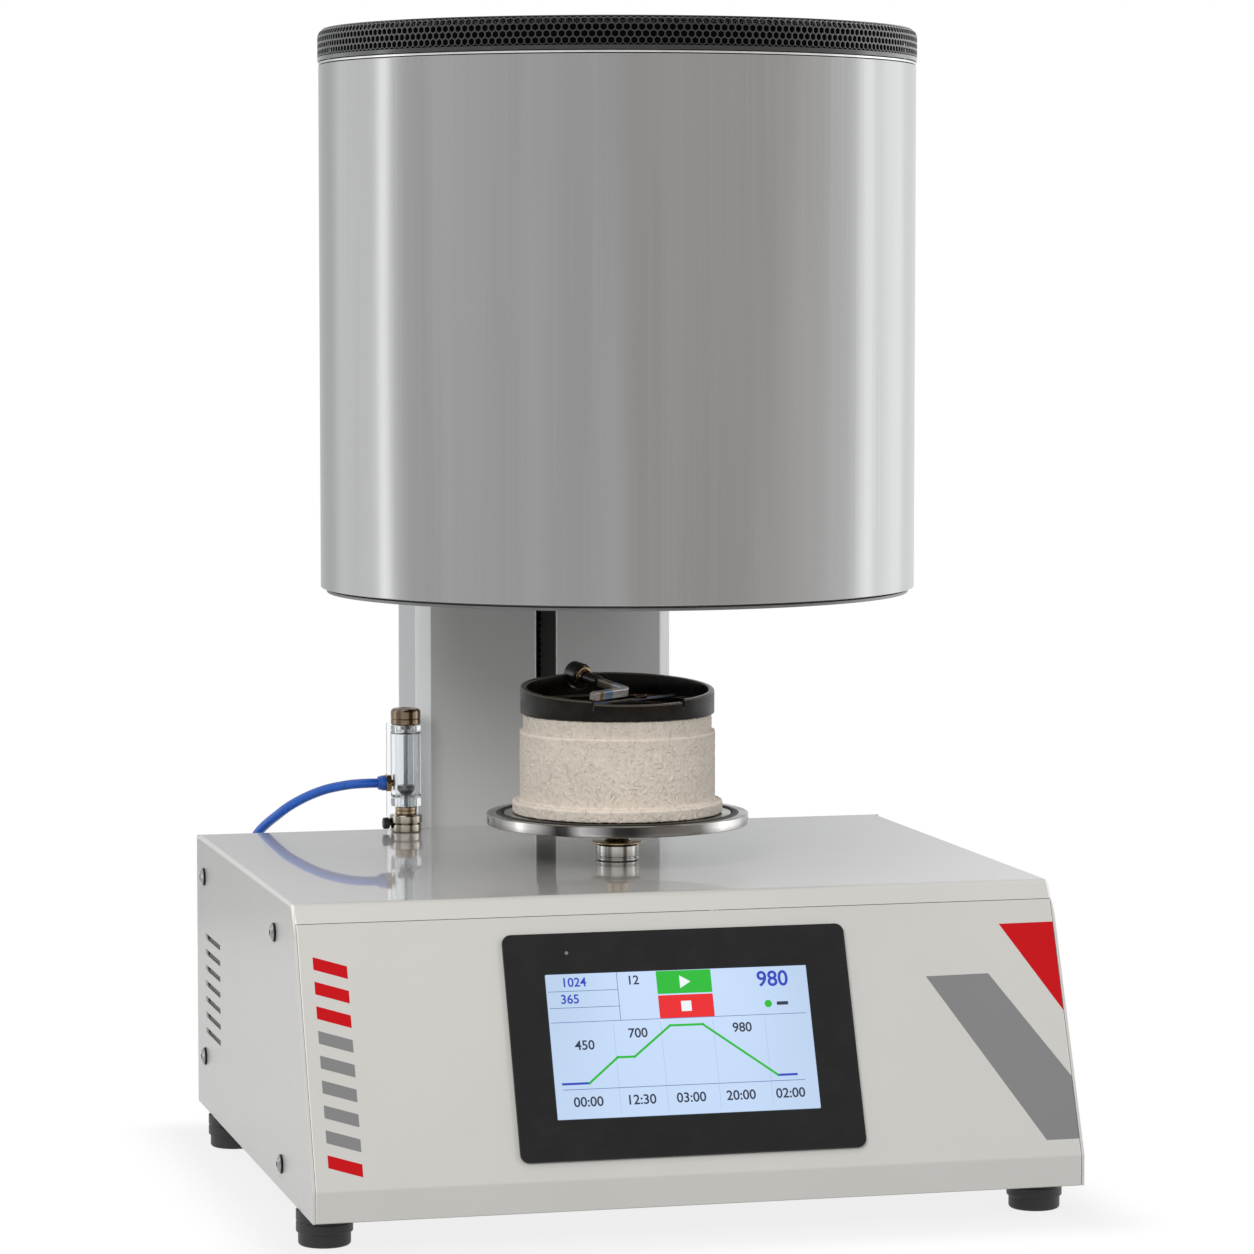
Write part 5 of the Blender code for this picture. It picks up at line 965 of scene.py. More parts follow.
# Feet and screws
FOOT_NECK_SHARE = 0.925
FOOT_CAP = 0.0125
FOOT_GROOVE = 0.0007
FOOT_GROOVE_SHARE = 0.45
FOOT_HOLLOW = 0.0008
SCREW_R = 0.0055
SCREW_PROUD = 0.0030
SOCKET_FLAT = 0.00190
SOCKET_DEEP = 0.0016
SHANK_R = 0.0020
SHANK = 0.0060


def make_feet():
    """Four rubber feet: a broad cap with a fine groove, over a slightly narrower pad."""
    rubber = finish_of("foot_rubber", moulded, (0.0150, 0.0150, 0.0160), 0.5, 1300.0, 0.00006)
    for node in ("foot_front_left", "foot_front_right", "foot_rear_left", "foot_rear_right"):
        radius = radius_of(node)
        neck = radius * FOOT_NECK_SHARE
        tall = height_of(node)
        step = tall - FOOT_CAP + GAP
        groove = step + FOOT_CAP * FOOT_GROOVE_SHARE
        profile = [
            (0, FOOT_HOLLOW), (neck * 0.55, FOOT_HOLLOW, 0.0004), (neck * 0.6, 0, 0.0004), (neck, 0, 0.0018),
            (neck, step - FOOT_GROOVE, 0.0003), (radius, step, 0.0009),
            (radius, groove - FOOT_GROOVE, 0.0004), (radius - FOOT_GROOVE, groove, 0.0004),
            (radius, groove + FOOT_GROOVE, 0.0004), (radius, tall, 0.0006), (0, tall),
        ]
        give(turned(node + "_rubber", profile, on_axis(node)), rubber, "base", "rubber", node)


def make_screws():
    """The eight button-head screws with hexagon sockets."""
    chrome = finish_of("screw_chrome", screw_metal)
    corner = SOCKET_FLAT / math.cos(math.pi / 6)
    socket = SCREW_PROUD - SOCKET_DEEP
    under = GAP * 0.4
    profile = [
        (0, socket - 0.0004), (corner * 0.8, socket), (corner, socket), (corner, SCREW_PROUD - 0.0002),
        (corner + 0.0004, SCREW_PROUD, 0.0002), (SCREW_R * 0.52, SCREW_PROUD, 0.0030),
        (SCREW_R, SCREW_PROUD * 0.42, 0.0016), (SCREW_R, under), (SHANK_R, under), (SHANK_R, -SHANK),
        (0, -SHANK - 0.0005),
    ]
    for side, way, turn in (("left", -1, ALONG_MINUS_X), ("right", 1, ALONG_X)):
        for end in ("upper_rear", "upper_front", "lower_rear", "lower_front"):
            node = f"screw_{side}_{end}"
            at = Matrix.Translation((way * RIGHT, middle(node).y, middle(node).z)) @ turn
            head = turned(node + "_head", profile, at, flats=(SOCKET_FLAT, corner * 1.01))
            give(head, chrome, "base", "chrome", node)


# Display, placed on the sloping face
BEZEL_HALF = (0.1002, 0.0651)
BEZEL_MIDDLE = (-0.0057, -0.0760)
BEZEL_ROUND = 0.0050
BEZEL_PROUD = 0.0025
BEZEL_EDGE = 0.0006
MODULE_INSET = 0.0053
MODULE_DEPTH = 0.0300
MODULE_ROUND = 0.0010
SCREEN_HALF = (0.07625, 0.0414)
SCREEN_MIDDLE = (-0.0066, -0.0762)
SCREEN_ROUND = 0.0004
SCREEN_TOP = 0.0023
SCREEN_THICK = 0.0015
LAMP_PLACE = (-0.0695, -0.0226)
LAMP_R = 0.0010


def outline_at(place, across, up, rounding):
    """A rectangle of these half sizes with round corners, about a point."""
    return ring_outline(across, up, rounding) + np.array(place)


def make_bezel():
    """The display's dark frame, with the recess for its screen, the module behind it and a small lamp."""
    across, up = BEZEL_HALF
    wide, tall = SCREEN_HALF
    rings = [(outline_at(BEZEL_MIDDLE, across, up, BEZEL_ROUND), GAP / 2)]
    for turn in np.linspace(0, math.pi / 2, 5):
        inset = BEZEL_EDGE * (1 - math.cos(turn))
        outline = outline_at(BEZEL_MIDDLE, across - inset, up - inset, BEZEL_ROUND - inset)
        rings.append((outline, BEZEL_PROUD - BEZEL_EDGE * (1 - math.sin(turn))))
    mouth = outline_at(SCREEN_MIDDLE, wide + GAP * 2, tall + GAP * 2, SCREEN_ROUND * 2)
    seat = outline_at(SCREEN_MIDDLE, wide + GAP / 2, tall + GAP / 2, SCREEN_ROUND)
    rings += [
        (mouth, BEZEL_PROUD), (seat, BEZEL_PROUD - GAP * 2), (seat, SCREEN_TOP - SCREEN_THICK - GAP / 2),
    ]
    face = plate("bezel_face", rings, PANEL)
    back = outline_at(BEZEL_MIDDLE, across - MODULE_INSET, up - MODULE_INSET, MODULE_ROUND)
    module = plate("bezel_module", [(back, -MODULE_DEPTH), (back, GAP / 2)], PANEL)
    dark = finish_of("bezel_plastic", moulded, tuple(look().bezel), 0.38, 1900.0, 0.00003, 0.0, 0.25)
    give(joined("display_bezel", face, module), dark, "base", "black_plastic", "display_housing")
    at = PANEL @ Matrix.Translation((*LAMP_PLACE, BEZEL_PROUD - SKIN))
    dome = [(LAMP_R, 0), (LAMP_R, SKIN * 2, SKIN), (LAMP_R * 0.6, SKIN * 4, SKIN * 4), (0, SKIN * 4.5)]
    status = turned("status_lamp", [(0, 0), *dome], at, sides=32)
    give(status, finish_of("lamp_lens", lit_glass, (0.20, 0.20, 0.21), 0.9), "base", "screen")


# Screen contents: u runs across the screen and v down it, both from 0 to 1
LAYER = 0.00004
FIGURE_LAYER = 2
FIGURE_WEIGHT = 0.016
BUTTON_U = 0.525
START_V = 0.083
STOP_V = 0.253
READY_V = 0.26
# Line weights as shares of the screen's width, then heights of numbers as shares of its height
RULE, UPRIGHT, BASE_LINE, CURVE = 0.0022, 0.0016, 0.0024, 0.0085
VALUE_TALL, TIME_TALL, LEVEL_TALL, CORNER_TALL = 0.15, 0.094, 0.092, 0.088
CURVE_POINTS = (
    (0.03, 0.76), (0.13, 0.76), (0.245, 0.59), (0.31, 0.59), (0.455, 0.385), (0.58, 0.385), (0.85, 0.76),
    (0.92, 0.76),
)
CURVE_TONES = ("blue", "green", "green", "green", "green", "green", "blue")
RULES = ((0.0, 0.12, 0.27), (0.0, 0.235, 0.27), (0.0, 0.335, 0.98))
UPRIGHTS = (0.24, 0.42, 0.62, 0.82)
TIMES = (("00:00", 0.12), ("12:30", 0.32), ("03:00", 0.51), ("20:00", 0.70), ("02:00", 0.89))
LEVELS = (("450", 0.125, 0.50), ("700", 0.330, 0.43), ("980", 0.730, 0.42))
CORNER_NUMBERS = (("1024", 0.105, 0.062, "blue"), ("365", 0.085, 0.178, "blue"), ("12", 0.330, 0.062, "dark"))
SCREEN_TONES = {
    "green": (0.010, 0.515, 0.021), "red": (0.871, 0.007, 0.007), "blue": (0.018, 0.051, 0.527),
    "line": (0.110, 0.170, 0.420), "faint": (0.420, 0.540, 0.780), "white": (0.90, 0.95, 1.00),
    "dark": (0.020, 0.030, 0.060),
}


def screen_place(u, v, layer):
    """A place on the screen, this many layers above it."""
    across = SCREEN_MIDDLE[0] + (2 * u - 1) * SCREEN_HALF[0]
    up = SCREEN_MIDDLE[1] + (1 - 2 * v) * SCREEN_HALF[1]
    return PANEL @ Matrix.Translation((across, up, SCREEN_TOP + layer * LAYER))


def screen_finish(tone):
    """The lit finish of one of the screen's colours."""
    return finish_of("screen_" + tone, lit_glass, SCREEN_TONES[tone])


def mark(name, outline, u, v, layer, tone):
    """A coloured area on the screen, with its outline in metres about (u, v)."""
    shape = film(name, outline, LAYER * 0.6, screen_place(u, v, layer))
    give(shape, screen_finish(tone), "base", "screen")


def figure(name, words, u, v, tall, tone):
    """Numbers on the screen, their middle at (u, v)."""
    curve = bpy.data.curves.new(name, "FONT")
    curve.body = words
    curve.size = tall
    curve.align_x = "CENTER"
    curve.align_y = "CENTER"
    curve.extrude = LAYER * 0.3
    curve.offset = tall * FIGURE_WEIGHT
    writing = linked(name + "_text", curve)
    bpy.context.view_layer.update()
    mesh = bpy.data.meshes.new_from_object(writing)
    bpy.data.objects.remove(writing)
    mesh.transform(screen_place(u, v, FIGURE_LAYER))
    give(tidied(name, mesh, merge=0), screen_finish(tone), "base", "screen")


def stroke(name, start, stop, thick, tone, layer=1):
    """A straight line on the screen between two (u, v) places."""
    span = np.array(((stop[0] - start[0]) * 2 * SCREEN_HALF[0], (start[1] - stop[1]) * 2 * SCREEN_HALF[1]))
    reach = np.linalg.norm(span)
    way = span / reach
    side = np.array((-way[1], way[0])) * thick / 2
    half = way * (reach + thick) / 2
    outline = [-half - side, half - side, half + side, -half + side]
    mark(name, outline, (start[0] + stop[0]) / 2, (start[1] + stop[1]) / 2, layer, tone)


def screen_glass(tone):
    """The lit background: paler to the middle, a little bluer to the edges and lower down."""
    f = Finish("screen_background")
    here = f.place(tuple(PANEL @ Vector((*SCREEN_MIDDLE, 0))), (-PANEL_TILT, 0, 0))
    across, up, _ = f.split(here)
    edge = abs(across) * (1.0 / SCREEN_HALF[0])
    cloud = f.noise(here, 14.0, 1.0)
    shade = f.mix(f.span(edge + (cloud - 0.5) * 0.4, 0.3, 1.1), tint(tone, 1.04), tint(tone, 0.90))
    shade = f.mix(f.span(up, SCREEN_HALF[1], -SCREEN_HALF[1]) * 0.5, shade, tint(tone, 0.97))
    return f.done(
        Base_Color=(0.02, 0.02, 0.025), Emission_Color=shade, Emission_Strength=0.96, Specular_IOR_Level=0.3,
        Roughness=0.14 + (f.noise(here, 90.0, 3.0) - 0.5) * 0.06,
    )


def make_screen():
    """The lit screen with its own numbers: a heating curve, five times, two buttons and a few rules."""
    rings = [(ring_outline(*SCREEN_HALF, SCREEN_ROUND), level) for level in (-SCREEN_THICK, 0.0)]
    pane = plate("screen_pane", rings, PANEL @ Matrix.Translation((*SCREEN_MIDDLE, SCREEN_TOP)))
    give(pane, screen_glass(tuple(look().screen)), "base", "screen", "display_glass")
    unit = 2 * SCREEN_HALF[0]
    tall = 2 * SCREEN_HALF[1]
    for n, (first, v, last) in enumerate(RULES):
        stroke(f"rule_{n}", (first + 0.006, v), (last, v), unit * RULE, "line")
    stroke("rule_upright", (0.27, 0.0), (0.27, 0.335), unit * RULE, "line")
    for n, u in enumerate(UPRIGHTS):
        stroke(f"upright_{n}", (u, 0.36), (u, 0.975), unit * UPRIGHT, "faint")
    stroke("base_line", (0.03, 0.80), (0.95, 0.80), unit * BASE_LINE, "line", 2)
    for n, (start, stop) in enumerate(zip(CURVE_POINTS, CURVE_POINTS[1:])):
        stroke(f"curve_{n}", start, stop, unit * CURVE, CURVE_TONES[n], 3)
    button = ring_outline(unit * 0.105, tall * 0.080, 0.0006)
    mark("start_button", button, BUTTON_U, START_V, 1, "green")
    mark("stop_button", button, BUTTON_U, STOP_V, 1, "red")
    side = tall * 0.045
    mark("start_sign", [(-side * 0.7, -side), (side, 0), (-side * 0.7, side)], BUTTON_U, START_V, 2, "white")
    mark("stop_sign", ring_outline(side * 0.8, side * 0.8, 0.0002), BUTTON_U, STOP_V, 2, "white")
    figure("main_value", "980", 0.865, 0.090, tall * VALUE_TALL, "blue")
    mark("ready_dot", circle(tall * 0.026, 32), 0.84, READY_V, 2, "green")
    mark("ready_mark", ring_outline(unit * 0.022, tall * 0.012, 0.0002), 0.895, READY_V, 2, "dark")
    for n, (words, u) in enumerate(TIMES):
        figure(f"time_{n}", words, u, 0.89, tall * TIME_TALL, "dark")
    for n, (words, u, v) in enumerate(LEVELS):
        figure(f"level_{n}", words, u, v, tall * LEVEL_TALL, "dark")
    for n, (words, u, v, tone) in enumerate(CORNER_NUMBERS):
        figure(f"corner_{n}", words, u, v, tall * CORNER_TALL, tone)


# Column and lift
COLUMN_EDGE_SHARE = 1.6


def make_column():
    """The folded column cover and its back plate."""
    edge = sizes().edge * COLUMN_EDGE_SHARE
    for node in ("column_cover", "column_back"):
        give(dressed(node + "_skin", node, edge), column_painted(), "base", "column_paint", node)


def make_lift():
    """The blocks, rods, screw, nut and motor inside the column, and the arm through its slot."""
    dark = finish_of("arm_black", black_enamel, (0.018, 0.018, 0.018), 0.35)
    alloy = finish_of("lift_alloy", plain_metal, (0.30, 0.31, 0.32), 0.34)
    for node, body, finish, slot in (
        ("rod_block_lower", "base", alloy, "aluminium"), ("rod_block_upper", "base", alloy, "aluminium"),
        ("carriage", "head", alloy, "aluminium"), ("head_arm", "head", dark, "black_metal"),
        ("lift_motor", "base", dark, "black_metal"),
    ):
        give(dressed(node + "_body", node, sizes().edge), finish, body, slot, node)
    ground = finish_of("ground_rod", plain_metal, (0.50, 0.50, 0.51), 0.14, (900.0, 900.0, 900.0))
    for node in ("guide_rod_left", "guide_rod_right"):
        radius = radius_of(node)
        tall = height_of(node)
        profile = [(0, 0), (radius, 0, 0.0005), (radius, tall, 0.0005), (0, tall)]
        give(turned(node + "_ground", profile, on_axis(node), 48), ground, "base", "chrome", node)
    make_lead_screw()
    make_lead_nut()


THREAD_PITCH = 0.0040
THREAD_DEPTH = 0.0006
THREAD_ROWS = 8
THREAD_SIDES = 24
JOURNAL = 0.0120
JOURNAL_SHARE = 0.75
# Shares of the nut's flange radius, and its flange's thickness
NUT_BORE, NUT_BODY = 0.307, 0.571
NUT_FLANGE = 0.0040


def make_lead_screw():
    """The lead screw, with its thread as one continuous ridge round the shaft."""
    node = "lead_screw"
    radius = radius_of(node)
    tall = height_of(node)
    threaded = tall - JOURNAL
    rows = int(threaded / THREAD_PITCH * THREAD_ROWS)
    turns = round_angles(THREAD_SIDES)
    level, angle = np.meshgrid(np.linspace(0, threaded, rows), turns, indexing="ij")
    wave = np.clip(1.6 * np.cos(2 * math.pi * level / THREAD_PITCH - angle), -1, 1)
    points = cylindrical(radius - THREAD_DEPTH * (1 - wave) / 2, angle, level)
    journal = radius * JOURNAL_SHARE
    ends = [
        cylindrical(size, turns, height)[None]
        for size, height in ((0, 0), (journal, threaded), (journal, tall), (0, tall))
    ]
    grid = np.concatenate([ends[0], points, *ends[1:]]).reshape(-1, 3)
    screw = surface("lead_screw_thread", moved(grid, on_axis(node)), grid_faces(rows + 4, THREAD_SIDES))
    give(screw, finish_of("screw_steel", plain_metal, (0.10, 0.10, 0.10), 0.32), "lead_screw", "steel", node)


def make_lead_nut():
    """The flanged bronze nut in the carriage."""
    node = "lead_nut"
    flange = radius_of(node)
    tall = height_of(node)
    bore = flange * NUT_BORE
    body = flange * NUT_BODY
    profile = [
        (bore, 0, 0.0002), (flange, 0, 0.0004), (flange, NUT_FLANGE, 0.0004), (body, NUT_FLANGE),
        (body, tall, 0.0004), (bore, tall, 0.0002),
    ]
    nut = turned("lead_nut_turned", profile, on_axis(node), 48, ring=True)
    nut_bronze = finish_of("nut_bronze", turned_metal, (0.42, 0.30, 0.17), tuple(middle(node)))
    give(nut, nut_bronze, "head", "bronze", node)


# Head
SHELL_WALL = 0.0012
LID_VENT_R = 0.0300
LID_THICK = 0.0015
PLATE_MOUTH = 0.0680
PLATE_LIP = 0.0035
SEAM_UP = 0.0020
SEAM_INSET = 0.0070
MUFFLE_WALL = 0.0060
MUFFLE_RIBS = 18
# One rib's section: share of the pitch from its middle, depth into the wall
RIB = ((0.30, 0), (0.18, 0.0012), (-0.18, 0.0012), (-0.30, 0))


def make_head():
    """The bright shell, its base plate, its lid with a vent hole, and the lining inside."""
    bright = finish_of("head_skin", head_sheet, tuple(look().head))
    inner = HEAD_R - SHELL_WALL
    tall = SHELL_TOP - SHELL_LOW - SKIN
    profile = [(inner, SKIN), (HEAD_R, SKIN, 0.0004), (HEAD_R, tall, 0.0004), (inner, tall)]
    shell = turned("head_shell_skin", profile, on_centre(SHELL_LOW), WIDE_ROUND * 2, ring=True)
    give(shell, bright, "head", "sheet_steel", "head_shell")
    make_head_plate()
    profile = [(LID_VENT_R, 0), (HEAD_R, 0, 0.0006), (HEAD_R, LID_THICK, 0.0006), (LID_VENT_R, LID_THICK)]
    lid = turned("head_lid_rim", profile, on_centre(low("head_lid").z), WIDE_ROUND, ring=True)
    rim = finish_of("lid_rim", plain_metal, (0.78, 0.78, 0.77), 0.22, (600.0, 600.0, 600.0))
    give(lid, rim, "head", "sheet_steel", "head_lid")
    make_lining()


def make_head_plate():
    """The plate under the head, with the dark seam between it and the shell."""
    node = "head_base_ring"
    foot = low(node).z
    top = high(node).z
    seam = foot + SEAM_UP
    seat = min(HEAD_R - SHELL_WALL - GAP, radius_of(node))
    lip = HEAD_R - PLATE_LIP
    inset = HEAD_R - SEAM_INSET
    profile = [
        (PLATE_MOUTH, foot, 0.0006), (lip, foot, 0.0005), (lip, seam, 0.0005), (inset, seam),
        (inset, SHELL_LOW), (seat, SHELL_LOW), (seat, top), (PLATE_MOUTH, top, 0.0006),
    ]
    plate_steel = finish_of("head_plate", plain_metal, (0.20, 0.20, 0.20), 0.38, (500.0, 500.0, 500.0))
    ring = turned("head_plate_ring", profile, on_centre(0), WIDE_ROUND, ring=True)
    give(ring, plate_steel, "head", "sheet_steel", node)


def make_lining():
    """The fibre lining with its ribbed muffle, and the probe through its roof."""
    fibre = finish_of("lining_fibre", fibre_ceramic, (0.74, 0.71, 0.65), 0.4)
    give(dressed("lining_body", "insulation", 0.0008), fibre, "head", "ceramic_fibre", "insulation")
    node = "heating_muffle"
    outer = radius_of(node)
    tall = height_of(node)
    inner = outer - MUFFLE_WALL
    pitch = tall / MUFFLE_RIBS
    profile = [(outer, 0, 0.0005), (outer, tall, 0.0005), (inner, tall, 0.0005)]
    for n in reversed(range(MUFFLE_RIBS)):
        profile += [(inner + deep, (n + 0.5) * pitch + pitch * share, 0.0004) for share, deep in RIB]
    profile.append((inner, 0, 0.0005))
    muffle = turned("muffle_ribbed", profile, on_axis(node), WIDE_ROUND // 2, ring=True, steps=2)
    give(muffle, finish_of("muffle_ceramic", fibre_ceramic, (0.66, 0.58, 0.48), 0.6), "head", "ceramic", node)
    steel = finish_of("probe_steel", plain_metal, (0.36, 0.33, 0.30), 0.3)
    give(dressed("probe_body", "thermocouple", 0.0003), steel, "head", "steel", "thermocouple")


# Guard on top of the head
GUARD_WALL = 0.0008
GUARD_ROUND = 0.0050
GUARD_STRIP = 0.0024
GUARD_ROWS = 5
RIM_WIDTH = 0.0022
CELL_MARGIN_SHARE = 0.6
BORDER_SHARE = 1.25
TOP_STRAND_SHARE = 1.25
GUARD_FLAT = 60.0


def hexagon_corners(radius):
    """The six corners of a hexagon that stands on a point."""
    angles = math.pi / 6 + math.pi / 3 * np.arange(6)
    return radius * np.stack([np.cos(angles), np.sin(angles)], -1)


def lattice(centres, pitch, strand):
    """Flat hexagonal cells: for each centre a ring of six quads between its edge and its hole."""
    outer = hexagon_corners(pitch / math.sqrt(3))
    inner = hexagon_corners((pitch - strand) / math.sqrt(3))
    corners = np.concatenate([outer, inner])
    points = (centres[:, None] + corners[None]).reshape(-1, 2)
    n = np.arange(6)
    ring = np.stack([n, (n + 1) % 6, 6 + (n + 1) % 6, 6 + n], -1)
    faces = (12 * np.arange(len(centres))[:, None, None] + ring[None]).reshape(-1, 4)
    return points, faces


def guard_line(along):
    """The guard's outer section: radius and height for a distance up its side and on over its edge."""
    outer = radius_of("mesh_guard") - SKIN
    foot = low("mesh_guard").z
    top = high("mesh_guard").z
    straight = top - GUARD_ROUND - foot
    bend = np.clip((along - straight) / GUARD_ROUND, 0, math.pi / 2)
    over = np.maximum(along - straight - GUARD_ROUND * math.pi / 2, 0)
    radius = outer - GUARD_ROUND * (1 - np.cos(bend)) - over
    height = foot + np.minimum(along, straight) + GUARD_ROUND * np.sin(bend)
    return radius, height


def thick(made):
    """Gives an open sheet of the guard its wall, inwards."""
    wall = made.modifiers.new("wall", "SOLIDIFY")
    wall.thickness = GUARD_WALL
    wall.offset = -1.0
    return made


def make_guard():
    """The black guard: a hexagonal mesh round the side and over the edge, and another on the top."""
    black = finish_of("guard_black", black_enamel, (0.0080, 0.0080, 0.0080), 0.13)
    outer = radius_of("mesh_guard")
    about = 2 * math.pi * outer
    columns = int(round(about / sizes().hexagon))
    pitch = about / columns
    row_step = pitch * math.sqrt(3) / 2
    column, row = np.meshgrid(np.arange(columns), np.arange(GUARD_ROWS), indexing="ij")
    across = (column + 0.5 * (row % 2)) * pitch
    up = GUARD_STRIP + pitch / math.sqrt(3) + row * row_step
    flat, faces = lattice(np.stack([across.ravel(), up.ravel()], -1), pitch, sizes().strand)
    angle = flat[:, 0] / outer
    radius, height = guard_line(flat[:, 1])
    points = cylindrical(radius, angle, height) + np.array((AXIS.x, AXIS.y, 0))
    side = surface("guard_side_mesh", points, faces, GUARD_FLAT, turn_out=False)
    give(thick(side), black, "head", "black_metal", "mesh_guard")
    reach = GUARD_STRIP + pitch / math.sqrt(3) * 1.5 + (GUARD_ROWS - 1) * row_step
    make_guard_top(black, float(guard_line(np.array(reach))[0]))


def make_guard_top(black, reach):
    """The guard's flat top, its rim, the solid strip at its foot, and a near-black sheet inside that stands
    for the shade there: painted shade.
    """
    top = high("mesh_guard").z - SKIN
    foot = low("mesh_guard").z
    outer = radius_of("mesh_guard")
    pitch = sizes().lid_hexagon
    row_step = pitch * math.sqrt(3) / 2
    count = int(reach / row_step) + 2
    steps = np.arange(-count, count + 1)
    column, row = np.meshgrid(steps, steps, indexing="ij")
    centres = np.stack([(column + 0.5 * (row % 2)) * pitch, row * row_step], -1).reshape(-1, 2)
    kept = centres[np.hypot(*centres.T) < reach - CELL_MARGIN_SHARE * pitch]
    flat, faces = lattice(kept, pitch, sizes().strand * TOP_STRAND_SHARE)
    points = np.column_stack([flat[:, 0] + AXIS.x, flat[:, 1] + AXIS.y, np.full(len(flat), top - SKIN)])
    lid = surface("guard_top_mesh", points, faces, GUARD_FLAT, turn_out=False)
    give(thick(lid), black, "head", "black_metal")
    at = on_centre(0)
    border = reach - BORDER_SHARE * pitch
    edge = reach + RIM_WIDTH * 0.6
    under = top - GUARD_WALL
    rim = [(border, under, 0.0002), (edge, under, 0.0002), (edge, top, 0.0002), (border, top, 0.0002)]
    inner = outer - GUARD_WALL - SKIN
    over = foot + GUARD_STRIP
    strip = [(inner, foot), (outer, foot, 0.0003), (outer, over, 0.0003), (inner, over)]
    upper = turned("guard_rim", rim, at, WIDE_ROUND, ring=True)
    lower = turned("guard_strip", strip, at, WIDE_ROUND, ring=True)
    give(joined("guard_rims", upper, lower), black, "head", "black_metal")
    # Painted shade: a near-black sheet inside the guard, seen through its holes in place of the shade in
    # there.
    inside = outer - GUARD_ROUND * 1.6
    ceiling = top - GUARD_ROUND
    shade_hood = [
        (0, foot + 0.0002), (inside, foot + 0.0002), (inside, ceiling, 0.003),
        (inside - 0.004, ceiling + 0.001), (0, ceiling + 0.001),
    ]
    dark = finish_of("guard_inside", moulded, (0.0030, 0.0030, 0.0030), 0.8, 900.0, 0.00003, 0.0, 0.05)
    give(turned("guard_dark_sheet", shade_hood, at, WIDE_ROUND), dark, "head", "black_metal")


# Table
HOUSING_R = 0.0127
HOUSING_HEIGHT = 0.0095
HOUSING_BORE = 0.0080
STUD_LONG = 0.0095
STUD_WIDE = 0.0060
COLLAR_R = 0.0154
COLLAR_THICK = 0.0017
NECK_R = 0.0066
PIN_R = 0.0040
PLATE_THICK = 0.0065
GROOVE_R = 0.0705
GROOVE_WIDTH = 0.0044
GROOVE_DEPTH = 0.0020
# Painted reflections on the plate's rim: (bearing from the camera's in degrees, share of the tone).
RIM_REFLECTIONS = (
    (-180, 0.60), (-75, 0.50), (-62, 0.45), (-52, 1.10), (-45, 1.60), (-38, 1.20), (-27, 0.08), (-22, 0.15),
    (-16, 1.35), (-10, 0.95), (-1, 0.09), (7, 0.08), (17, 0.35), (38, 0.45), (48, 1.65), (58, 1.40),
    (75, 0.50), (180, 0.60),
)


def make_table():
    """The nickel housing, the bronze spindle with its flared collar, the steel plate and its seal."""
    axis = tuple(AXIS)
    # Painted dark reflection bands along the housing, the spindle and the plate.
    nickel = finish_of("post_nickel", turned_metal, (0.62, 0.61, 0.58), axis, 0.14, streaks=0.85)
    bore = PIN_R + GAP
    tall = HOUSING_HEIGHT
    waist = HOUSING_R - 0.0006
    housing = [
        (0, -STUD_LONG), (STUD_WIDE, -STUD_LONG), (STUD_WIDE, GAP), (HOUSING_R, GAP, 0.0003),
        (HOUSING_R, 0.0016, 0.0002), (waist, 0.0019, 0.0002), (waist, 0.0025, 0.0002),
        (HOUSING_R, 0.0028, 0.0002), (HOUSING_R, tall, 0.0006), (bore, tall, 0.0004),
        (bore, tall - HOUSING_BORE), (0, tall - HOUSING_BORE),
    ]
    at = on_centre(TOP_Z)
    give(turned("post_housing_turned", housing, at, 128), nickel, "base", "chrome", "post_housing")
    foot = tall + GAP
    collar = foot + COLLAR_THICK
    under = high("table_plate").z - TOP_Z - PLATE_THICK - GAP
    neck = NECK_R - 0.0007
    spindle = [
        (0, tall - 0.0076), (PIN_R, tall - 0.0076, 0.0003), (PIN_R, foot), (HOUSING_R - 0.0004, foot, 0.0002),
        (COLLAR_R, foot + COLLAR_THICK * 0.45, 0.0003), (COLLAR_R, collar, 0.0004),
        (NECK_R + 0.0016, collar + 0.0002, 0.0010), (NECK_R, collar + 0.0020, 0.0012),
        (NECK_R, under - 0.0018, 0.0006), (neck, under - 0.0010), (neck, under), (PIN_R, under),
        (PIN_R, under + PLATE_THICK, 0.0004), (0, under + PLATE_THICK),
    ]
    stem = finish_of("stem_bronze", turned_metal, (0.62, 0.46, 0.27), axis, 0.14, streaks=0.6)
    give(turned("post_spindle_turned", spindle, at, 128), stem, "base", "bronze", "post_spindle")
    radius = radius_of("table_plate")
    inner = GROOVE_R - GROOVE_WIDTH / 2
    outer = GROOVE_R + GROOVE_WIDTH / 2
    disc = [
        (bore, -PLATE_THICK), (radius, -PLATE_THICK, 0.0006), (radius, 0, 0.0006), (outer, 0, 0.0003),
        (outer, -GROOVE_DEPTH, 0.0003), (inner, -GROOVE_DEPTH, 0.0003), (inner, 0, 0.0003), (bore, 0, 0.0003),
    ]
    # The plate's rim gets painted reflections by bearing.
    tone = (0.47, 0.455, 0.44)
    steel = finish_of("plate_steel", turned_metal, tone, axis, 0.12, streaks=0.85, worn=RIM_REFLECTIONS)
    table = turned("table_plate_turned", disc, on_centre(high("table_plate").z), WIDE_ROUND, ring=True)
    give(table, steel, "base", "steel", "table_plate")
    inner += GAP
    outer -= GAP
    low_z = low("table_seal").z
    high_z = high("table_seal").z
    profile = [
        (inner, low_z, 0.0002), (outer, low_z, 0.0002), (outer, high_z, 0.0012), (inner, high_z, 0.0012),
    ]
    rubber = finish_of("seal_rubber", moulded, (0.022, 0.020, 0.019), 0.55, 1100.0, 0.00005)
    seal = turned("table_seal_round", profile, on_centre(0), WIDE_ROUND, ring=True)
    give(seal, rubber, "base", "rubber", "table_seal")


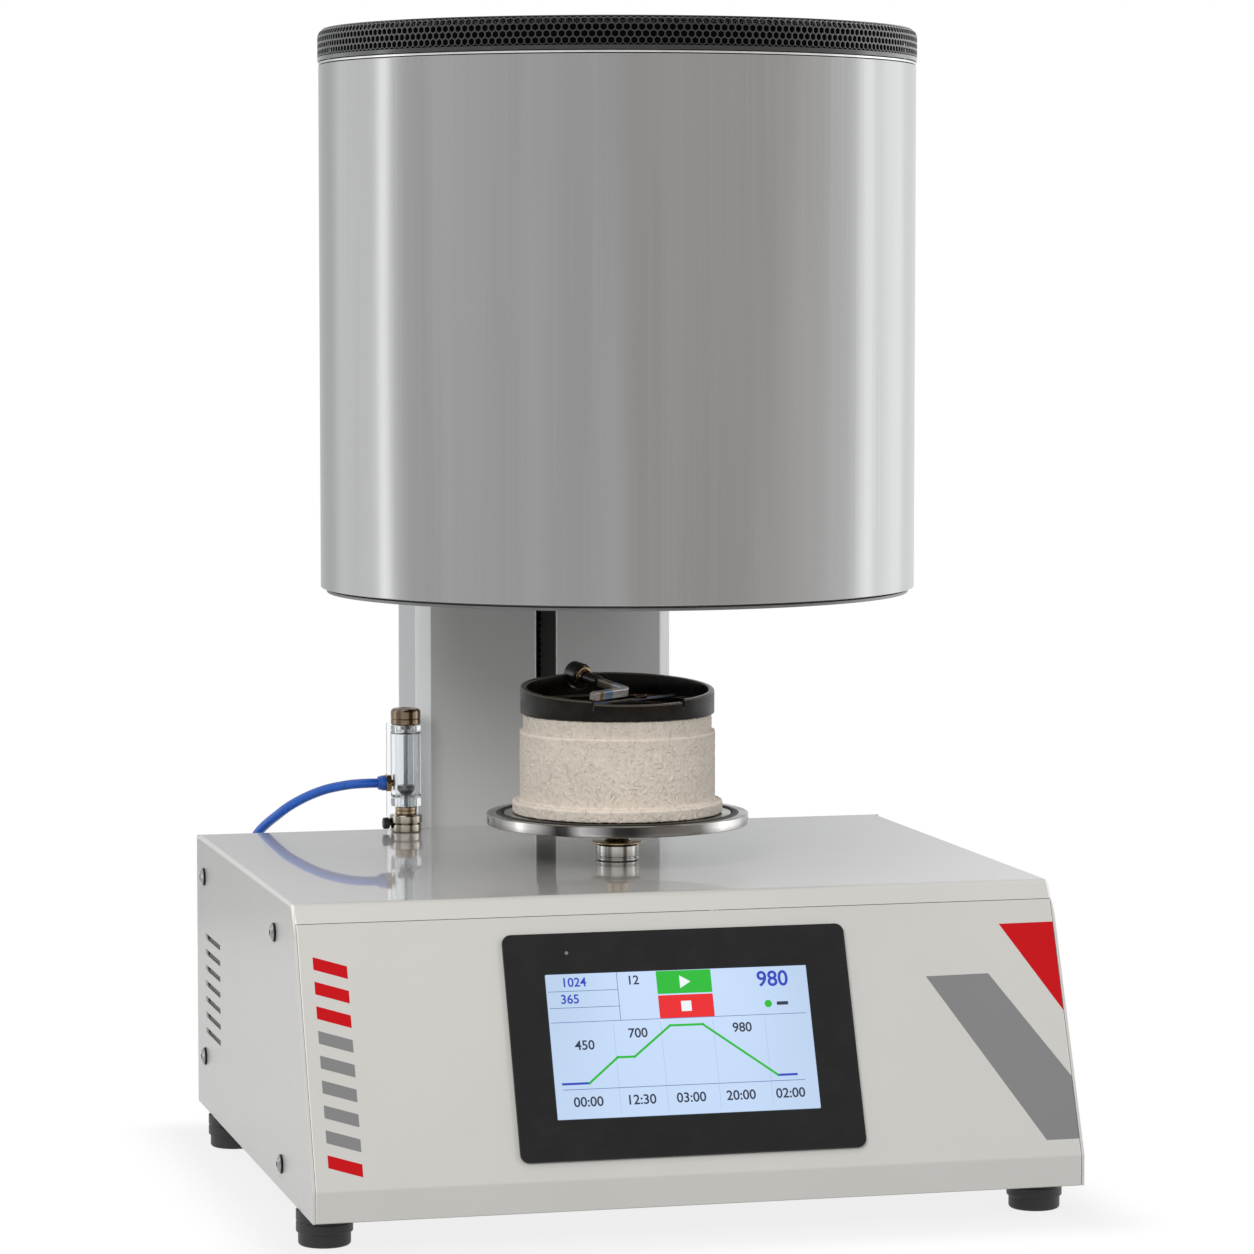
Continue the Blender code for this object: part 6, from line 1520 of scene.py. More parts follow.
# Ceramic base
PLUG_FLANGE = (0.0632, 0.0077)
PLUG_R = 0.0587
PLUG_BODY = 0.0420
PLUG_NECK = (0.0566, 0.0096)
WRINKLE_SIDES = 600
WRINKLE_ROWS = 126
WAVES = 46
BENDS = 6
PLUG_LIP = 0.0040
WAVE_LENGTHS = (0.0021, 0.0052)


def wrinkles(angle, along, radius):
    """A seamless field from about -1 to 1: many waves of a few millimetres whose crests are bent by others.

    Each wave goes a whole number of times round, so that the field closes on itself."""
    rng = np.random.default_rng(5)
    around = angle * radius
    bend = np.zeros_like(around)
    for _ in range(BENDS):
        turns = int(rng.integers(-14, 15))
        rate = rng.uniform(-220, 220)
        bend = bend + np.cos(turns * angle + rate * along + rng.uniform(0, 2 * math.pi))
    field = np.zeros_like(around)
    for _ in range(WAVES):
        rate = 2 * math.pi / rng.uniform(*WAVE_LENGTHS)
        way = rng.uniform(0, math.pi)
        turns = round(rate * radius * math.cos(way))
        phase = rng.uniform(0, 2 * math.pi)
        field = field + np.cos(turns * angle + rate * math.sin(way) * along + 1.1 * bend + phase)
    return np.tanh(field / math.sqrt(WAVES) * 1.1)


def make_ceramic():
    """The ceramic plug under the tray: its turned shape, covered with fine wrinkles."""
    node = "ceramic_base"
    flange, step = PLUG_FLANGE
    neck, neck_tall = PLUG_NECK
    shoulder = step + PLUG_BODY
    top = shoulder + neck_tall
    line = filleted([
        (flange - PLUG_LIP, 0), (flange, 0, 0.0010), (flange, step, 0.0014), (PLUG_R, step, 0.0010),
        (PLUG_R, shoulder, 0.0012), (neck, shoulder, 0.0008), (neck, top, 0.0008), (neck - PLUG_LIP, top),
    ])
    reach = np.concatenate([[0], np.cumsum(np.hypot(*np.diff(line, axis=0).T))])
    wanted = np.linspace(0, reach[-1], WRINKLE_ROWS)
    radius = np.interp(wanted, reach, line[:, 0])
    height = np.interp(wanted, reach, line[:, 1])
    normal_out = np.gradient(height)
    normal_up = -np.gradient(radius)
    size = np.hypot(normal_out, normal_up)
    angles = round_angles(WRINKLE_SIDES)
    angle, along = np.meshgrid(angles, wanted, indexing="xy")
    depth = sizes().wrinkle * (wrinkles(angle, along, PLUG_R) - 1) / 2
    across = radius[:, None] + depth * (normal_out / size)[:, None]
    level = height[:, None] + depth * (normal_up / size)[:, None]
    points = cylindrical(across, angle, np.maximum(level, 0))
    under, cap = (cylindrical(0, angles, height)[None] for height in (0, top))
    grid = moved(np.concatenate([under, points, cap]).reshape(-1, 3), on_axis(node))
    plug = surface("ceramic_plug", grid, grid_faces(WRINKLE_ROWS + 2, WRINKLE_SIDES), 60.0)
    foot = low(node).z
    # Heights of the shoulders that get a painted highlight.
    highlit_shoulders = (foot + step - 0.0006, foot + shoulder - 0.0008)
    pressed = finish_of("plug_ceramic", fibre_ceramic, tuple(look().ceramic), 1.0, highlit_shoulders)
    give(plug, pressed, "base", "ceramic", node)


# Tray
TRAY_R = 0.0582
TRAY_WALL = 0.0037
TRAY_FLOOR = 0.0020
TRAY_LEDGE = 0.0045
TRAY_LEDGE_HEIGHT = 0.0060
TRAY_FRONT = 0.0110
TRAY_BACK = 0.0195
SECTOR_DROP = 0.0015
SECTOR_HALF = 0.0275
NOTCH_HALF = 0.0005
NOTCH_SHARE = 0.62
TRAY_ROUND = 0.0008
TRAY_SIDES = 1440
STRIP_TURN = math.radians(36.0)
STRIP_HALF = (0.0542, 0.00325, 0.0015)
STRIP_TAPER = 0.0180
STRIP_THICK = 0.0010
STRIP_EDGE = 0.00015
HUB_ALONG = 0.0210
HUB_R = (0.0030, 0.0045)
HUB_HEIGHT = 0.0020
KNOB_BACK = (-0.0115, 0.0545)
KNOB_ABOVE = 0.0185
HOOK_REACH = Vector((0.0210, -0.0415, -0.0072))
HOOK_WAY = HOOK_REACH.normalized()
KNOB_R = 0.0077
KNOB_LENGTH = 0.0110


def tray_z():
    """The underside of the tray."""
    return low("tray_ring").z


def rim_height(angle, radius):
    """The height of the tray's rim: it leans up to the back, and is lower in front, at the notches and
    under the hook's knob."""
    x = radius * np.cos(angle)
    y = radius * np.sin(angle)
    rim = TRAY_FRONT + (TRAY_BACK - TRAY_FRONT) * (y + TRAY_R) / (2 * TRAY_R)
    in_front = y < 0
    rim = np.where(in_front & (np.abs(x) < SECTOR_HALF), rim - SECTOR_DROP, rim)
    at_notch = in_front & (np.abs(np.abs(x) - SECTOR_HALF) < NOTCH_HALF)
    rim = np.where(at_notch, rim * NOTCH_SHARE, rim)
    way = np.array(HOOK_WAY.to_2d()) / HOOK_WAY.to_2d().length
    away = np.stack([x - KNOB_BACK[0], y - KNOB_BACK[1]])
    along = away[0] * way[0] + away[1] * way[1]
    beside = away[0] * way[1] - away[1] * way[0]
    seat = KNOB_R + 2 * GAP
    under = KNOB_ABOVE + along * HOOK_WAY.z - np.sqrt(np.maximum(seat**2 - beside**2, 0))
    near = (np.abs(beside) < seat) & (y > 0) & (np.abs(along) < KNOB_LENGTH)
    return np.where(near, np.minimum(rim, under), rim)


def make_tray():
    """The black tray with its leaning rim, and the blued strip that lies across it."""
    angles = round_angles(TRAY_SIDES)
    inner = TRAY_R - TRAY_WALL
    ledge = inner - TRAY_LEDGE
    step = TRAY_LEDGE_HEIGHT
    quarter = np.linspace(0, math.pi / 2, 4)
    rows = [(0.0, 0), (TRAY_R - 0.0006, 0), (TRAY_R - 0.0002, 0.0002), (TRAY_R, 0.0006)]
    for edge, way, turns in ((TRAY_R, -1, quarter), (inner, 1, quarter[::-1])):
        rim = rim_height(angles, edge)
        rows += [
            (edge + way * TRAY_ROUND * (1 - math.cos(turn)), rim - TRAY_ROUND * (1 - math.sin(turn)))
            for turn in turns
        ]
    rows += [
        (inner, step + 0.0003), (inner - 0.0003, step), (ledge + 0.0005, step), (ledge, step - 0.0005),
        (ledge, TRAY_FLOOR + 0.0006), (ledge - 0.0006, TRAY_FLOOR), (0.0, TRAY_FLOOR),
    ]
    grid = np.concatenate([cylindrical(reach, angles, level) for reach, level in rows])
    grid = moved(grid, on_centre(tray_z()))
    tray = surface("tray_glazed", grid, grid_faces(len(rows), TRAY_SIDES), 42.0)
    give(tray, finish_of("tray_glaze", tray_glaze), "tray", "tray_black", "tray_ring")
    end, wide, narrow = STRIP_HALF
    neck = end - STRIP_TAPER
    outline = filleted([
        (-end, -narrow, 0.0012), (-neck, -wide, 0.006), (neck, -wide, 0.006), (end, -narrow, 0.0012),
        (end, narrow, 0.0012), (neck, wide, 0.006), (-neck, wide, 0.006), (-end, narrow, 0.0012),
    ], closed=True)
    level = tray_z() + TRAY_LEDGE_HEIGHT + GAP
    at = on_centre(level) @ Matrix.Rotation(STRIP_TURN, 4, "Z")
    small = outline * np.array((0.9985, 0.94))
    rings = [(small, 0), (outline, STRIP_EDGE), (outline, STRIP_THICK - STRIP_EDGE), (small, STRIP_THICK)]
    strip = plate("tray_strip_blank", rings, at)
    give(strip, finish_of("strip_blued", heat_blued, end, STRIP_TURN), "tray", "steel", "tray_strip")
    bore, hub = HUB_R
    foot = STRIP_THICK
    top = STRIP_THICK + HUB_HEIGHT
    ring = [(bore, foot, 0.0003), (hub, foot, 0.0002), (hub, top, 0.0007), (bore, top, 0.0005)]
    place = at @ Matrix.Translation((HUB_ALONG, 0, 0))
    bronze_hub = finish_of("hub_bronze", turned_metal, (0.16, 0.10, 0.06), tuple(place.translation))
    give(turned("strip_hub_ring", ring, place, 64, ring=True), bronze_hub, "tray", "steel")


# Hook
SLEEVE_R = 0.0036
SLEEVE_LENGTH = 0.0150
SLEEVE_BORE_R = 0.0018
SLEEVE_BORE = 0.0060
HOOK_COLLAR_R = 0.0062
HOOK_COLLAR = 0.0025
HOOK_BEND_R = 0.0060
HOOK_TIP = Vector((-0.0277, -0.0239, -0.0003))
BAR_HALF = (0.0023, 0.0025)
STUDS = 6
STUD_R = 0.0008
STUD_INSET = 0.0017


def hook_start():
    """The middle of the hook's knob."""
    return Vector((AXIS.x + KNOB_BACK[0], AXIS.y + KNOB_BACK[1], tray_z() + KNOB_ABOVE))


def hook_frame():
    """A frame at the knob with Z along the hook's axis."""
    return Matrix.Translation(hook_start()) @ HOOK_REACH.to_track_quat("Z", "Y").to_matrix().to_4x4()


def hook_line():
    """The bar's middle line: on along the axis, round the bend and back to its tip, with its rise."""
    corner = hook_start() + HOOK_REACH
    first = hook_start() + HOOK_WAY * (KNOB_LENGTH / 2 + SLEEVE_LENGTH + GAP)
    out = HOOK_TIP.normalized()
    half = (-HOOK_WAY).angle(out) / 2
    trim = HOOK_BEND_R / math.tan(half)
    enter = corner - HOOK_WAY * trim
    leave = corner + out * trim
    centre = corner + (out - HOOK_WAY).normalized() * (HOOK_BEND_R / math.sin(half))
    rise = (enter - centre).cross(leave - centre).normalized()
    sweep = (enter - centre).angle(leave - centre)
    line = [first.lerp(enter, share) for share in np.linspace(0, 1, 13)[:-1]]
    for share in np.linspace(0, 1, 21):
        line.append(centre + Matrix.Rotation(sweep * share, 3, rise) @ (enter - centre))
    tip = corner + HOOK_TIP
    line += [leave.lerp(tip, share) for share in np.linspace(0, 1, 13)[1:]]
    return np.array([tuple(point) for point in line]), np.array(rise)


def make_hook():
    """The hook that lies in the tray: a black knob with studs, a sleeve, a bronze ring and the bent bar."""
    at = hook_frame()
    half = KNOB_LENGTH / 2
    end = half + SLEEVE_LENGTH
    wide = SLEEVE_R + 0.0012
    knob = [
        (0, -half), (KNOB_R * 0.72, -half, 0.0008), (KNOB_R, 0.0016 - half, 0.0012),
        (KNOB_R, half - 0.0007, 0.0004), (KNOB_R - 0.0007, half, 0.0003), (wide, half, 0.0003),
        (wide, half - 0.0008, 0.0002), (SLEEVE_R, half - 0.0008, 0.0002), (SLEEVE_R, end, 0.0004),
        (SLEEVE_BORE_R, end, 0.0002), (SLEEVE_BORE_R, end - SLEEVE_BORE), (0, end - SLEEVE_BORE),
    ]
    black = finish_of("knob_black", moulded, (0.0130, 0.0115, 0.0105), 0.34, 1400.0, 0.00003, 0.3)
    give(turned("hook_knob_turned", knob, at, 96), black, "hook", "black_plastic", "hook_knob")
    bronze_ring = finish_of("hook_bronze", turned_metal, (0.27, 0.19, 0.115), tuple(hook_start()), 0.2)
    level = half + GAP
    bore = SLEEVE_R + GAP
    top = level + HOOK_COLLAR
    ring = [
        (bore, level, 0.0003), (HOOK_COLLAR_R, level, 0.0003),
        (HOOK_COLLAR_R, level + HOOK_COLLAR * 0.35, 0.0003), (wide, level + HOOK_COLLAR * 0.5, 0.0004),
        (wide, top, 0.0003), (bore, top, 0.0003),
    ]
    pieces = [turned("collar", ring, at, 72, ring=True)]
    reach = KNOB_R - STUD_INSET
    stud = [(0, -0.0004), (STUD_R, -0.0004), (STUD_R, 0.0006, STUD_R * 0.6), (0, 0.0009)]
    for n in range(STUDS):
        turn = 2 * math.pi * (n + 0.5) / STUDS
        place = at @ Matrix.Translation((reach * math.cos(turn), reach * math.sin(turn), half - 0.0003))
        pieces.append(turned(f"stud_{n}", stud, place, 20))
    give(joined("hook_collar_studded", *pieces), bronze_ring, "hook", "bronze", "hook_collar")
    make_hook_bar()


def make_hook_bar():
    """The bent bar, with its length kept as an attribute for its colours."""
    line, rise = hook_line()
    ahead = np.gradient(line, axis=0)
    ahead /= np.linalg.norm(ahead, axis=1, keepdims=True)
    side = np.cross(ahead, rise)
    side /= np.linalg.norm(side, axis=1, keepdims=True)
    section = ring_outline(*BAR_HALF, 0.0006, 4)
    swell = np.ones(len(line))
    swell[0] = 0.86
    swell[-1] = 0.80
    swell[-2] = 1.04
    made = swept("hook_bar_bent", line, section, swell, (side, np.repeat(rise[None], len(line), 0)))
    values = []
    for vertex in made.data.vertices:
        nearest = int(np.argmin(np.sum((line - np.array(vertex.co)) ** 2, axis=1)))
        values.append(nearest / (len(line) - 1))
    attribute = made.data.attributes.new("along", "FLOAT", "POINT")
    attribute.data.foreach_set("value", values)
    give(made, finish_of("hook_bar", bar_metal), "hook", "steel", "hook_arm")


# Flowmeter: heights above the base's top sheet
METER_LEVELS = (0.0003, 0.0055, 0.0110, 0.0162, 0.0220, 0.0636, 0.0678, 0.0782)
NUT_R = 0.0098
UPPER_NUT_R = 0.0104
RING_R = 0.0068
NUT_CHAMFER = 0.0008
GLASS_NECK_R = 0.0060
GLASS_R = 0.0096
GLASS_BORE_R = 0.0071
NECK_BORE_R = 0.0040
GLASS_WALL = 0.0012
ROD_R = 0.0012
FLOAT_R = 0.0055
VALVE_STEM = 0.0060
PORT_HEIGHT = 0.0311
PORT_NUT = (0.0058, 0.0033)
PORT_COLLET = (0.0048, 0.0048)


def hexagonal(across):
    """The flats that make a turned nut of this corner radius hexagonal."""
    return (across * math.cos(math.pi / 6), across * 1.01)


def make_flowmeter():
    """The flowmeter: nuts, ring, rod, glass, float, cap and the bracket behind it."""
    foot, upper, ring, neck, _, _, cap, _ = METER_LEVELS
    at = Matrix.Translation((middle("flowmeter_glass").x, middle("flowmeter_cap").y, TOP_Z))
    axis = tuple(at.translation)
    # Both with painted dark reflection bands along the axis.
    nickel = finish_of("meter_nickel", turned_metal, (0.60, 0.55, 0.47), axis, 0.15, streaks=0.75)
    brass = finish_of("meter_brass", turned_metal, (0.44, 0.34, 0.22), axis, 0.18, streaks=0.6)
    chamfer = NUT_CHAMFER
    lower = [
        (0, -0.0015), (NECK_BORE_R, -0.0015), (NECK_BORE_R, foot), (NUT_R - 0.0006, foot, 0.0004),
        (NUT_R, foot + 0.0005, 0.0003), (NUT_R, upper - chamfer, 0.0003), (NUT_R - chamfer, upper, 0.0003),
        (0, upper),
    ]
    flat = UPPER_NUT_R - chamfer
    nut = [
        (0, upper + SKIN), (flat, upper + SKIN, 0.0003), (UPPER_NUT_R, upper + chamfer, 0.0003),
        (UPPER_NUT_R, ring - chamfer, 0.0003), (flat, ring, 0.0003), (0, ring),
    ]
    nuts = joined("meter_nuts", turned("lower_nut", lower, at), turned("upper_nut", nut, at))
    give(nuts, nickel, "base", "bronze", "flowmeter_base")
    over = neck - GAP
    collar = [
        (0, ring + SKIN), (RING_R - 0.0004, ring + SKIN, 0.0002), (RING_R, ring + 0.0005, 0.0002),
        (RING_R, ring + 0.0022, 0.0002), (RING_R - 0.0005, ring + 0.0025, 0.0002),
        (RING_R, ring + 0.0028, 0.0002), (RING_R, over, 0.0006), (0, over),
    ]
    rod = [(0, over), (ROD_R, over), (ROD_R, cap - GAP, 0.0002), (0, cap - GAP)]
    give(turned("meter_ring", collar, at), brass, "base", "bronze")
    bright = finish_of("rod_steel", plain_metal, (0.20, 0.20, 0.205), 0.22)
    give(turned("meter_rod", rod, at, 24), bright, "base", "bronze")
    make_meter_glass(at)
    make_meter_ends(at, axis)


def make_meter_glass(at):
    """The glass tube with its square shoulders and an inner tube round the float's rod, and the float."""
    _, _, _, neck, glass, glass_top, cap, _ = METER_LEVELS
    floor = glass + GLASS_WALL
    roof = glass_top - GLASS_WALL
    outline = [
        (NECK_BORE_R, neck), (GLASS_NECK_R, neck, 0.0003), (GLASS_NECK_R, glass, 0.0004),
        (GLASS_R, glass, 0.0010), (GLASS_R, glass_top, 0.0010), (GLASS_NECK_R, glass_top, 0.0004),
        (GLASS_NECK_R, cap - GAP, 0.0003), (NECK_BORE_R, cap - GAP, 0.0002), (NECK_BORE_R, roof, 0.0003),
        (GLASS_BORE_R, roof, 0.0008), (GLASS_BORE_R, floor, 0.0008), (NECK_BORE_R, floor, 0.0003),
    ]
    tube = turned("meter_glass_tube", outline, at, ring=True)
    give(tube, finish_of("meter_glass", clear_glass), "base", "clear_glass", "flowmeter_glass")
    low_z = low("flowmeter_float").z - TOP_Z
    tall = height_of("flowmeter_float")
    bore = ROD_R + GAP
    float_line = [
        (bore, low_z, 0.0001), (FLOAT_R * 0.55, low_z, 0.0003), (FLOAT_R, low_z + tall * 0.5, 0.0006),
        (FLOAT_R, low_z + tall * 0.78, 0.0002), (FLOAT_R - 0.0006, low_z + tall * 0.84, 0.0002),
        (FLOAT_R, low_z + tall * 0.90, 0.0002), (FLOAT_R, low_z + tall, 0.0003), (bore, low_z + tall, 0.0001),
    ]
    steel = finish_of("float_steel", turned_metal, (0.16, 0.16, 0.17), tuple(at.translation), 0.24)
    bob = turned("meter_float_turned", float_line, at, 64, ring=True)
    give(bob, steel, "float", "black_metal", "flowmeter_float")


def make_meter_ends(at, axis):
    """The cap, the needle valve's knob, the port's fitting and the bracket."""
    *_, cap, top = METER_LEVELS
    reach = radius_of("flowmeter_cap")
    cap_line = [
        (0, cap - 0.0028), (0.0034, cap - 0.0028, 0.0003), (0.0034, cap), (reach - 0.0006, cap, 0.0003),
        (reach, cap + 0.0006, 0.0003), (reach, cap + 0.0034, 0.0002), (reach - 0.0005, cap + 0.0038, 0.0002),
        (reach, cap + 0.0042, 0.0002), (reach, top, 0.0028), (reach * 0.45, top, 0.0010),
        (reach * 0.40, top - 0.0005, 0.0003), (0, top - 0.0005),
    ]
    give(turned("meter_cap_turned", cap_line, at), bronze(), "base", "bronze", "flowmeter_cap")
    valve = middle("valve_knob")
    root = high("valve_knob").x - VALVE_STEM
    valve_at = Matrix.Translation((root, valve.y, valve.z)) @ ALONG_MINUS_X
    long = root - low("valve_knob").x
    radius = height_of("valve_knob") / 2
    knob = [
        (0, -0.0058), (0.0015, -0.0058, 0.0002), (0.0015, GAP), (radius - 0.0006, GAP, 0.0003),
        (radius, 0.0009, 0.0003), (radius, long, 0.0007), (0, long),
    ]
    grip = turned("valve_knob_turned", knob, valve_at, 64)
    give(grip, black_moulded(), "valve", "black_plastic", "valve_knob")
    port_at = Matrix.Translation((axis[0], axis[1], TOP_Z + PORT_HEIGHT)) @ ALONG_MINUS_X
    nut_r, nut_thick = PORT_NUT
    collet_r, collet_long = PORT_COLLET
    face = GLASS_R + GAP
    start = face + nut_thick
    nut = [
        (0, GLASS_BORE_R), (0.0022, GLASS_BORE_R, 0.0003), (0.0022, face), (nut_r - 0.0005, face, 0.0002),
        (nut_r, face + 0.0005, 0.0003), (nut_r, start - 0.0004, 0.0003), (nut_r - 0.0005, start, 0.0003),
        (0, start),
    ]
    port = turned("port_nut", nut, port_at, 72, flats=hexagonal(nut_r))
    centre = tuple(port_at.translation)
    port_bronze = finish_of("port_bronze", turned_metal, (0.50, 0.35, 0.19), centre, 0.18, along="X")
    give(port, port_bronze, "base", "bronze", "hose_fitting")
    stop = start + collet_long
    narrow = collet_r - 0.0005
    collet = [
        (0, start), (collet_r, start, 0.0003), (collet_r, start + collet_long * 0.55, 0.0003),
        (narrow, start + collet_long * 0.62, 0.0002), (narrow, stop, 0.0006), (0, stop),
    ]
    blue = finish_of("collet_blue", moulded, (0.004, 0.080, 0.420), 0.32, 1500.0, 0.00002, 0.4)
    give(turned("port_collet", collet, port_at, 64), blue, "base", "blue_hose")
    bracket = dressed("meter_bracket_body", "flowmeter_bracket", 0.0004)
    give(bracket, finish_of("bracket_acrylic", clear_plastic), "base", "clear_glass", "flowmeter_bracket")


# Gas hose: the route from the port's mouth to the elbow's
HOSE_R = 0.0030
HOSE_STEPS = 64
HOSE_PARTS = 24
ELBOW_MOUTH = 0.0070
HOSE_FROM_PORT = (
    (0, 0, 0), (-0.0070, 0, 0), (-0.0185, 0.0030, -0.0010), (-0.0330, 0.0085, -0.0045),
    (-0.0470, 0.0140, -0.0110), (-0.0590, 0.0190, -0.0195),
)
HOSE_FROM_ELBOW = ((0.0030, 0.0005, 0.0360), (0, 0, 0.0180), (0, 0, 0.0060), (0, 0, 0))


def hose_route():
    """Evenly spaced points on a smooth curve through the hose's route."""
    port = Vector((low("hose_fitting").x - GAP, middle("hose_fitting").y, middle("hose_fitting").z))
    top = high("bulkhead_fitting")
    elbow = Vector((middle("bulkhead_fitting").x, top.y - ELBOW_MOUTH, top.z + GAP))
    given = [np.array(port + Vector(offset)) for offset in HOSE_FROM_PORT]
    given += [np.array(elbow + Vector(offset)) for offset in HOSE_FROM_ELBOW]
    padded = [2 * given[0] - given[1], *given, 2 * given[-1] - given[-2]]
    t = np.linspace(0, 1, HOSE_PARTS, endpoint=False)[:, None]
    fine = []
    for a, b, c, d in zip(padded, padded[1:], padded[2:], padded[3:]):
        square = 2 * a - 5 * b + 4 * c - d
        cube = 3 * b - a - 3 * c + d
        fine.append((2 * b + (c - a) * t + square * t**2 + cube * t**3) / 2)
    fine = np.concatenate([*fine, given[-1:]])
    reach = np.concatenate([[0], np.cumsum(np.linalg.norm(np.diff(fine, axis=0), axis=1))])
    wanted = np.linspace(0, reach[-1], HOSE_STEPS + 1)
    route = np.stack([np.interp(wanted, reach, fine[:, n]) for n in range(3)], -1)
    return route, float(reach[-1])


def make_hose():
    """The blue gas hose from the flowmeter's port to the elbow at the back."""
    route, long = hose_route()
    curve = bpy.data.curves.new("gas_hose_line", "CURVE")
    curve.dimensions = "3D"
    curve.bevel_depth = HOSE_R
    curve.bevel_resolution = 6
    curve.use_fill_caps = True
    spline = curve.splines.new("POLY")
    spline.points.add(len(route) - 1)
    for place, point in zip(spline.points, route):
        place.co = (*point, 1)
    spline.use_smooth = True
    hose = linked("gas_hose_tube", curve)
    give(hose, finish_of("hose_blue", hose_plastic, tuple(look().hose)), "base", "blue_hose", "gas_hose")
    brass = finish_of("elbow_brass", plain_metal, (0.50, 0.40, 0.25), 0.24)
    give(dressed("elbow_fitting", "bulkhead_fitting", 0.0004), brass, "base", "bronze", "bulkhead_fitting")


# Rear equipment
GUARD_WIRE_R = 0.0008
GUARD_RINGS = (0.0270, 0.0195, 0.0120)
SPOKE_ENDS = (0.0110, 0.0330)
PIN_SIZE = (0.0010, 0.0032)
PIN_LONG = 0.0130
PIN_PLACES = ((-0.0070, 0.0030), (0.0070, 0.0030), (0.0, -0.0045))
SOCKET_BELOW = 0.0125
SOCKET_RECESS = 0.0035


def make_rear():
    """The fan with its rotor and finger guard, the power inlet with its pins, and the rocker."""
    for node, body in (
        ("fan_frame", "base"), ("fan_rotor", "fan_rotor"), ("power_inlet", "base"),
        ("rocker_switch", "rocker"),
    ):
        give(dressed(node + "_moulded", node, 0.0005), black_moulded(), body, "black_plastic", node)
    make_finger_guard()
    inlet = middle("power_inlet")
    root = high("power_inlet").y - SOCKET_RECESS - PIN_LONG
    pins = []
    for n, (across, up) in enumerate(PIN_PLACES):
        at = Matrix.Translation((inlet.x + across, root, inlet.z - SOCKET_BELOW + up)) @ ALONG_Y
        pins.append(slab(f"pin_{n}", PIN_SIZE, 0.0004, PIN_LONG, at, 0.0003))
    nickel = finish_of("pin_nickel", plain_metal, (0.60, 0.58, 0.54), 0.25)
    give(joined("inlet_pins", *pins), nickel, "base", "chrome")


def make_finger_guard():
    """The fan's wire guard on the rear panel: three rings and four spokes, just behind the sheet."""
    centre = middle("fan_frame")
    y = high("rear_panel").y + GUARD_WIRE_R + SKIN
    at = Matrix.Translation((centre.x, y, centre.z)) @ ALONG_Y
    wires = []
    for n, radius in enumerate(GUARD_RINGS):
        section = circle(GUARD_WIRE_R, 8) + np.array((radius, 0))
        wires.append(turned(f"guard_ring_{n}", section, at, 72, ring=True))
    hub = np.array((centre.x, y + GUARD_WIRE_R * 1.5, centre.z))
    for n in range(4):
        turn = math.pi / 4 + math.pi / 2 * n
        way = np.array((math.cos(turn), 0, math.sin(turn)))
        first, last = (hub + way * reach for reach in SPOKE_ENDS)
        wires.append(bar(f"guard_spoke_{n}", first, last, GUARD_WIRE_R))
    guard = joined("fan_finger_guard", *wires)
    give(guard, finish_of("guard_wire", plain_metal, (0.55, 0.55, 0.56), 0.2), "base", "chrome")


def make_board():
    """The circuit board on its pillars."""
    board = dressed("controller_board", "control_board")
    give(board, finish_of("board", board_green), "base", "circuit_board", "control_board")


# Stage
CAMERA_LENS = 133.585
CAMERA_SENSOR = 36.0
CAMERA_PLACE = (-0.67878, -2.71219, 0.54198)
CAMERA_TURN = (math.radians(90 - 4.3825), 0.0, math.radians(-14.2999))
CAMERA_BEARING = math.atan2(CAMERA_PLACE[1] - AXIS.y, CAMERA_PLACE[0] - AXIS.x)


def make_camera():
    """The camera, solved from the photo's edges."""
    lens = bpy.data.cameras.new("camera")
    lens.sensor_width = CAMERA_SENSOR
    lens.lens = CAMERA_LENS
    camera = linked("camera", lens)
    camera.location = CAMERA_PLACE
    camera.rotation_euler = CAMERA_TURN
    bpy.context.scene.camera = camera


# Lamps: bearing from the camera's, distance, height, width, height of the lamp, watts, colour
LAMPS = (
    ("key", -20.0, 2.8, 1.70, 1.60, 1.20, 44.0, (1.0, 0.985, 0.96)),
    ("fill_left", -78.0, 2.4, 0.90, 0.90, 1.60, 6.0, (0.80, 0.92, 1.0)),
    ("fill_right", 66.0, 2.4, 1.10, 0.80, 1.60, 14.0, (0.96, 0.98, 1.0)),
    ("over", 8.0, 0.9, 2.60, 1.40, 1.00, 9.0, (1.0, 1.0, 1.0)),
)
LAMP_AIM = 0.30
# What shiny surfaces see round the furnace: bearing from the camera's in degrees, then brightness
SURROUND = (
    (-180, 0.60), (-159, 0.62), (-140, 0.62), (-133, 0.72), (-126, 1.02), (-102, 1.12), (-98, 1.25),
    (-95, 1.95), (-92, 1.95), (-89, 1.20), (-84, 0.93), (-80, 0.80), (-57, 0.76), (0, 0.72), (8, 0.65),
    (38, 0.63), (52, 0.68), (63, 0.72), (71, 0.82), (83, 0.92), (88, 1.02), (96, 1.12), (100, 1.60),
    (103, 1.95), (107, 1.90), (111, 1.50), (117, 1.60), (131, 1.50), (137, 1.15), (144, 1.05), (154, 0.92),
    (180, 0.60),
)
SURROUND_R = 1.15
SURROUND_LOW = -0.2
SURROUND_TALL = 3.0
BRIGHTEST = 2.0
WARM = (1.0, 0.968, 0.935)
COOL = (0.985, 1.0, 1.008)
WARM_BEARINGS = (2, 80)
ROOM = 0.38
WHITE = (1.0, 1.0, 1.0, 1.0)


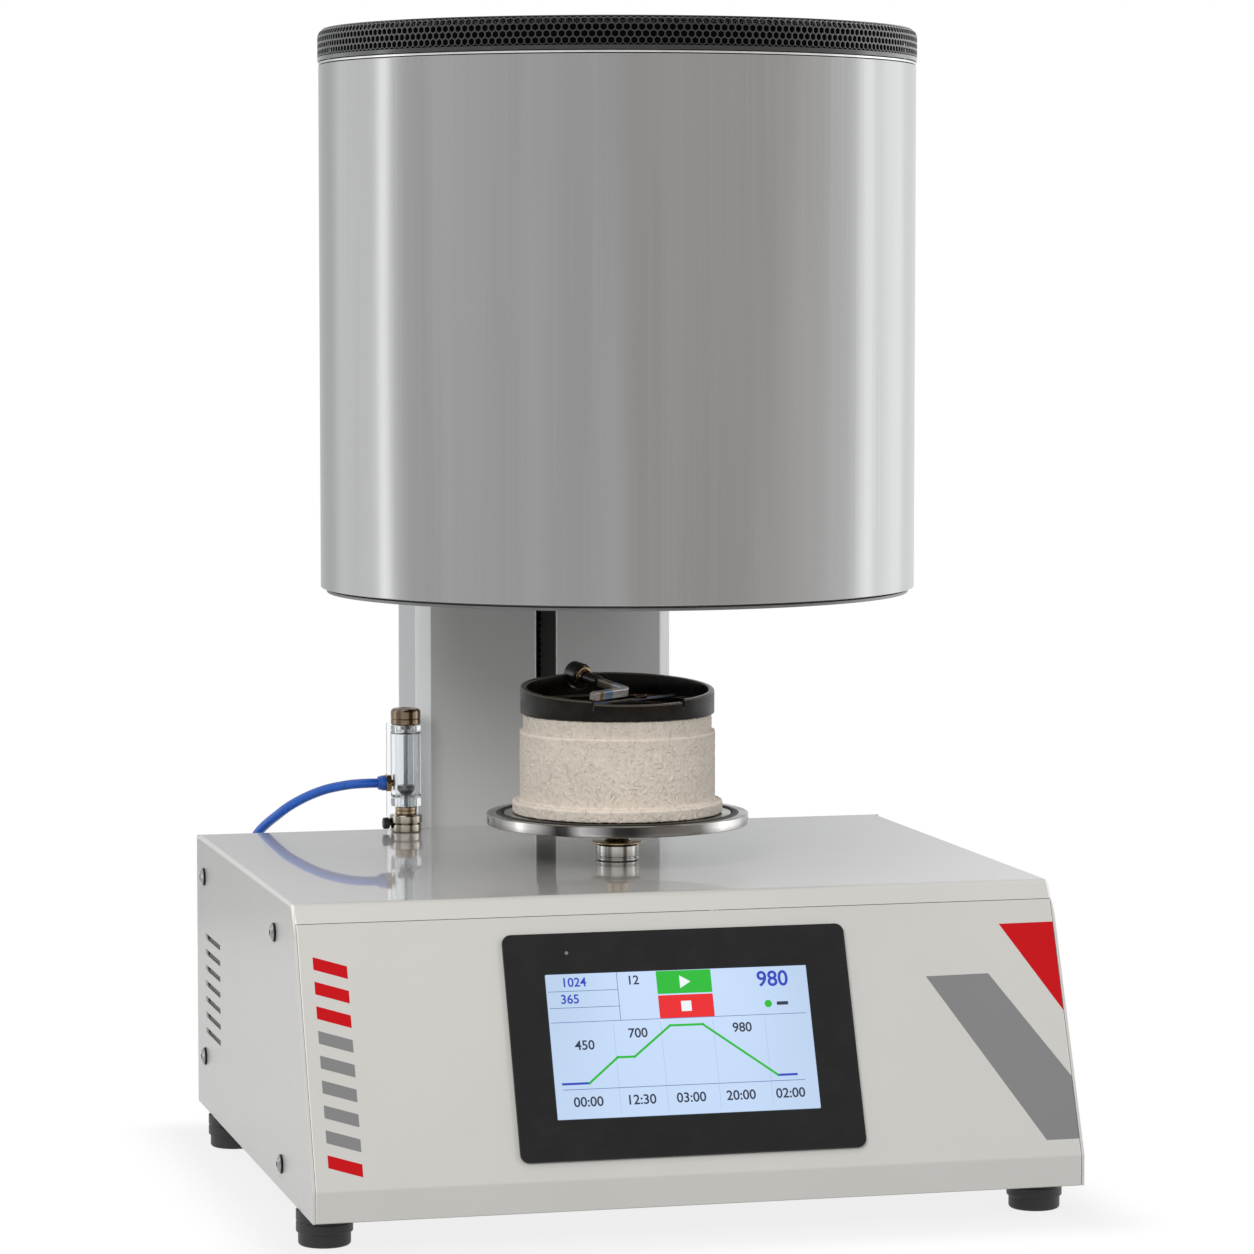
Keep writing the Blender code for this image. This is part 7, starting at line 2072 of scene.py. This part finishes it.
def lamp(name, bearing, distance, height, wide, tall, watts, tone):
    """An area lamp that looks at the furnace's middle, and that reflections don't see."""
    light = bpy.data.lights.new(name, "AREA")
    light.shape = "RECTANGLE"
    light.size = wide
    light.size_y = tall
    light.energy = watts
    light.color = tone
    made = linked(name, light)
    turn = CAMERA_BEARING + math.radians(bearing)
    place = Vector((AXIS.x + distance * math.cos(turn), AXIS.y + distance * math.sin(turn), height))
    made.location = place
    made.rotation_euler = (Vector((AXIS.x, AXIS.y, LAMP_AIM)) - place).to_track_quat("-Z", "Y").to_euler()
    made.visible_glossy = False


def make_surround():
    """A drum of light and shade round the furnace that only reflections see."""
    levels = (SURROUND_LOW, SURROUND_LOW + SURROUND_TALL)
    level, turn = np.meshgrid(levels, round_angles(ROUND), indexing="ij")
    points = moved(cylindrical(SURROUND_R, turn, level).reshape(-1, 3), on_centre(0))
    made = surface("surround", points, grid_faces(2, ROUND), turn_out=False)
    f = Finish("surround_light")
    x, y, _ = f.split(f.place(tuple(AXIS), (0, 0, -CAMERA_BEARING)))
    angle = f.maths("ARCTAN2", y, x)
    stops = []
    for bearing, brightness in SURROUND:
        tone = WARM if WARM_BEARINGS[0] < bearing < WARM_BEARINGS[1] else COOL
        stops.append((bearing / 360 + 0.5, tint(tone, brightness / BRIGHTEST)))
    shade = f.ramp(angle * (0.5 / math.pi) + 0.5, stops)
    glow = f.node("ShaderNodeEmission", inputs={"Color": shade, "Strength": BRIGHTEST}, out="Emission")
    f.end_with(glow)
    made.data.materials.append(f.material)
    made.visible_camera = False
    made.visible_diffuse = False
    made.visible_shadow = False
    made.visible_transmission = False


FLOOR_R = 9.0
FLOOR_TONE = 0.46
FLOOR_FADE = 0.055
SHADOW_SHARE = 0.17


def make_floor():
    """A white floor that keeps the furnace's soft shadow and fades to pure white away from it."""
    mesh = bpy.data.meshes.new("floor")
    mesh.from_pydata(cylindrical(FLOOR_R, round_angles(ROUND), 0).tolist(), [], [list(range(ROUND))])
    made = linked("floor", mesh)
    f = Finish("floor_white")
    white = f.node("ShaderNodeBsdfDiffuse", inputs={"Color": (*[FLOOR_TONE] * 3, 1.0)}, out="BSDF")
    glow = f.node("ShaderNodeEmission", inputs={"Color": WHITE, "Strength": 1.0}, out="Emission")
    x, y, _ = f.split(f.place((0, (low("front_panel").y + high("rear_panel").y) / 2, 0)))
    beyond_x = f.maths("MAXIMUM", abs(x) - RIGHT, 0.0)
    depth = (high("rear_panel").y - low("front_panel").y) / 2
    beyond_y = f.maths("MAXIMUM", abs(y) - depth, 0.0)
    reach = f.maths("SQRT", beyond_x * beyond_x + beyond_y * beyond_y)
    far = f.span(reach, 0.0, FLOOR_FADE, 1 - SHADOW_SHARE, 1.0) * f.seen()
    both = f.node("ShaderNodeMixShader", inputs={0: far, 1: white, 2: glow}, out="Shader")
    f.end_with(both)
    mesh.materials.append(f.material)


def make_world():
    """White for the camera, for reflections and through glass; an even dimmer room for everything else."""
    world = bpy.data.worlds.new("room")
    bpy.context.scene.world = world
    f = Finish("room", world)
    room = f.node("ShaderNodeBackground", inputs={"Color": (1.0, 0.99, 0.98, 1.0), "Strength": ROOM})
    white = f.node("ShaderNodeBackground", inputs={"Color": WHITE, "Strength": 1.0})
    f.end_with(f.node("ShaderNodeMixShader", inputs={0: f.seen(), 1: room, 2: white}))
    bpy.context.scene.view_settings.view_transform = "Standard"


def make_stage():
    """The floor, the lamps, what reflections see, and the room."""
    make_world()
    make_floor()
    make_surround()
    for settings in LAMPS:
        lamp(*settings)


# Operators

class Undoable:
    """What every operator here has: its work can be undone."""

    bl_options = {"REGISTER", "UNDO"}


class FURNACE_OT_camera(Undoable, bpy.types.Operator):
    """Places the camera where the photograph was taken from"""

    bl_idname = "furnace.camera"
    bl_label = "Camera"

    def execute(self, context):
        make_camera()
        return {"FINISHED"}


class FURNACE_OT_hose(Undoable, bpy.types.Operator):
    """Makes the blue gas hose and the elbow that it ends in"""

    bl_idname = "furnace.hose"
    bl_label = "Gas hose"

    def execute(self, context):
        make_hose()
        return {"FINISHED"}


class FURNACE_OT_sheets(Undoable, bpy.types.Operator):
    """Makes the painted sheets of the base and the chassis inside"""

    bl_idname = "furnace.sheets"
    bl_label = "Base sheets"

    def execute(self, context):
        make_sheets()
        return {"FINISHED"}


class FURNACE_OT_films(Undoable, bpy.types.Operator):
    """Lays the coloured films on the sloping front"""

    bl_idname = "furnace.films"
    bl_label = "Front films"

    def execute(self, context):
        make_films()
        return {"FINISHED"}


class FURNACE_OT_feet(Undoable, bpy.types.Operator):
    """Makes the four rubber feet"""

    bl_idname = "furnace.feet"
    bl_label = "Feet"

    def execute(self, context):
        make_feet()
        return {"FINISHED"}


class FURNACE_OT_screws(Undoable, bpy.types.Operator):
    """Makes the eight button-head screws"""

    bl_idname = "furnace.screws"
    bl_label = "Side screws"

    def execute(self, context):
        make_screws()
        return {"FINISHED"}


class FURNACE_OT_bezel(Undoable, bpy.types.Operator):
    """Makes the display's dark frame and its lamp"""

    bl_idname = "furnace.bezel"
    bl_label = "Display frame"

    def execute(self, context):
        make_bezel()
        return {"FINISHED"}


class FURNACE_OT_screen(Undoable, bpy.types.Operator):
    """Makes the lit screen and what it shows"""

    bl_idname = "furnace.screen"
    bl_label = "Screen"

    def execute(self, context):
        make_screen()
        return {"FINISHED"}


class FURNACE_OT_column(Undoable, bpy.types.Operator):
    """Makes the column's cover and back"""

    bl_idname = "furnace.column"
    bl_label = "Column"

    def execute(self, context):
        make_column()
        return {"FINISHED"}


class FURNACE_OT_lift(Undoable, bpy.types.Operator):
    """Makes the blocks, rods, screw, nut, motor and arm of the lift"""

    bl_idname = "furnace.lift"
    bl_label = "Lift"

    def execute(self, context):
        make_lift()
        return {"FINISHED"}


class FURNACE_OT_head(Undoable, bpy.types.Operator):
    """Makes the head's shell, plate, lid and lining"""

    bl_idname = "furnace.head"
    bl_label = "Head"

    def execute(self, context):
        make_head()
        return {"FINISHED"}


class FURNACE_OT_guard(Undoable, bpy.types.Operator):
    """Makes the hexagonal mesh guard on the head"""

    bl_idname = "furnace.guard"
    bl_label = "Guard"

    def execute(self, context):
        make_guard()
        return {"FINISHED"}


class FURNACE_OT_table(Undoable, bpy.types.Operator):
    """Makes the table's housing, spindle, plate and seal"""

    bl_idname = "furnace.table"
    bl_label = "Table"

    def execute(self, context):
        make_table()
        return {"FINISHED"}


class FURNACE_OT_ceramic(Undoable, bpy.types.Operator):
    """Makes the wrinkled ceramic plug under the tray"""

    bl_idname = "furnace.ceramic"
    bl_label = "Ceramic base"

    def execute(self, context):
        make_ceramic()
        return {"FINISHED"}


class FURNACE_OT_tray(Undoable, bpy.types.Operator):
    """Makes the black tray and the blued strip across it"""

    bl_idname = "furnace.tray"
    bl_label = "Tray"

    def execute(self, context):
        make_tray()
        return {"FINISHED"}


class FURNACE_OT_hook(Undoable, bpy.types.Operator):
    """Makes the hook that lies in the tray"""

    bl_idname = "furnace.hook"
    bl_label = "Hook"

    def execute(self, context):
        make_hook()
        return {"FINISHED"}


class FURNACE_OT_flowmeter(Undoable, bpy.types.Operator):
    """Makes the flowmeter with its valve, port and bracket"""

    bl_idname = "furnace.flowmeter"
    bl_label = "Flowmeter"

    def execute(self, context):
        make_flowmeter()
        return {"FINISHED"}


class FURNACE_OT_rear(Undoable, bpy.types.Operator):
    """Makes the fan, its finger guard, the power inlet and the rocker"""

    bl_idname = "furnace.rear"
    bl_label = "Rear equipment"

    def execute(self, context):
        make_rear()
        return {"FINISHED"}


class FURNACE_OT_board(Undoable, bpy.types.Operator):
    """Makes the controller's circuit board"""

    bl_idname = "furnace.board"
    bl_label = "Circuit board"

    def execute(self, context):
        make_board()
        return {"FINISHED"}


class FURNACE_OT_stage(Undoable, bpy.types.Operator):
    """Makes the floor, the lamps, the drum that reflections see, and the room"""

    bl_idname = "furnace.stage"
    bl_label = "Stage"

    def execute(self, context):
        make_stage()
        return {"FINISHED"}


OPERATORS = (
    FURNACE_OT_camera, FURNACE_OT_hose, FURNACE_OT_sheets, FURNACE_OT_films, FURNACE_OT_feet,
    FURNACE_OT_screws, FURNACE_OT_bezel, FURNACE_OT_screen, FURNACE_OT_column, FURNACE_OT_lift,
    FURNACE_OT_head, FURNACE_OT_guard, FURNACE_OT_table, FURNACE_OT_ceramic, FURNACE_OT_tray,
    FURNACE_OT_hook, FURNACE_OT_flowmeter, FURNACE_OT_rear, FURNACE_OT_board, FURNACE_OT_stage,
)


class FURNACE_PT_panel(bpy.types.Panel):
    """Lists the furnace's colours, its surface details and its makers."""

    bl_idname = "FURNACE_PT_panel"
    bl_label = "Heat treatment furnace"
    bl_space_type = "VIEW_3D"
    bl_region_type = "UI"
    bl_category = "Furnace"

    def draw(self, context):
        """Draws the properties, then a button for each operator."""
        for group in (context.scene.furnace_colours, context.scene.furnace_sizes):
            box = self.layout.box()
            for name in group.bl_rna.properties.keys():
                if name not in ("name", "rna_type"):
                    box.prop(group, name)
        for operator in OPERATORS:
            self.layout.operator(operator.bl_idname)


CLASSES = (FurnaceColours, FurnaceSizes, *OPERATORS, FURNACE_PT_panel)


def register():
    """Adds the classes and the scene's two groups of properties."""
    for item in CLASSES:
        bpy.utils.register_class(item)
    bpy.types.Scene.furnace_colours = bpy.props.PointerProperty(type=FurnaceColours)
    bpy.types.Scene.furnace_sizes = bpy.props.PointerProperty(type=FurnaceSizes)


def unregister():
    """Takes them away again."""
    del bpy.types.Scene.furnace_sizes
    del bpy.types.Scene.furnace_colours
    for item in reversed(CLASSES):
        bpy.utils.unregister_class(item)


def main():
    """Makes the whole furnace."""
    register()
    for operator in OPERATORS:
        group, name = operator.bl_idname.split(".")
        getattr(getattr(bpy.ops, group), name)()


if __name__ == "__main__":
    main()
